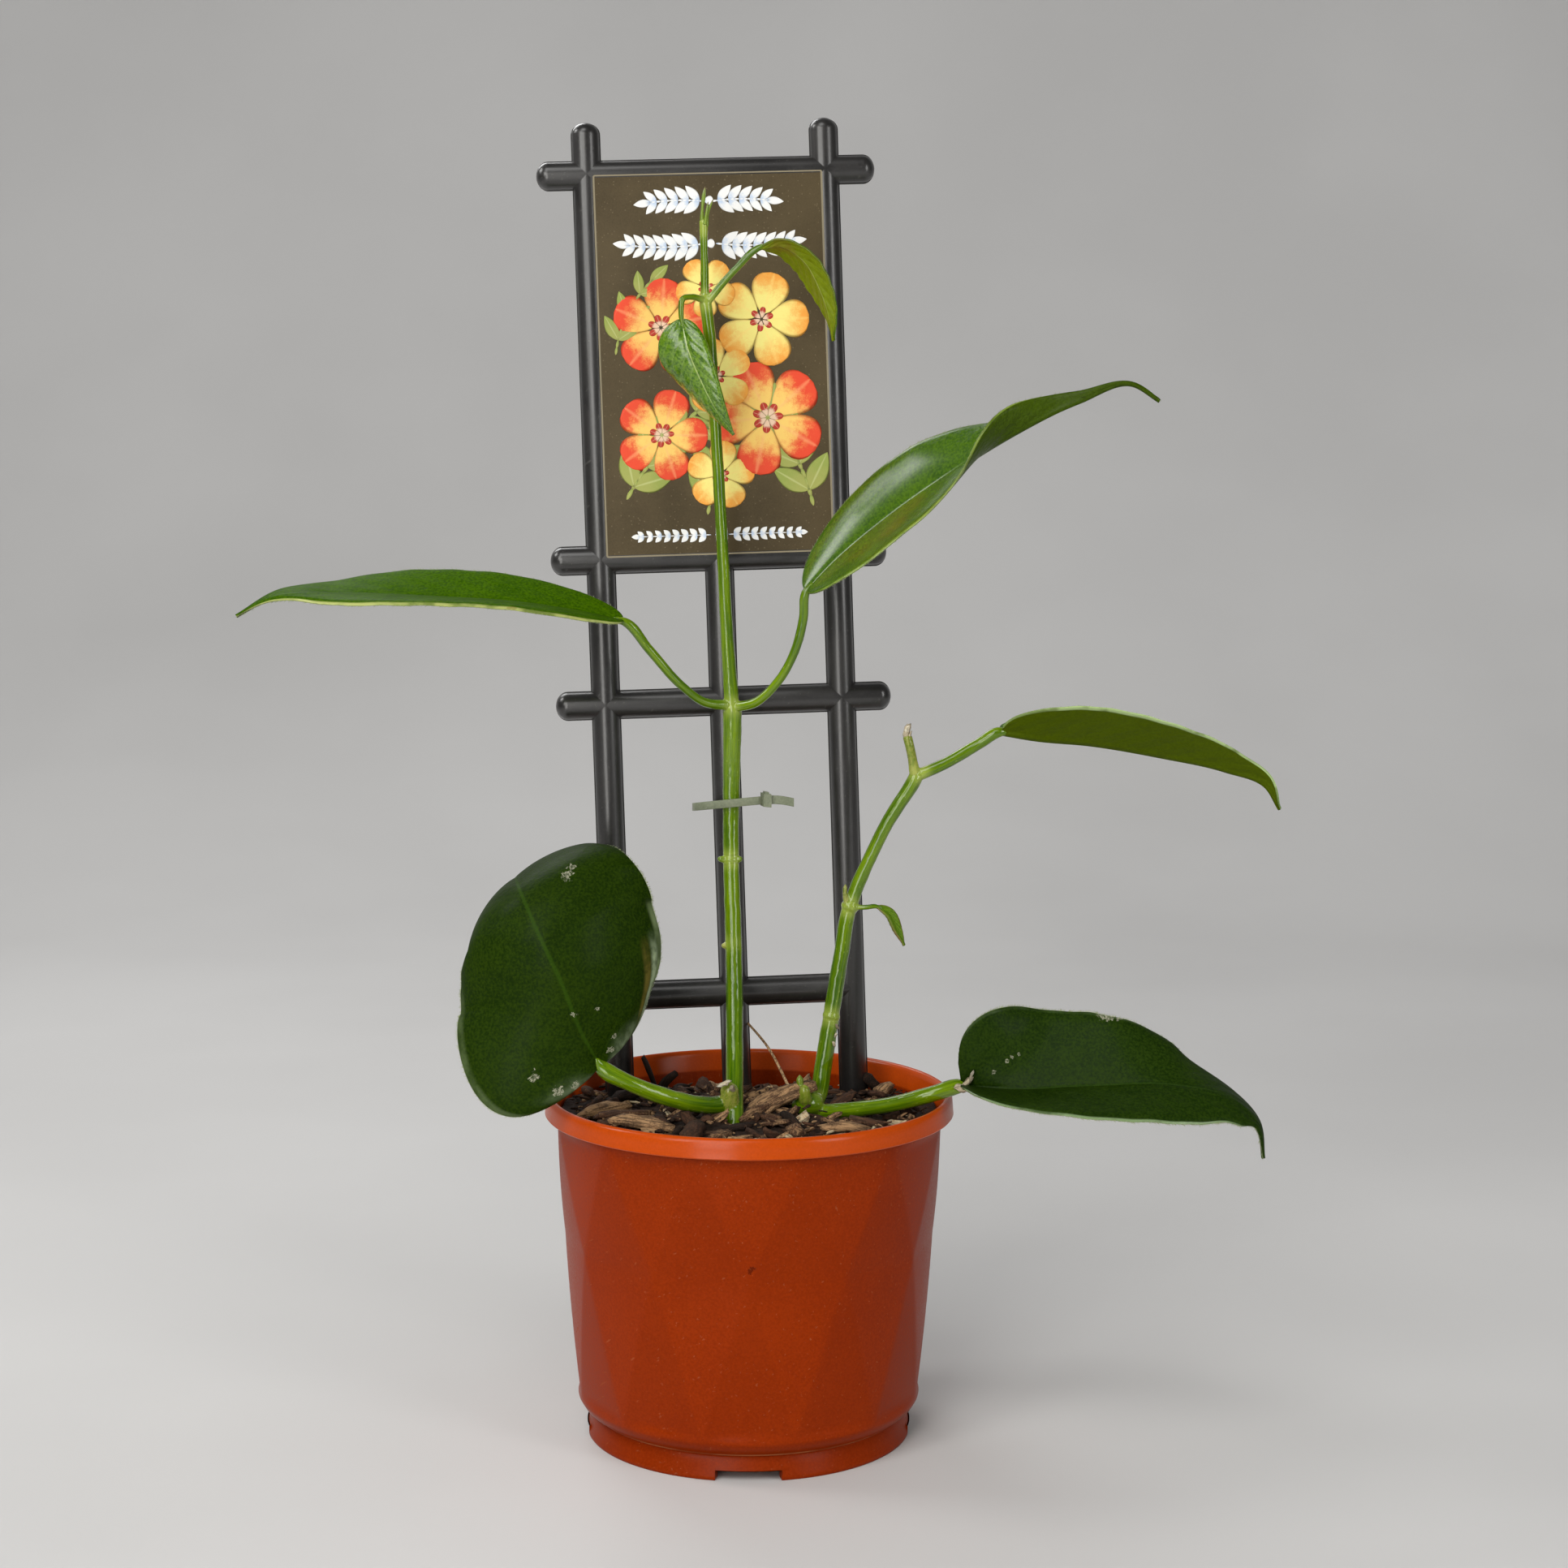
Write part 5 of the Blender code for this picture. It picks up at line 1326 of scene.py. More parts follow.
@dataclass(frozen=True)
class Blossom:
    """A printed flower: rounded petals about a centre, in the card's own plane."""

    x: float
    y: float
    reach: float
    turn: float
    order: int
    petals: int = 5
    width: float = 0.80


@dataclass(frozen=True)
class Sprig:
    """A printed twig: a gentle arc with leaves in pairs."""

    x: float
    y: float
    length: float
    turn: float
    arc: float
    pairs: int
    leaf: float
    leaf_width: float


@dataclass
class Card:
    """The picture card: a thin plate with a light lip, printed with blossoms, sprigs and garlands."""

    place: TrellisFrame = TrellisFrame()
    width: float = 0.0795
    height: float = 0.1320
    thickness: float = 0.00035
    centre: tuple[float, float] = (0.0004, 0.2568)
    back: float = 0.0020
    corner: float = 0.0008
    lip: float = 0.0006
    ground: CardFinish = CardFinish()
    coral: InkFinish = InkFinish("ink_coral", base=(0.95, 0.62, 0.16), tip=(0.80, 0.075, 0.030),
                                 line=(0.98, 0.50, 0.22), turn_low=0.25, turn_high=0.8)
    amber: InkFinish = InkFinish("ink_amber", base=(0.92, 0.80, 0.24), tip=(0.88, 0.36, 0.055),
                                 line=(0.98, 0.72, 0.22), turn_low=0.3, turn_high=1.0)
    heart: InkFinish = InkFinish("ink_heart", base=(0.85, 0.60, 0.42), tip=(0.50, 0.045, 0.025),
                                 line=(0.9, 0.7, 0.5), turn_low=0.35, turn_high=0.6)
    leaf: InkFinish = InkFinish("ink_leaf", base=(0.36, 0.38, 0.10), tip=(0.30, 0.36, 0.08),
                                line=(0.55, 0.58, 0.25), line_share=0.6)
    white: InkFinish = InkFinish("ink_white", base=(0.50, 0.62, 0.80), tip=(0.88, 0.88, 0.86),
                                 line=(0.9, 0.9, 0.9), turn_low=0.0, turn_high=0.45, line_share=0.0)
    petal_rows: int = 16
    petal_columns: int = 11
    petal_start: float = 0.12
    ink_lift: float = 0.00002
    ink_step: float = 0.000006
    ink_half: float = 0.00004

    def plate(self) -> Array:
        """The plate as rings from its back to its front, each a rectangle with round corners."""
        lip_top = self.back + self.thickness + 0.00012
        levels = ((self.back, 0.0), (lip_top - 0.00008, 0.0), (lip_top, 0.00008),
                  (lip_top, self.lip - 0.00008), (lip_top - 0.00008, self.lip),
                  (self.back + self.thickness - 0.00004, self.lip + 0.0001),
                  (self.back + self.thickness, 0.0032))
        rings = []
        for out, inset in levels:
            corner = max(self.corner - inset, 0.0003)
            half = np.array([self.width / 2 - inset - corner, self.height / 2 - inset - corner])
            flat = np.array(self.centre) + rounded(half, corner, 7)[0]
            rings.append(np.column_stack([flat, np.full(len(flat), out)]))
        return np.array(rings)

    def shapes(self, weave: Weave, base: Array, tip: Array, width: Array, order: Array,
               round_tip: float) -> None:
        """Add flat pointed or rounded shapes, all at once.

        Each lies along the line from its base to its tip. Its half width at a share a of that line is
        width x sin(pi a^k)^p, with p small for a rounded tip.

        Args:
            weave: takes the shapes.
            base: each shape's start, in the card's plane.
            tip: each shape's end.
            width: each shape's greatest width, or one for all.
            order: which lies on top, for each shape or for all.
            round_tip: 0 for a pointed leaf, 1 for a round petal.
        """
        a = np.linspace(0, 1, self.petal_rows)[None, :, None]
        b = np.linspace(-1, 1, self.petal_columns)[None, None, :]
        power, skew = 0.85 - 0.45 * round_tip, 0.85 + 0.75 * round_tip
        wide = np.sin(np.pi * np.clip(a, 0.004, 0.996) ** skew) ** power
        run = (tip - base)[:, None, None]
        side = np.stack([-run[..., 1], run[..., 0]], -1)
        side = side / np.linalg.norm(side, axis=-1, keepdims=True)
        reach = width[:, None, None] / 2 * wide * b
        flat = base[:, None, None] + run * a[..., None] + side * reach[..., None]
        out = self.back + self.thickness + self.ink_lift + self.ink_step * order[:, None, None]
        out = np.broadcast_to(out, flat.shape[:3])
        half = self.ink_half * np.sqrt(np.clip(1 - b**8, 0, 1)) * np.ones_like(out)
        local = np.concatenate([flat + np.array(self.centre), out[..., None]], axis=-1)
        shells = self.place.world(lens(local, np.array([0.0, 0.0, 1.0]), half))
        along, across = (round_the_edge(np.broadcast_to(part, out.shape)) for part in (a, b))
        weave.closed(shells, along=along, across=across)

    def blossom(self, weave: Weave, bloom: Blossom) -> None:
        """A ring of petals from near a centre outwards."""
        turn = math.radians(bloom.turn) + 2 * np.pi * np.arange(bloom.petals) / bloom.petals
        out = bloom.reach * np.stack([np.cos(turn), np.sin(turn)], -1)
        middle = np.array([bloom.x, bloom.y])
        order = bloom.order + np.arange(bloom.petals) * 0.8
        self.shapes(weave, middle + out * self.petal_start, middle + out,
                    np.array([bloom.reach * bloom.width]), order, 1.0)

    def sprig(self, weave: Weave, twig: Sprig) -> None:
        """A twig: a thin curved stem, leaves in pairs along it and one at its end."""
        s = (np.arange(twig.pairs) + 0.6) / (twig.pairs + 0.4)
        head = math.radians(twig.turn) + math.radians(twig.arc) * (np.linspace(0, 1, 40) - 0.5)
        steps = twig.length / 39 * np.stack([np.cos(head), np.sin(head)], -1)
        line = np.array([twig.x, twig.y]) + np.cumsum(steps, axis=0) - steps[0]
        at = np.stack([np.interp(s, np.linspace(0, 1, 40), line[:, k]) for k in (0, 1)], -1)
        facing = np.interp(s, np.linspace(0, 1, 40), head)
        base = np.concatenate([at, at, line[-3:-2]])
        turn = np.concatenate([facing + 0.75, facing - 0.75, head[-1:]])
        size = twig.leaf * np.concatenate([1 - 0.25 * s, 1 - 0.25 * s, [0.85]])
        tip = base + size[:, None] * np.stack([np.cos(turn), np.sin(turn)], -1)
        self.shapes(weave, base, tip, size * twig.leaf_width, np.zeros(1), 0.0)
        starts, ends = line[:-3:3], line[3::3]
        self.shapes(weave, starts, ends + (ends - starts) * 0.4, np.array([twig.leaf * 0.10]), np.zeros(1),
                    0.0)

    def dots(self, weave: Weave, places: Array, size: float) -> None:
        """Small round dots."""
        reach = np.array([size / 2, 0])
        self.shapes(weave, places - reach, places + reach, np.array([size]), np.ones(1), 0.8)

    def build(self, effects: Effects) -> None:
        """Make the plate and each ink's shapes."""
        local = self.plate()
        lip = np.zeros(local.shape[:2])
        lip[1:5] = 1.0
        plate = Weave().closed(self.place.world(local), lip=lip).build("card_plate", sharp=30)
        place_piece(plate, self.ground.material(effects), Slot.CARD, "label_card")
        looks = {"coral": self.coral, "amber": self.amber, "heart": self.heart, "leaf": self.leaf,
                 "white": self.white}
        inks = {key: Weave() for key in looks}
        for twig in (Sprig(-0.032, -0.046, 0.046, 48, -24, 5, 0.0150, 0.52),
                     Sprig(0.033, -0.050, 0.042, 116, 30, 4, 0.0150, 0.52),
                     Sprig(-0.004, -0.052, 0.034, 84, 14, 3, 0.0140, 0.54),
                     Sprig(-0.034, 0.004, 0.030, 62, -40, 3, 0.0100, 0.48)):
            self.sprig(inks["leaf"], twig)
        for key, share, petals, turn, blooms in (
                ("coral", 0.27, 7, 5, (Blossom(-0.0180, 0.0130, 0.0170, 12, 1),
                                       Blossom(0.0180, -0.0190, 0.0200, 40, 3),
                                       Blossom(-0.0190, -0.0240, 0.0160, 70, 2))),
                ("amber", 0.26, 6, 20, (Blossom(0.0170, 0.0150, 0.0165, 0, 1),
                                        Blossom(0.0005, -0.0040, 0.0130, 30, 5),
                                        Blossom(-0.0020, 0.0265, 0.0105, 50, 4),
                                        Blossom(0.0010, -0.0385, 0.0120, 10, 5)))):
            for bloom in blooms:
                self.blossom(inks[key], bloom)
                self.blossom(inks["heart"], Blossom(bloom.x, bloom.y, bloom.reach * share, turn,
                                                    bloom.order + 6, petals, 0.5))
        for x, y, length, arc, pairs, leaf, width in ((0.0010, 0.0560, 0.0200, -14, 5, 0.0072, 0.46),
                                                      (0.0020, 0.0415, 0.0270, 16, 7, 0.0072, 0.46),
                                                      (0.0030, -0.0590, 0.0260, 0, 8, 0.0036, 0.6)):
            for side, turn in ((-1, 180), (1, 0)):
                self.sprig(inks["white"], Sprig(side * x, y, length, turn, side * arc, pairs, leaf, width))
        self.dots(inks["white"], np.array([(0.0, 0.0563), (0.0, 0.0415), (0.0, -0.0590)]), 0.0032)
        for key, weave in inks.items():
            place_piece(weave.build("print_" + key), looks[key].material(effects), Slot.CARD)


# ---- Tie


@dataclass
class Tie:
    """The plant tie: a strap round the stem and the middle post, with its head and cut tail."""

    left: float = -0.0197
    right: float = 0.0067
    front: float = 0.0208
    back: float = 0.0380
    height: float = 0.0028
    thickness: float = 0.0010
    corner: float = 0.0065
    centre_height: float = 0.2153
    side_slope: float = 0.10
    back_slope: float = -0.13
    tail_end: tuple[float, float] = (0.0151, 0.0243)
    finish: PlasticFinish = PlasticFinish("cloudy_tie_plastic", dark=(0.155, 0.178, 0.115),
                                          light=(0.245, 0.268, 0.180), dust_and_highlight=(0.5, 0.5, 0.42),
                                          roughness=0.36, coat=0.2, grain=0.00003, specular=0.3)

    def level(self, flat: Array) -> Array:
        """Points of the strap's middle line: its height falls to the back and rises to the right."""
        middle = (self.left + self.right) / 2
        x, y = flat.T
        z = self.centre_height + self.side_slope * (x - middle) + self.back_slope * (y - self.front)
        return np.column_stack([flat, z])

    def strap(self, route: Array, out: Array, thickness: float, height: float) -> Array:
        """A strap along a route: a flat section with soft corners at each place."""
        soft = 0.00015
        w, h = thickness / 2, height / 2
        section = np.array([(w, -h + soft), (w, h - soft), (w - soft, h), (-w + soft, h), (-w, h - soft),
                            (-w, -h + soft), (-w + soft, -h), (w - soft, -h)])
        return (route[:, None] + out[:, None] * section[None, :, :1]
                + np.array([0, 0, 1.0]) * section[None, :, 1:])

    def build(self, effects: Effects) -> None:
        """Make the band, its head and its tail."""
        centre = np.array([(self.left + self.right) / 2, (self.front + self.back) / 2])
        reach = np.array([(self.right - self.left) / 2, (self.back - self.front) / 2]) - self.corner
        flat, out = rounded(reach, self.corner, 12)
        band = self.strap(self.level(centre + flat), np.column_stack([out, np.zeros(len(out))]),
                          self.thickness, self.height)
        weave = Weave().grids(np.swapaxes(band, 0, 1)[::-1], wrap=True)
        first, last = band[:, 0], band[:, -1]
        weave.grids(np.stack([first, last]), wrap=True)
        start = self.level(np.array([(self.right - 0.0012, self.front + 0.0010)]))[0]
        stop = self.level(np.array([self.tail_end]))[0]
        stop[2] = start[2] - 0.0012
        run = np.linspace(0, 1, 12)[:, None]
        tail = start + (stop - start) * run + np.array([0, 0, 0.0004]) * np.sin(np.pi * run)
        side = unit(np.cross(stop - start, (0, 0, 1.0)))
        weave.closed(self.strap(tail, np.broadcast_to(side, tail.shape), 0.0010, 0.0030))
        along = unit(stop - start)
        head = start + along * np.linspace(-0.0014, 0.0014, 5)[:, None]
        weave.closed(self.strap(head, np.broadcast_to(side, head.shape), 0.0046, 0.0046))
        lip = start + along * np.linspace(-0.0007, 0.0007, 3)[:, None] + np.array([0, 0, 0.0024])
        weave.closed(self.strap(lip, np.broadcast_to(side, lip.shape), 0.0032, 0.0010))
        made = weave.build("tie_band", sharp=35)
        shape = bmesh.new()
        shape.from_mesh(made.data)
        bmesh.ops.remove_doubles(shape, verts=shape.verts, dist=1e-7)
        bmesh.ops.recalc_face_normals(shape, faces=shape.faces)
        shape.to_mesh(made.data)
        shape.free()
        place_piece(made, self.finish.material(effects), Slot.TIE, "plant_tie")


# ---- Leaves


@dataclass(frozen=True)
class Half:
    """One half of a blade: its width, its widest place, its lifts and curl, its lobe and its nip."""

    width: float
    widest: float
    lifts: tuple[float, ...]
    curl: float
    lobe: float
    nip: float = 2.0


@dataclass(frozen=True)
class Blade:
    """A leaf blade: the midrib's route, the direction it faces at its base, its halves and its surface."""

    name: str
    route: Route
    facing: Point
    blunt: float
    sharp: float
    left: Half
    right: Half
    finish: LeafFinish
    slot: Slot
    thickness: float = 0.0012
    base_width: float = 0.0012
    tip_width: float = 0.0004
    rows: int = 120
    columns: int = 26
    ripple: float = 0.00012
    ripple_count: float = 9.0
    roll: float = 0.0007
    groove: float = 0.00025
    groove_width: float = 0.0009
    rib: float = 0.0005
    quilt: float = 0.0
    quilt_count: float = 8.0
    hairs: int = 1100
    hair_length: float = 0.0011
    hair_width: float = 0.00009
    hair_root: float = 0.0002
    scars: tuple[Point, ...] = ()
    yellowed: tuple[Point, ...] = ()

    def outline(self, t: Array, widest: float) -> Array:
        """The half width's shares: a blunt arc up to the widest place, and a cosine taper to the tip."""
        base = np.clip(1 - t / widest, 0, 1)
        tip = np.clip((t - widest) / (1 - widest), 0, 1)
        return np.where(t < widest, (1 - base**self.blunt) ** (1 / self.blunt),
                        np.cos(np.pi / 2 * tip) ** self.sharp)

    def sheet(self) -> tuple[Array, Array, Array, Array]:
        """The blade's middle surface.

        Each half bends away from the midrib's plane along an arc, from its lift to its lift plus its curl,
        and its base is drawn back by its lobe. The last of its width rolls under.

        Returns:
            The points from the left margin to the right, the share along and the signed share across of each,
            and each point's distance from the midrib.
        """
        route = np.array(self.route, float)
        even = np.linspace(0, 1, self.rows)
        at = 0.7 * (1 - np.cos(np.pi * even)) / 2 + 0.3 * even
        midrib = smooth(fractions_along(route), route, at)
        tangents = unit(np.gradient(midrib, at, axis=0))
        normals = carried_normals(tangents, self.facing)
        across = np.cross(tangents, normals)
        least = self.base_width + (self.tip_width - self.base_width) * at
        v = (1 - (1 - np.arange(1, self.columns + 1) / self.columns) ** 1.35)[None, :, None]
        halves, widths = [], []
        for sign, half in ((-1, self.left), (1, self.right)):
            share = self.outline(at, half.widest) * (1 - 0.5 * eased(at, half.nip, half.nip + 0.045))
            width = np.maximum(half.width * share, least)[:, None, None]
            start = np.radians(smooth(np.linspace(0, 1, len(half.lifts)), half.lifts, at))[:, None, None]
            bend = math.radians(half.curl) or 1e-3
            out = (np.sin(start + bend * v) - np.sin(start)) / bend
            up = (np.cos(start) - np.cos(start + bend * v)) / bend
            back = half.lobe * (share * np.exp(-at / 0.08))[:, None, None] * v**1.5
            wave = self.ripple * np.sin(2 * np.pi * (self.ripple_count * at + 0.3 * sign))
            wave = wave + self.ripple * lumps(midrib + 0.05 * sign, 180, 8)
            fade = (np.sin(np.pi * np.clip(at, 0, 1)) ** 0.5)[:, None, None]
            rise = wave[:, None, None] * v**4 - self.roll * eased(v, 0.80, 1.0) ** 2
            halves.append(midrib[:, None] + sign * across[:, None] * width * out
                          + normals[:, None] * (width * up + rise * fade) - tangents[:, None] * back)
            widths.append((width * v)[..., 0])
        points = np.concatenate([halves[0][:, ::-1], midrib[:, None], halves[1]], axis=1)
        share = np.concatenate([-v[0, ::-1, 0], [0.0], v[0, :, 0]])
        away = np.concatenate([widths[0][:, ::-1], np.zeros((self.rows, 1)), widths[1]], axis=1)
        return points, np.broadcast_to(at[:, None], away.shape), np.broadcast_to(share, away.shape), away

    def shell(self) -> tuple[Array, Array, Array, Array, Array, Array]:
        """The blade's closed shell.

        Returns:
            Its rings, the shares along and across, how much each point belongs to the upper face, the middle
            surface and its normals.
        """
        sheet, along, across, away = self.sheet()
        down, over = np.gradient(sheet, axis=0), np.gradient(sheet, axis=1)
        normals = unit(np.cross(over, down))
        near = np.exp(-((away / self.groove_width) ** 2))
        fading = 1 - 0.8 * along
        sheet = sheet - normals * (self.groove * near * fading)[..., None]
        if self.quilt:
            wave = along * self.quilt_count - np.abs(across) * 2.2
            pillow = np.abs(np.sin(np.pi * wave)) ** 0.6
            inside = np.sin(np.pi * np.clip(np.abs(across), 0, 1)) ** 0.5 * (1 - along**4)
            sheet = sheet + normals * (self.quilt * pillow * inside)[..., None]
        half = self.thickness / 2 * np.sqrt(np.clip(1 - np.abs(across) ** 9, 0, 1))
        ring = lens(sheet, normals, half)
        columns = sheet.shape[1]
        under = near * fading * self.rib
        ring[:, columns:] -= (normals * under[..., None])[:, -2:0:-1]
        upper = np.zeros(ring.shape[:2])
        upper[:, 1:columns - 1] = 1.0
        upper[:, [0, columns - 1]] = 0.5
        return ring, round_the_edge(along), round_the_edge(across), upper, sheet, normals

    def fringe(self, sheet: Array, normals: Array, weave: Weave) -> None:
        """Fine hairs along both margins: three-sided spikes that point outwards, bent at random."""
        draws = np.random.default_rng(sum(map(ord, self.name)))
        count = self.hairs
        side = draws.integers(0, 2, count) * (sheet.shape[1] - 1)
        row = draws.uniform(1, self.rows - 2, count)
        low = row.astype(int)
        part = (row - low)[:, None]
        inner = np.where(side == 0, 2, sheet.shape[1] - 3)
        root = sheet[low, side] * (1 - part) + sheet[low + 1, side] * part
        out = unit(root - sheet[low, inner])
        down = unit(sheet[low + 1, side] - sheet[low, side])
        up = normals[low, side]
        lean = draws.normal(0, 0.35, (count, 2))
        head = unit(out + down * lean[:, :1] + up * lean[:, 1:])
        length = self.hair_length * draws.uniform(0.45, 1.1, count)[:, None]
        corners = np.stack([down, -0.5 * down + 0.87 * up, -0.5 * down - 0.87 * up],
                           axis=1) * self.hair_width
        base = (root - out * self.hair_root)[:, None] + corners
        points = np.concatenate([base, (root + head * length)[:, None]], axis=1)
        start = 4 * np.arange(count)[:, None, None]
        faces = np.array([(0, 1, 3), (1, 2, 3), (2, 0, 3), (0, 2, 1)])[None] + start
        cloud = points.reshape(-1, 3)
        faces = faces.reshape(-1, 3)
        a, b, c = (cloud[faces[:, k]] for k in range(3))
        middle = points.mean(axis=1)[faces[:, 0] // 4]
        wrong = np.einsum("ij,ij->i", np.cross(b - a, c - a), a - middle) < 0
        faces[wrong] = faces[wrong][:, ::-1]
        weave.loose(cloud, faces, hair=1.0, upper=1.0)

    def build(self, effects: Effects) -> None:
        """Make the blade with its fringe, and find where its scars lie."""
        ring, along, across, upper, sheet, normals = self.shell()
        weave = Weave().closed(ring, along=along, across=across, upper=upper, hair=0.0)
        self.fringe(sheet, normals, weave)
        share = along[:, 0]

        def spot(t: float, s: float) -> Array:
            """The point on the blade at shares along and across."""
            row = int(np.argmin(np.abs(share - t)))
            column = int(np.argmin(np.abs(across[0, :sheet.shape[1]] - s)))
            return sheet[row, column] + normals[row, column] * self.thickness / 2

        look = self.finish.material(effects, [(spot(t, s), size) for t, s, size in self.scars],
                                    [(spot(t, s), size) for t, s, size in self.yellowed])
        place_piece(weave.build("blade_" + self.name), look, self.slot, "leaf_" + self.name)


DARK_SKIN = LeafFinish("leaf_skin_dark", deep=(0.0070, 0.0200, 0.0002), fresh=(0.0185, 0.0400, 0.0007),
                       under=(0.070, 0.130, 0.012), rib=(0.030, 0.074, 0.003), edge=(0.210, 0.280, 0.120),
                       roughness=0.50, specular=0.04, coat=0.02, rib_share=0.5, vein_share=0.04,
                       rib_width=0.024, edge_left=0.25, edge_right=0.95, edge_from=0.91, edge_until=0.45,
                       # The first streak is a yellow-brown stain; the other three are painted highlights on
                       # the rolled margin and the base lobes.
                       streaks=(Streak(0.02, 0.30, 0.79, 0.07, (0.20, 0.15, 0.03), 0.6),
                                Streak(-0.10, 0.30, 0.885, 0.065, (0.34, 0.42, 0.25), 0.95),
                                Streak(-0.10, 0.072, 0.58, 0.40, (0.32, 0.40, 0.24), 0.9),
                                Streak(-0.10, 0.062, -0.50, 0.32, (0.24, 0.31, 0.18), 0.75)))
DARK_SKIN_RIGHT = LeafFinish("leaf_skin_dark_right", deep=(0.0070, 0.0205, 0.0006),
                             fresh=(0.0180, 0.0400, 0.0016), under=(0.070, 0.130, 0.012),
                             rib=(0.030, 0.062, 0.010), edge=(0.200, 0.290, 0.130), roughness=0.50,
                             specular=0.05, coat=0.02, rib_share=0.4, vein_share=0.04, rib_width=0.03,
                             edge_left=0.10, edge_right=0.95, edge_from=0.94, edge_until=0.95)
BRIGHT_SKIN = LeafFinish("leaf_skin_bright", deep=(0.024, 0.072, 0.0002), fresh=(0.058, 0.134, 0.0006),
                         under=(0.100, 0.170, 0.004), rib=(0.020, 0.062, 0.0005), edge=(0.44, 0.48, 0.15),
                         roughness=0.45, specular=0.01, coat=0.02, rib_share=0.5, vein_share=0.06,
                         edge_left=0.95, edge_right=0.12, edge_from=0.90)
GLOSSY_SKIN = LeafFinish("leaf_skin_glossy", deep=(0.027, 0.084, 0.0003), fresh=(0.074, 0.164, 0.0005),
                         under=(0.043, 0.078, 0.0004), rib=(0.090, 0.190, 0.006), edge=(0.26, 0.36, 0.05),
                         roughness=0.38, specular=0.05, coat=0.80, rib_share=0.1, vein_share=0.06,
                         wrinkle=0.00022, edge_left=0.3, edge_right=0.8, edge_from=0.91)
UNDER_SKIN = LeafFinish("leaf_skin_underside", deep=(0.035, 0.095, 0.0010), fresh=(0.065, 0.150, 0.0020),
                        under=(0.066, 0.098, 0.0005), rib=(0.110, 0.170, 0.004), edge=(0.40, 0.54, 0.22),
                        roughness=0.42, specular=0.04, coat=0.20, rib_share=0.3, vein_share=0.05,
                        edge_left=0.3, edge_right=1.0, edge_from=0.87)
SMALL_SKIN = LeafFinish("leaf_skin_small", deep=(0.070, 0.150, 0.002), fresh=(0.120, 0.210, 0.004),
                        under=(0.120, 0.190, 0.004), rib=(0.18, 0.28, 0.05), edge=(0.20, 0.11, 0.05),
                        roughness=0.42, specular=0.12, edge_left=0.7, edge_right=0.8, edge_from=0.70)
YOUNG_SKIN = LeafFinish("leaf_skin_young", deep=(0.034, 0.108, 0.0004), fresh=(0.130, 0.250, 0.0020),
                        under=(0.130, 0.210, 0.004), rib=(0.42, 0.52, 0.18), edge=(0.16, 0.24, 0.03),
                        roughness=0.28, specular=0.25, coat=1.0, rib_share=0.85, vein_share=0.14,
                        vein_count=8.0, wrinkle=0.00012, vein_depth=0.00009, coat_roughness=0.19,
                        edge_left=0.3, edge_right=0.6, edge_from=0.90)
YOUNG_UNDER_SKIN = LeafFinish("leaf_skin_young_underside", deep=(0.045, 0.120, 0.0010),
                              fresh=(0.080, 0.170, 0.0020), under=(0.170, 0.220, 0.0030),
                              rib=(0.38, 0.44, 0.14), edge=(0.12, 0.15, 0.010), roughness=0.36,
                              specular=0.10, coat=0.30, rib_share=0.7, vein_share=0.10,
                              yellow=(0.17, 0.13, 0.01), edge_left=0.5, edge_right=0.7)

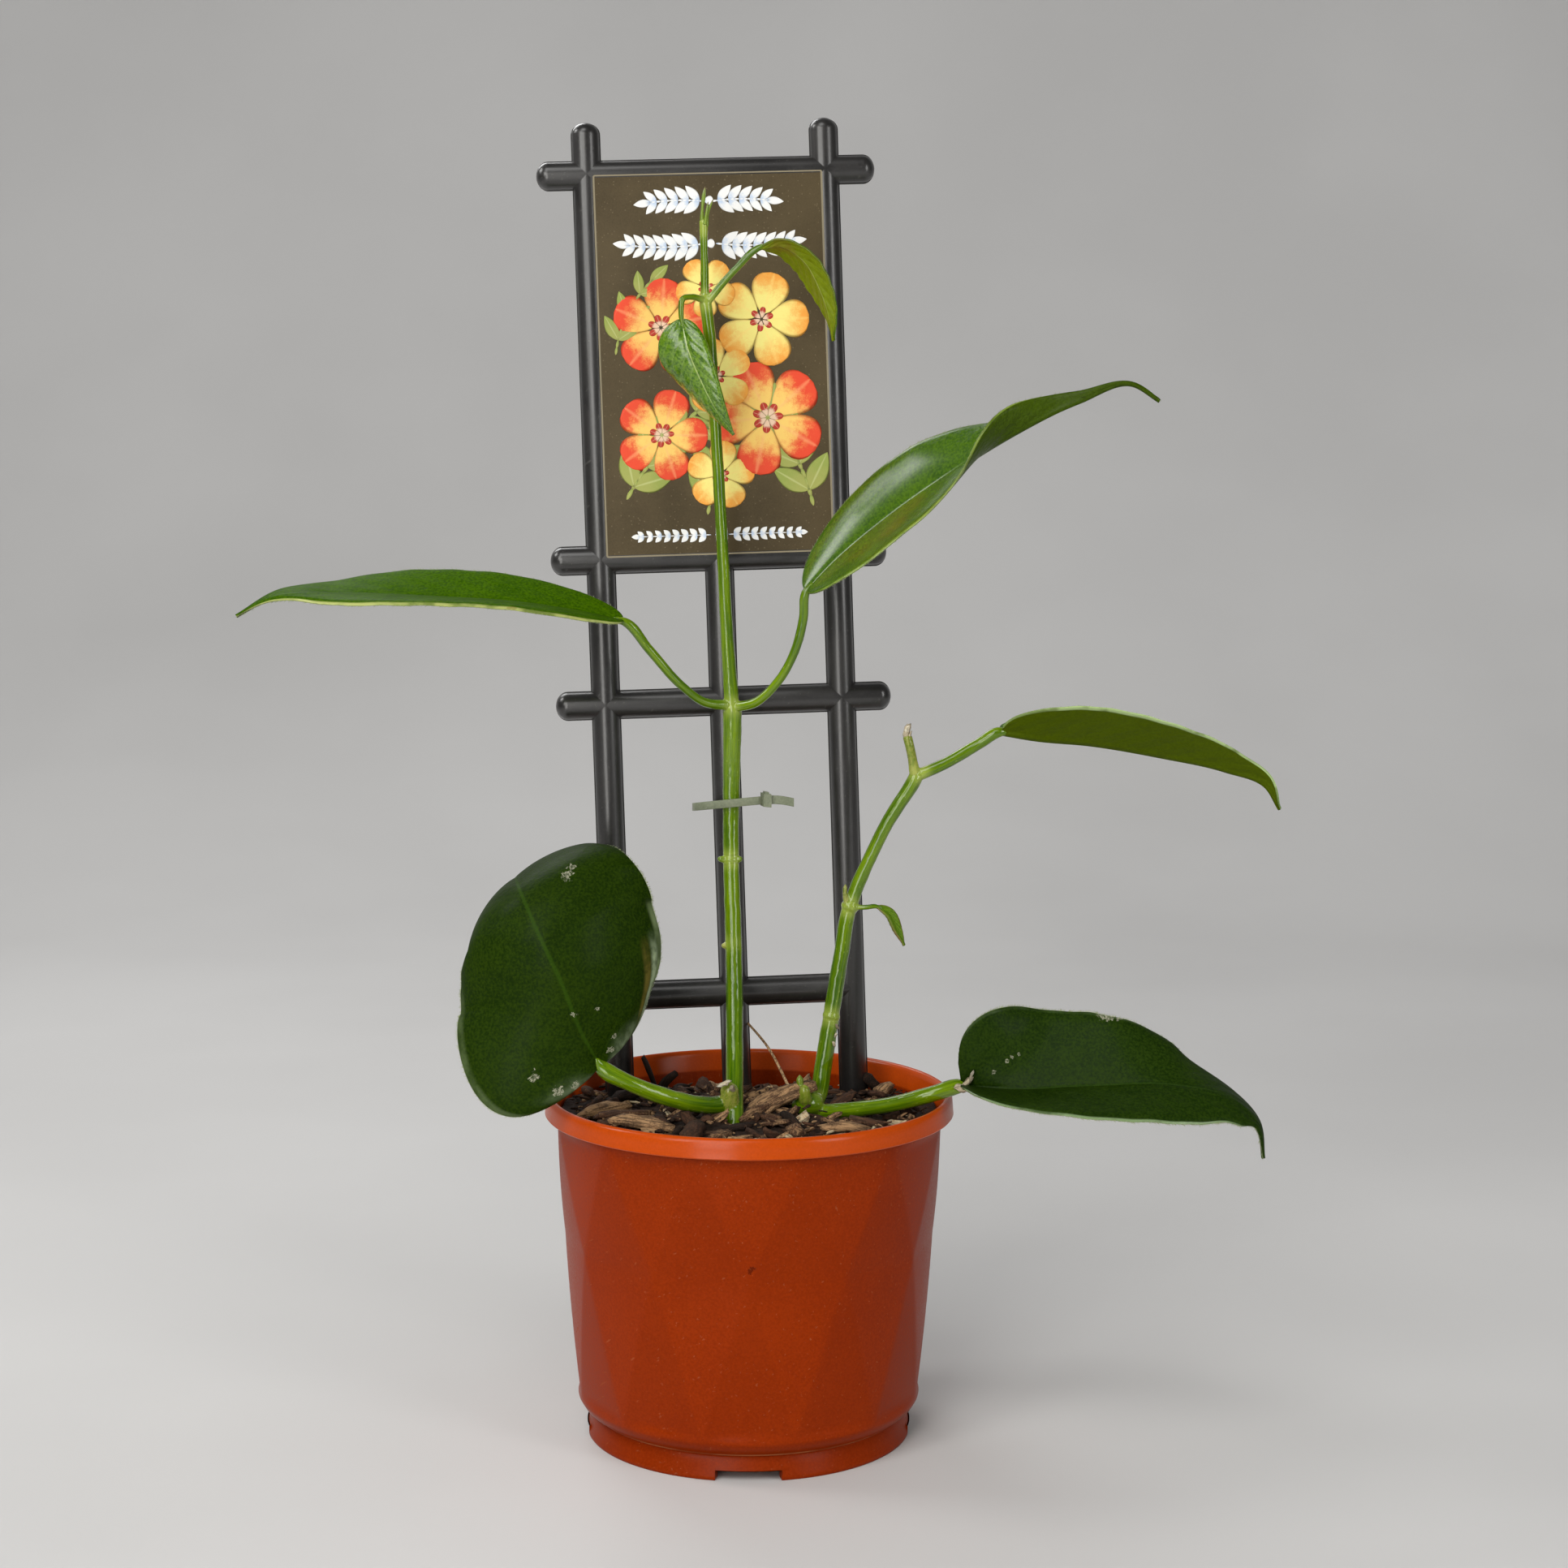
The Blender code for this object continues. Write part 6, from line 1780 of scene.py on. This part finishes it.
BLADES = (
    Blade("lower_left",
          route=mm(-49.5, -34, 134.8,  -54.8, -39, 145.9,  -62, -43, 165.5,  -68.6, -41, 179.2,
                   -75, -31, 191.1,  -78.9, -8, 193.1,  -79.5, 20, 182.2),
          facing=(-0.10, -0.95, 0.20), blunt=2.8, sharp=0.82,
          left=Half(0.0416, 0.15, (44, 0, -6, -2, 0), -40, 0.0041),
          right=Half(0.0433, 0.44, (-16, -15, -8, 13, 5), -38, 0.0034), finish=DARK_SKIN, slot=Slot.DARK,
          rows=140, columns=32, hairs=1800,
          scars=((0.565, 0.397, 0.0017), (0.600, 0.475, 0.0012), (0.898, -0.165, 0.0013),
                 (0.052, 0.322, 0.0009), (0.027, 0.244, 0.0011), (0.090, -0.505, 0.0015),
                 (0.016, -0.434, 0.0014), (0.035, -0.505, 0.0015), (0.179, 0.010, 0.0009),
                 (0.164, 0.205, 0.0007))),
    Blade("lower_right",
          route=mm(71.6, -16, 124,  86.4, -21, 123.7,  114.2, -28, 126.5,  141.7, -31, 127.5,
                   161.1, -32, 122.8,  169.5, -33, 115,  171.6, -32, 103.2),
          facing=(0.0, -0.30, 0.95), blunt=3.0, sharp=1.04,
          left=Half(0.0291, 0.22, (88, 46, 41, -2, -10), -7, 0.0036),
          right=Half(0.0233, 0.37, (28, 13, -1, -15, -4), -4, -0.0060, 0.85), finish=DARK_SKIN_RIGHT,
          slot=Slot.DARK, rows=140, columns=30, hairs=1800,
          scars=((0.420, -0.970, 0.0015), (0.445, -0.975, 0.0017), (0.470, -0.985, 0.0012),
                 (0.096, -0.218, 0.0006), (0.135, -0.342, 0.0007), (0.172, -0.422, 0.0006),
                 (0.150, -0.400, 0.0005))),
    Blade("upper_left",
          route=mm(-43.4, 8, 279.2,  -56.2, 6, 282,  -77.9, 3, 285.4,  -104.9, 0, 287.2,  -137.1, -3, 288.6,
                   -159.8, -5, 288.1,  -171.8, -5, 281.3),
          facing=(0.0, -0.10, 1.0), blunt=2.2, sharp=1.4, left=Half(0.0200, 0.48, (3, 9, -14), -12, 0.0),
          right=Half(0.0201, 0.50, (23, 23, 0), -2, 0.0015), finish=BRIGHT_SKIN, slot=Slot.BRIGHT,
          hairs=1500, yellowed=((0.289, -0.940, 0.0012), (0.300, -0.960, 0.0009))),
    Blade("upper_right",
          route=mm(19, 10, 289.5,  27.5, 9, 298.6,  47.1, 3, 315.6,  68.7, -6, 331.2,  87.2, -12, 343.1,
                   107.8, -16, 353.3,  124.8, -18, 358.9,  133.9, -18, 353.6),
          facing=(-0.35, -0.90, 0.35), blunt=2.1, sharp=2.17,
          left=Half(0.0202, 0.33, (-17, -7, -12, -52, -49), -22, 0.0016),
          right=Half(0.0204, 0.33, (28, 31, 49, 147, 78), 24, 0.0), finish=GLOSSY_SKIN, slot=Slot.BRIGHT,
          hairs=1500),
    Blade("side_top",
          route=mm(85.8, 11, 241.4,  97.5, 13, 239.2,  117.4, 16, 237,  141.6, 18, 232.6,  164.5, 20, 227.3,
                   178.9, 21.5, 221.5,  184, 22, 213.5),
          facing=(0.0, 0.10, 1.0), blunt=2.1, sharp=1.09, left=Half(0.0200, 0.40, (30, 30, 30), -10, 0.0020),
          right=Half(0.0195, 0.36, (47, 41, 59), 0, 0.0025), finish=UNDER_SKIN, slot=Slot.UNDERSIDE,
          hairs=420, hair_length=0.0005),
    Blade("side_small",
          route=mm(43.8, 8, 181.3,  47.7, 8, 179,  50.8, 8, 172.8,  53.1, 8, 167.7),
          facing=(0.45, -0.70, 0.45), blunt=2.0, sharp=1.0, left=Half(0.0024, 0.45, (10, 10, 10), 10, 0.0),
          right=Half(0.0022, 0.45, (10, 10, 10), 10, 0.0), finish=SMALL_SKIN, slot=Slot.UNDERSIDE,
          thickness=0.0007, base_width=0.0007, rows=40, columns=8, groove=0.0001, rib=0.0002, hairs=60,
          hair_length=0.0003, ripple=0.0001),
    Blade("young_left",
          route=mm(-23.5, 14, 380.2,  -21.2, 11.5, 370.6,  -17.1, 11, 360.8,  -11.4, 11, 350,
                   -5.9, 12, 341.9),
          facing=(-0.20, -0.95, 0.10), blunt=2.0, sharp=1.01,
          left=Half(0.0069, 0.29, (3, 23, 9), -22, 0.0003),
          right=Half(0.0126, 0.30, (27, -21, -36), -46, 0.0008),
          finish=YOUNG_SKIN, slot=Slot.YOUNG, thickness=0.0009, base_width=0.0008, rows=110, columns=18,
          quilt=0.0003, hairs=160, hair_length=0.0003, ripple=0.0001),
    Blade("young_right",
          route=mm(3.2, 17, 404.8,  9.8, 16, 405.7,  17.5, 15.3, 401.1,  23.5, 15, 390.9,  26.9, 15, 380.3,
                   27.8, 16, 373.6),
          facing=(-0.10, 0.60, 0.90), blunt=1.6, sharp=1.15,
          left=Half(0.0090, 0.44, (-16, -2, 6), 8, 0.0006),
          right=Half(0.0056, 0.49, (-7, 17, 43), 5, 0.0010), finish=YOUNG_UNDER_SKIN, slot=Slot.UNDERSIDE,
          thickness=0.0009, base_width=0.0008, rows=100, columns=16, hairs=160, hair_length=0.0003,
          ripple=0.0002, yellowed=((0.10, -0.30, 0.0035), (0.16, 0.10, 0.0040), (0.24, -0.10, 0.0030))),
)
BLADE = {blade.name: blade for blade in BLADES}


# ---- Stems


@dataclass(frozen=True)
class Stalk:
    """A round stem piece: its route, with radii spread evenly along it. It may run on into a leaf's base."""

    route: Route
    radii: tuple[float, ...]
    leaf: str = ""
    dry: float = 0.0
    reach: float = 0.004
    spacing: float = 0.0012

    def line(self) -> tuple[Array, Array]:
        """Its centres and radii, close together. Into a leaf it runs on for up to 4 mm, and thins."""
        knots, radii = np.array(self.route, float), np.array(self.radii, float)
        if self.leaf:
            rib = np.array(BLADE[self.leaf].route, float)
            base, ahead = rib[0], unit(rib[1] - rib[0])
            reach = min(self.reach, 0.35 * float(np.linalg.norm(rib[1] - rib[0])) + 0.0015)
            knots = np.vstack([knots, base, base + ahead * reach])
            radii = np.append(radii, [radii[-1] * 0.85, BLADE[self.leaf].thickness * 0.45])
            share = fractions_along(knots)
            spread = np.concatenate([np.linspace(0, share[-3], len(self.radii)), share[-2:]])
        else:
            share = fractions_along(knots)
            spread = np.linspace(0, 1, len(radii))
        length = float(np.linalg.norm(np.diff(knots, axis=0), axis=1).sum())
        at = np.linspace(0, 1, max(8, round(length / self.spacing)))
        centres = smooth(share, knots, at)
        thick = smooth(spread, radii, at)
        end = np.minimum(at, 1 - at) * length / np.maximum(thick, 1e-5)
        return centres, thick * np.sqrt(np.clip(1 - (1 - np.clip(end, 0, 1)) ** 2, 0.06, 1))


# The columns of a stem's samples: four rows of three numbers, and three numbers.
CENTRE, TANGENT, NORMAL, ACROSS = (slice(first, first + 3) for first in (0, 3, 6, 9))
RUN, RADIUS, DRY = 12, 13, 14


@dataclass
class Stem:
    """A stem with its stalks, grown into one skin."""

    name: str
    node: str
    stalks: tuple[Stalk, ...]
    rings: tuple[Point, ...]
    voxel: float = 0.00036
    sides: int = 20
    coarse_bumps: float = 0.035
    fine_bumps: float = 0.02
    ring_reach: float = 0.0042
    run_gap: float = 0.05
    finish: StemFinish = StemFinish("stem_skin")

    def build(self, effects: Effects) -> None:
        """Make round tubes, fuse them by a voxel remesh, and carry each point's place along its own stalk."""
        weave = Weave()
        samples = []
        run = 0.0
        for stalk in self.stalks:
            centres, radii = stalk.line()
            first = (1.0, 0.3, 0.1) if abs(unit(centres[1] - centres[0])[0]) < 0.8 else (0.0, 0.3, 1.0)
            rings, tangents, normals, across = tube(centres, radii, self.sides, first)
            bumps = 1 + self.coarse_bumps * lumps(rings, 320, 4) + self.fine_bumps * lumps(rings, 900, 6)
            rings = centres[:, None] + (rings - centres[:, None]) * bumps[..., None]
            weave.closed(rings)
            steps = np.concatenate([[0], np.cumsum(np.linalg.norm(np.diff(centres, axis=0), axis=1))])
            samples.append(np.column_stack([centres, tangents, normals, across, steps + run, radii,
                                            np.full(len(centres), stalk.dry)]))
            run += steps[-1] + self.run_gap
        made = weave.build(self.name)
        remesh = made.modifiers.new("fuse", "REMESH")
        remesh.mode = "VOXEL"
        remesh.voxel_size = self.voxel
        soften = made.modifiers.new("soften", "SMOOTH")
        soften.iterations = 4
        soften.factor = 0.5
        graph = bpy.context.evaluated_depsgraph_get()
        mesh = bpy.data.meshes.new_from_object(made.evaluated_get(graph))
        made.modifiers.clear()
        made.data = mesh
        self.carry(mesh, np.concatenate(samples))
        mesh.shade_smooth()
        place_piece(made, self.finish.material(effects), Slot.STEM, self.node)

    def carry(self, mesh: bpy.types.Mesh, samples: Array) -> None:
        """Carry on each point its place in its stalk's own frame, its nearness to a node, and how dry it is.

        The nearest centre is the one with the least distance less that place's radius. The coordinates are
        the offset along its normal and across, and the run along the stalk.
        """
        points = np.empty(len(mesh.vertices) * 3, np.float32)
        mesh.vertices.foreach_get("co", points)
        points = points.reshape(-1, 3).astype(float)
        nearest = np.empty(len(points), int)
        for part in np.array_split(np.arange(len(points)), max(1, len(points) // 4000)):
            away = np.linalg.norm(points[part, None] - samples[None, :, CENTRE], axis=-1)
            nearest[part] = (away - samples[None, :, RADIUS]).argmin(axis=1)
        at = samples[nearest]
        offset = points - at[:, CENTRE]
        over, beside, ahead = (np.einsum("ij,ij->i", offset, at[:, part])
                               for part in (NORMAL, ACROSS, TANGENT))
        skin = np.stack([over, beside, at[:, RUN] + ahead], axis=-1)
        ring = np.zeros(len(points))
        for centre in self.rings:
            away = np.linalg.norm(points - centre, axis=1)
            ring = np.maximum(ring, np.exp(-((away / self.ring_reach) ** 4)))
        for name, values in (("skin", skin), ("ring", ring), ("dry", at[:, DRY])):
            write_values(mesh, name, values)


MAIN_STALKS = (
    Stalk(mm(-4.8, -25, 96,  -5, -22, 110.2,  -5.1, -4, 131.9,  -5.6, 14, 168,  -6.6, 22.5, 196,
             -6.6, 25, 214.7,  -6.3, 24.5, 240.2,  -6.1, 24, 251), (0.0031, 0.0030, 0.0029, 0.0029, 0.0034)),
    Stalk(mm(-6.1, 24, 245,  -7.8, 23, 268.5,  -10.1, 22, 310.4,  -12.6, 22, 351.7,  -14.6, 22, 379,
             -16, 22, 389), (0.0027, 0.0022, 0.00205, 0.0020, 0.0022)),
    Stalk(mm(-15.8, 22, 386,  -15.9, 22, 398.1,  -16.2, 22, 408.9,
             -16.2, 22, 415), (0.0016, 0.0014, 0.0013, 0.0016)),
    Stalk(mm(-7, 23.5, 249,  -15.8, 19, 250.6,  -24.1, 15, 257.1,
             -34.5, 11, 269.3), (0.0019, 0.00155, 0.00155, 0.0016), "upper_left"),
    Stalk(mm(-5.5, 23.5, 248.5,  1.5, 19, 250.4,  9.3, 16, 257.9,  15.3, 13, 269.3,
             18, 11.5, 280.5), (0.0019, 0.00155, 0.00155, 0.0016), "upper_right"),
    Stalk(mm(-5, -14, 119.5,  -8.6, -17, 118.2,  -16.4, -24, 119.3,  -24.4, -29, 122.1,  -32.2, -32, 125.3,
             -39.9, -34, 129), (0.0030, 0.0029, 0.0029, 0.0027), "lower_left"),
    Stalk(mm(-16, 21.5, 387.2,  -20.5, 17, 388.1,  -23.2, 15, 387.4,
             -23.7, 14.5, 384.2), (0.0012, 0.00105, 0.0010), "young_left"),
    Stalk(mm(-15, 21.5, 386.5,  -5.2, 19, 397.7), (0.0014, 0.0013, 0.0012), "young_right"),
    Stalk(mm(-5.2, -16.5, 113,  -6.6, -19, 120,  -6.9, -19.5, 126), (0.0030, 0.0030, 0.0031), dry=0.30),
    Stalk(mm(-6.7, 22.1, 193.1,  -6.6, 22.8, 197.4), (0.0035, 0.0037, 0.0035)),
    Stalk(mm(-7.8, 21.5, 195.3,  -11.3, 20.5, 196), (0.0014, 0.0010)),
    Stalk(mm(-5.8, 21.5, 195.3,  -2.5, 20.5, 196), (0.0014, 0.0010)),
    Stalk(mm(-6.6, 15, 166.5,  -9.7, 12, 166.8), (0.0014, 0.0009), dry=0.35),
)
SIDE_STALKS = (
    Stalk(mm(21.2, 2, 96,  21.6, 3, 106.1,  22.3, 4, 112.5,  24, 4.7, 117.2,  25.4, 5.6, 126,
             28.1, 7, 143.2,  31.3, 8.5, 163.4,  34.4, 10, 180.9,  37.1, 10, 188.6,  41.2, 10, 197.9,
             47.2, 10, 210.3,  54.4, 10, 221.8,
             57.7, 10, 227.5), (0.0032, 0.0031, 0.0028, 0.0026, 0.0023, 0.0026)),
    Stalk(mm(27.8, 6.7, 140.8,  28.5, 7.3, 145.6), (0.0033, 0.0035, 0.0033)),
    Stalk(mm(33.6, 9.5, 178.3,  35.3, 10.2, 183.7), (0.0029, 0.0032, 0.0029)),
    Stalk(mm(19, 4, 108.5,  25.5, -1, 111.1,  36.2, -7, 113.7,  49.2, -13, 117.1,
             63, -17.5, 121.9), (0.0029, 0.0027, 0.0026, 0.0027), "lower_right"),
    Stalk(mm(56.5, 10, 226,  67.7, 11, 231,  78, 12, 237), (0.0022, 0.0020, 0.0020), "side_top"),
    Stalk(mm(56.5, 9.8, 226,  54.8, 9, 235.1,  53.3, 9, 241), (0.0020, 0.0016, 0.0017), dry=0.25),
    Stalk(mm(34.5, 9.5, 180.8,  39.6, 8, 181), (0.0010, 0.0009, 0.0009), "side_small"),
    Stalk(mm(34, 9, 180,  32.6, 8, 185.5,  32.8, 8, 189.3), (0.0012, 0.0009, 0.0007), dry=0.3),
    Stalk(mm(14.5, -3, 114,  20, -2, 114.5,  25, 1, 114.5), (0.0030, 0.0042, 0.0034)),
    Stalk(mm(17.2, -3, 115,  17.3, -4, 120,  17.2, -4, 125), (0.0016, 0.0014, 0.0012), dry=0.10),
    Stalk(mm(19, -4, 115,  18.9, -6.2, 119,  18.7, -6.6, 122.2), (0.0022, 0.0022, 0.0016), dry=0.20),
)
MAIN_RINGS = mm(-6.1, 24, 249,  -6.7, 22.5, 195.3,  -15.5, 21.8, 387,  -6.1, 15, 166.5,  -16.2, 21.8, 412)
SIDE_RINGS = mm(57.7, 10, 227.5,  28.1, 7, 143.2,  34.4, 9.8, 180.9,  22, 0, 115)


@dataclass
class DryScraps:
    """Papery scraps at old nodes: small crumpled flakes in cream."""

    places: tuple[tuple[float, ...], ...] = (
        # x, y, z, length, width, height, yaw, pitch, roll
        (0.0735, -0.0190, 0.1262, 0.0060, 0.0022, 0.0012, 30, -35, 20),
        (0.0715, -0.0200, 0.1240, 0.0050, 0.0030, 0.0020, -10, 5, 40),
        (0.0745, -0.0205, 0.1285, 0.0040, 0.0012, 0.0008, 60, -50, 0),
        (-0.0085, -0.0230, 0.1262, 0.0050, 0.0026, 0.0014, 20, -20, 10),
        (-0.0058, -0.0225, 0.1245, 0.0040, 0.0022, 0.0016, 80, 40, 0),
        (0.0532, 0.0088, 0.2412, 0.0060, 0.0026, 0.0024, 100, 74, 0),
        (0.0543, 0.0084, 0.2392, 0.0056, 0.0012, 0.0010, 80, 78, 0),
        (0.0300, 0.0050, 0.1400, 0.0022, 0.0012, 0.0010, 20, 60, 0),
        (0.0296, 0.0046, 0.1370, 0.0018, 0.0012, 0.0010, 120, 50, 0),
        (0.0290, 0.0042, 0.1340, 0.0020, 0.0012, 0.0010, 60, 65, 0),
        (-0.0500, -0.0345, 0.1352, 0.0026, 0.0014, 0.0008, 70, 30, 0),
    )
    seed: int = 3
    finish: BarkFinish = BarkFinish("dry_scraps", shade=(0.20, 0.15, 0.09), brown=(0.34, 0.26, 0.16),
                                    tan=(0.52, 0.44, 0.30), cream=(0.70, 0.65, 0.52))

    def build(self, effects: Effects) -> None:
        """Make the flakes as splintered slabs."""
        rows = np.array(self.places)
        draws = np.random.default_rng(self.seed)
        tones = draws.uniform(0.7, 1.0, len(rows))
        points, skin, tone = BarkMix.pieces(rows[:, :3], rows[:, 3:6], *np.radians(rows[:, 6:9]).T, tones,
                                            draws)
        weave = Weave().closed(points, tone=tone, skin=skin)
        place_piece(weave.build("dry_scraps"), self.finish.material(effects), Slot.STEM)


@dataclass
class Buds:
    """The growing tip of the main stem: thin pointed buds, side by side, with dry points."""

    routes: tuple[tuple[Route, tuple[float, ...]], ...] = (
        (mm(-16.5, 21.8, 411,  -16.7, 21.4, 416,  -16.3, 21.1, 421,  -15.7, 21, 425),
         (0.0012, 0.0008, 0.0005, 0.0007, 0.0003)),
        (mm(-15.5, 21.6, 412,  -14.8, 20.9, 416.5,  -13, 20.7, 420.8),
         (0.0010, 0.0006, 0.0005, 0.0002)),
        (mm(-15.8, 20.7, 412.5,  -15.2, 20, 416.5,  -14.7, 20, 420),
         (0.0007, 0.0005, 0.0004, 0.0002)),
    )
    steps: int = 26
    sides: int = 12
    flatness: float = 0.75
    finish: StemFinish = StemFinish("bud_skin", tip=(0.16, 0.11, 0.03))

    def build(self, effects: Effects) -> None:
        """Make each bud as a tube along its route, with radii that shrink to its point."""
        weave = Weave()
        s = np.linspace(0, 1, self.steps)
        for knots, radii in self.routes:
            knots = np.array(knots, float)
            route = smooth(fractions_along(knots), knots, s)
            thick = smooth(np.linspace(0, 1, len(radii)), radii, s) * np.sqrt(1 - s**24 + 0.02)
            rings, _, normals, _ = tube(route, thick, self.sides, (0.0, -1.0, 0.0))
            offset = rings - route[:, None]
            depth = np.einsum("rsi,ri->rs", offset, normals)
            rings = rings - normals[:, None] * (depth * (1 - self.flatness))[..., None]
            skin = np.concatenate([offset[..., :2],
                                   np.broadcast_to(s[:, None, None] * 0.01, (*rings.shape[:2], 1))], -1)
            weave.closed(rings, skin=skin, ring=0.35, dry=eased(s, 0.80, 1.0)[:, None])
        place_piece(weave.build("tip_buds"), self.finish.material(effects), Slot.STEM)


# ---- Studio


@dataclass
class Studio:
    """A pale floor, soft lights and the camera at the photograph's place."""

    camera_place: Point = (0.0, -0.982365, 0.345169)
    yaw: float = 0.011656
    pitch: float = 0.122118
    roll: float = 0.003961
    focal_pixels: float = 3600.0
    frame_pixels: float = 1932.0
    sensor: float = 36.0
    floor_size: float = 8.0
    bend_start: float = 0.9
    bend: float = 1.0
    floor_dark: Colour = (0.60, 0.595, 0.59)
    floor_light: Colour = (0.64, 0.635, 0.63)
    surround: Colour = (0.95, 0.96, 0.97)

    def camera(self) -> None:
        """The camera: turned to the right by yaw, down by pitch, and rolled."""
        forward = np.array([math.sin(self.yaw) * math.cos(self.pitch),
                            math.cos(self.yaw) * math.cos(self.pitch), -math.sin(self.pitch)])
        level = np.array([math.cos(self.yaw), -math.sin(self.yaw), 0.0])
        rise = np.cross(level, forward)
        right = math.cos(self.roll) * level + math.sin(self.roll) * rise
        up = -math.sin(self.roll) * level + math.cos(self.roll) * rise
        data = bpy.data.cameras.new("camera")
        data.sensor_fit = "HORIZONTAL"
        data.sensor_width = self.sensor
        data.lens = self.sensor * self.focal_pixels / self.frame_pixels
        data.clip_start = 0.05
        made = bpy.data.objects.new("camera", data)
        bpy.context.scene.collection.objects.link(made)
        turned = Matrix(np.column_stack([right, up, -forward]).tolist()).to_4x4()
        made.matrix_world = Matrix.Translation(self.camera_place) @ turned
        bpy.context.scene.camera = made

    @staticmethod
    def light(name: str, kind: str, place: Point, aim: Point, size: float,
              power: float, tint: Colour = (1.0, 1.0, 1.0), tall: float | None = None) -> None:
        """A soft light that faces a point: a panel, sized in metres, or a sun, as wide as an angle."""
        data = bpy.data.lights.new(name, kind)
        if kind == "SUN":
            data.angle = math.radians(size)
        else:
            data.shape = "RECTANGLE"
            data.size = size
            data.size_y = tall or size
        data.energy = power
        data.color = tint
        made = bpy.data.objects.new(name, data)
        bpy.context.scene.collection.objects.link(made)
        made.location = place
        made.rotation_euler = (Vector(aim) - Vector(place)).to_track_quat("-Z", "Y").to_euler()

    def floor(self) -> None:
        """A wide pale floor just under the pot, which curves up behind it."""
        half = self.floor_size / 2
        turn = np.linspace(0, np.pi / 2, 24)
        arc = np.stack([self.bend_start + self.bend * np.sin(turn), self.bend * (1 - np.cos(turn))], -1)
        line = np.vstack([(-half, 0.0), arc, (arc[-1, 0], half)])
        rows = np.column_stack([np.zeros(len(line)), line]) - (0, 0, 0.0001)
        made = Weave().grids(rows[:, None] + np.array([(-half, 0, 0), (half, 0, 0)])).build("floor")
        look, g, shader = new_material("pale_floor", Roughness=0.75, Specular_Ior_Level=0.2)
        tone = g.step(g.noise(g.own(), 3.0), 0.3, 0.7, 0.0, 1.0)
        g.feed(shader, Base_Color=g.mix(tone, self.floor_dark, self.floor_light))
        made.data.materials.append(look)

    def world(self) -> None:
        """A pale surround: brightest where the camera sees it, and dimmest in reflections."""
        world = bpy.data.worlds.new("pale_surround")
        world.use_nodes = True
        bpy.context.scene.world = world
        g = Graph(world.node_tree)
        back = world.node_tree.nodes["Background"]
        back.inputs["Color"].default_value = (*self.surround, 1.0)
        path = g.add("ShaderNodeLightPath").outputs
        seen = g.step(path["Is Camera Ray"], 0.0, 1.0, 0.24, 0.62)
        g.feed(back, Strength=g.times(seen, g.step(path["Is Glossy Ray"], 0.0, 1.0, 1.0, 0.35)))

    def build(self) -> None:
        """Set up the floor, the lights, the surround and the camera."""
        self.floor()
        self.world()
        self.camera()
        middle = (0.0, 0.0, 0.20)
        self.light("even", "SUN", (-0.8, -2.0, 3.0), middle, 30.0, 0.75, (1.0, 0.99, 0.97))
        self.light("front", "AREA", (-0.42, -1.26, 0.50), (0.0, 0.0, 0.36), 0.46, 8.6, (1.0, 0.98, 0.94),
                   1.20)
        self.light("key", "AREA", (-0.76, -0.92, 0.85), middle, 0.34, 4.0, (1.0, 0.985, 0.95), 0.60)
        self.light("fill", "AREA", (0.92, -0.86, 0.60), middle, 0.34, 4.2, (1.0, 0.99, 0.97), 0.70)
        self.light("side", "AREA", (-0.96, 0.13, 0.98), (0.02, 0.01, 0.29), 0.34, 3.4, (1.0, 0.99, 0.97))
        self.light("rear", "AREA", (-0.40, 0.80, 0.95), middle, 0.50, 3.0)
        bpy.context.scene.view_settings.view_transform = "Standard"


def main() -> None:
    """Build every sub-assembly in order, then the studio."""
    logging.basicConfig(level=logging.INFO, format="%(name)s: %(message)s")
    effects = Effects()
    pot = Pot()
    pot.build(effects)
    BarkMix().build(pot, effects)
    Trellis().build(effects)
    Card().build(effects)
    Tie().build(effects)
    for blade in BLADES:
        blade.build(effects)
    Stem("main_stem_skin", "stem_main", MAIN_STALKS, MAIN_RINGS).build(effects)
    Stem("side_stem_skin", "stem_side", SIDE_STALKS, SIDE_RINGS).build(effects)
    Buds().build(effects)
    DryScraps().build(effects)
    Studio().build()


if __name__ == "__main__":
    main()
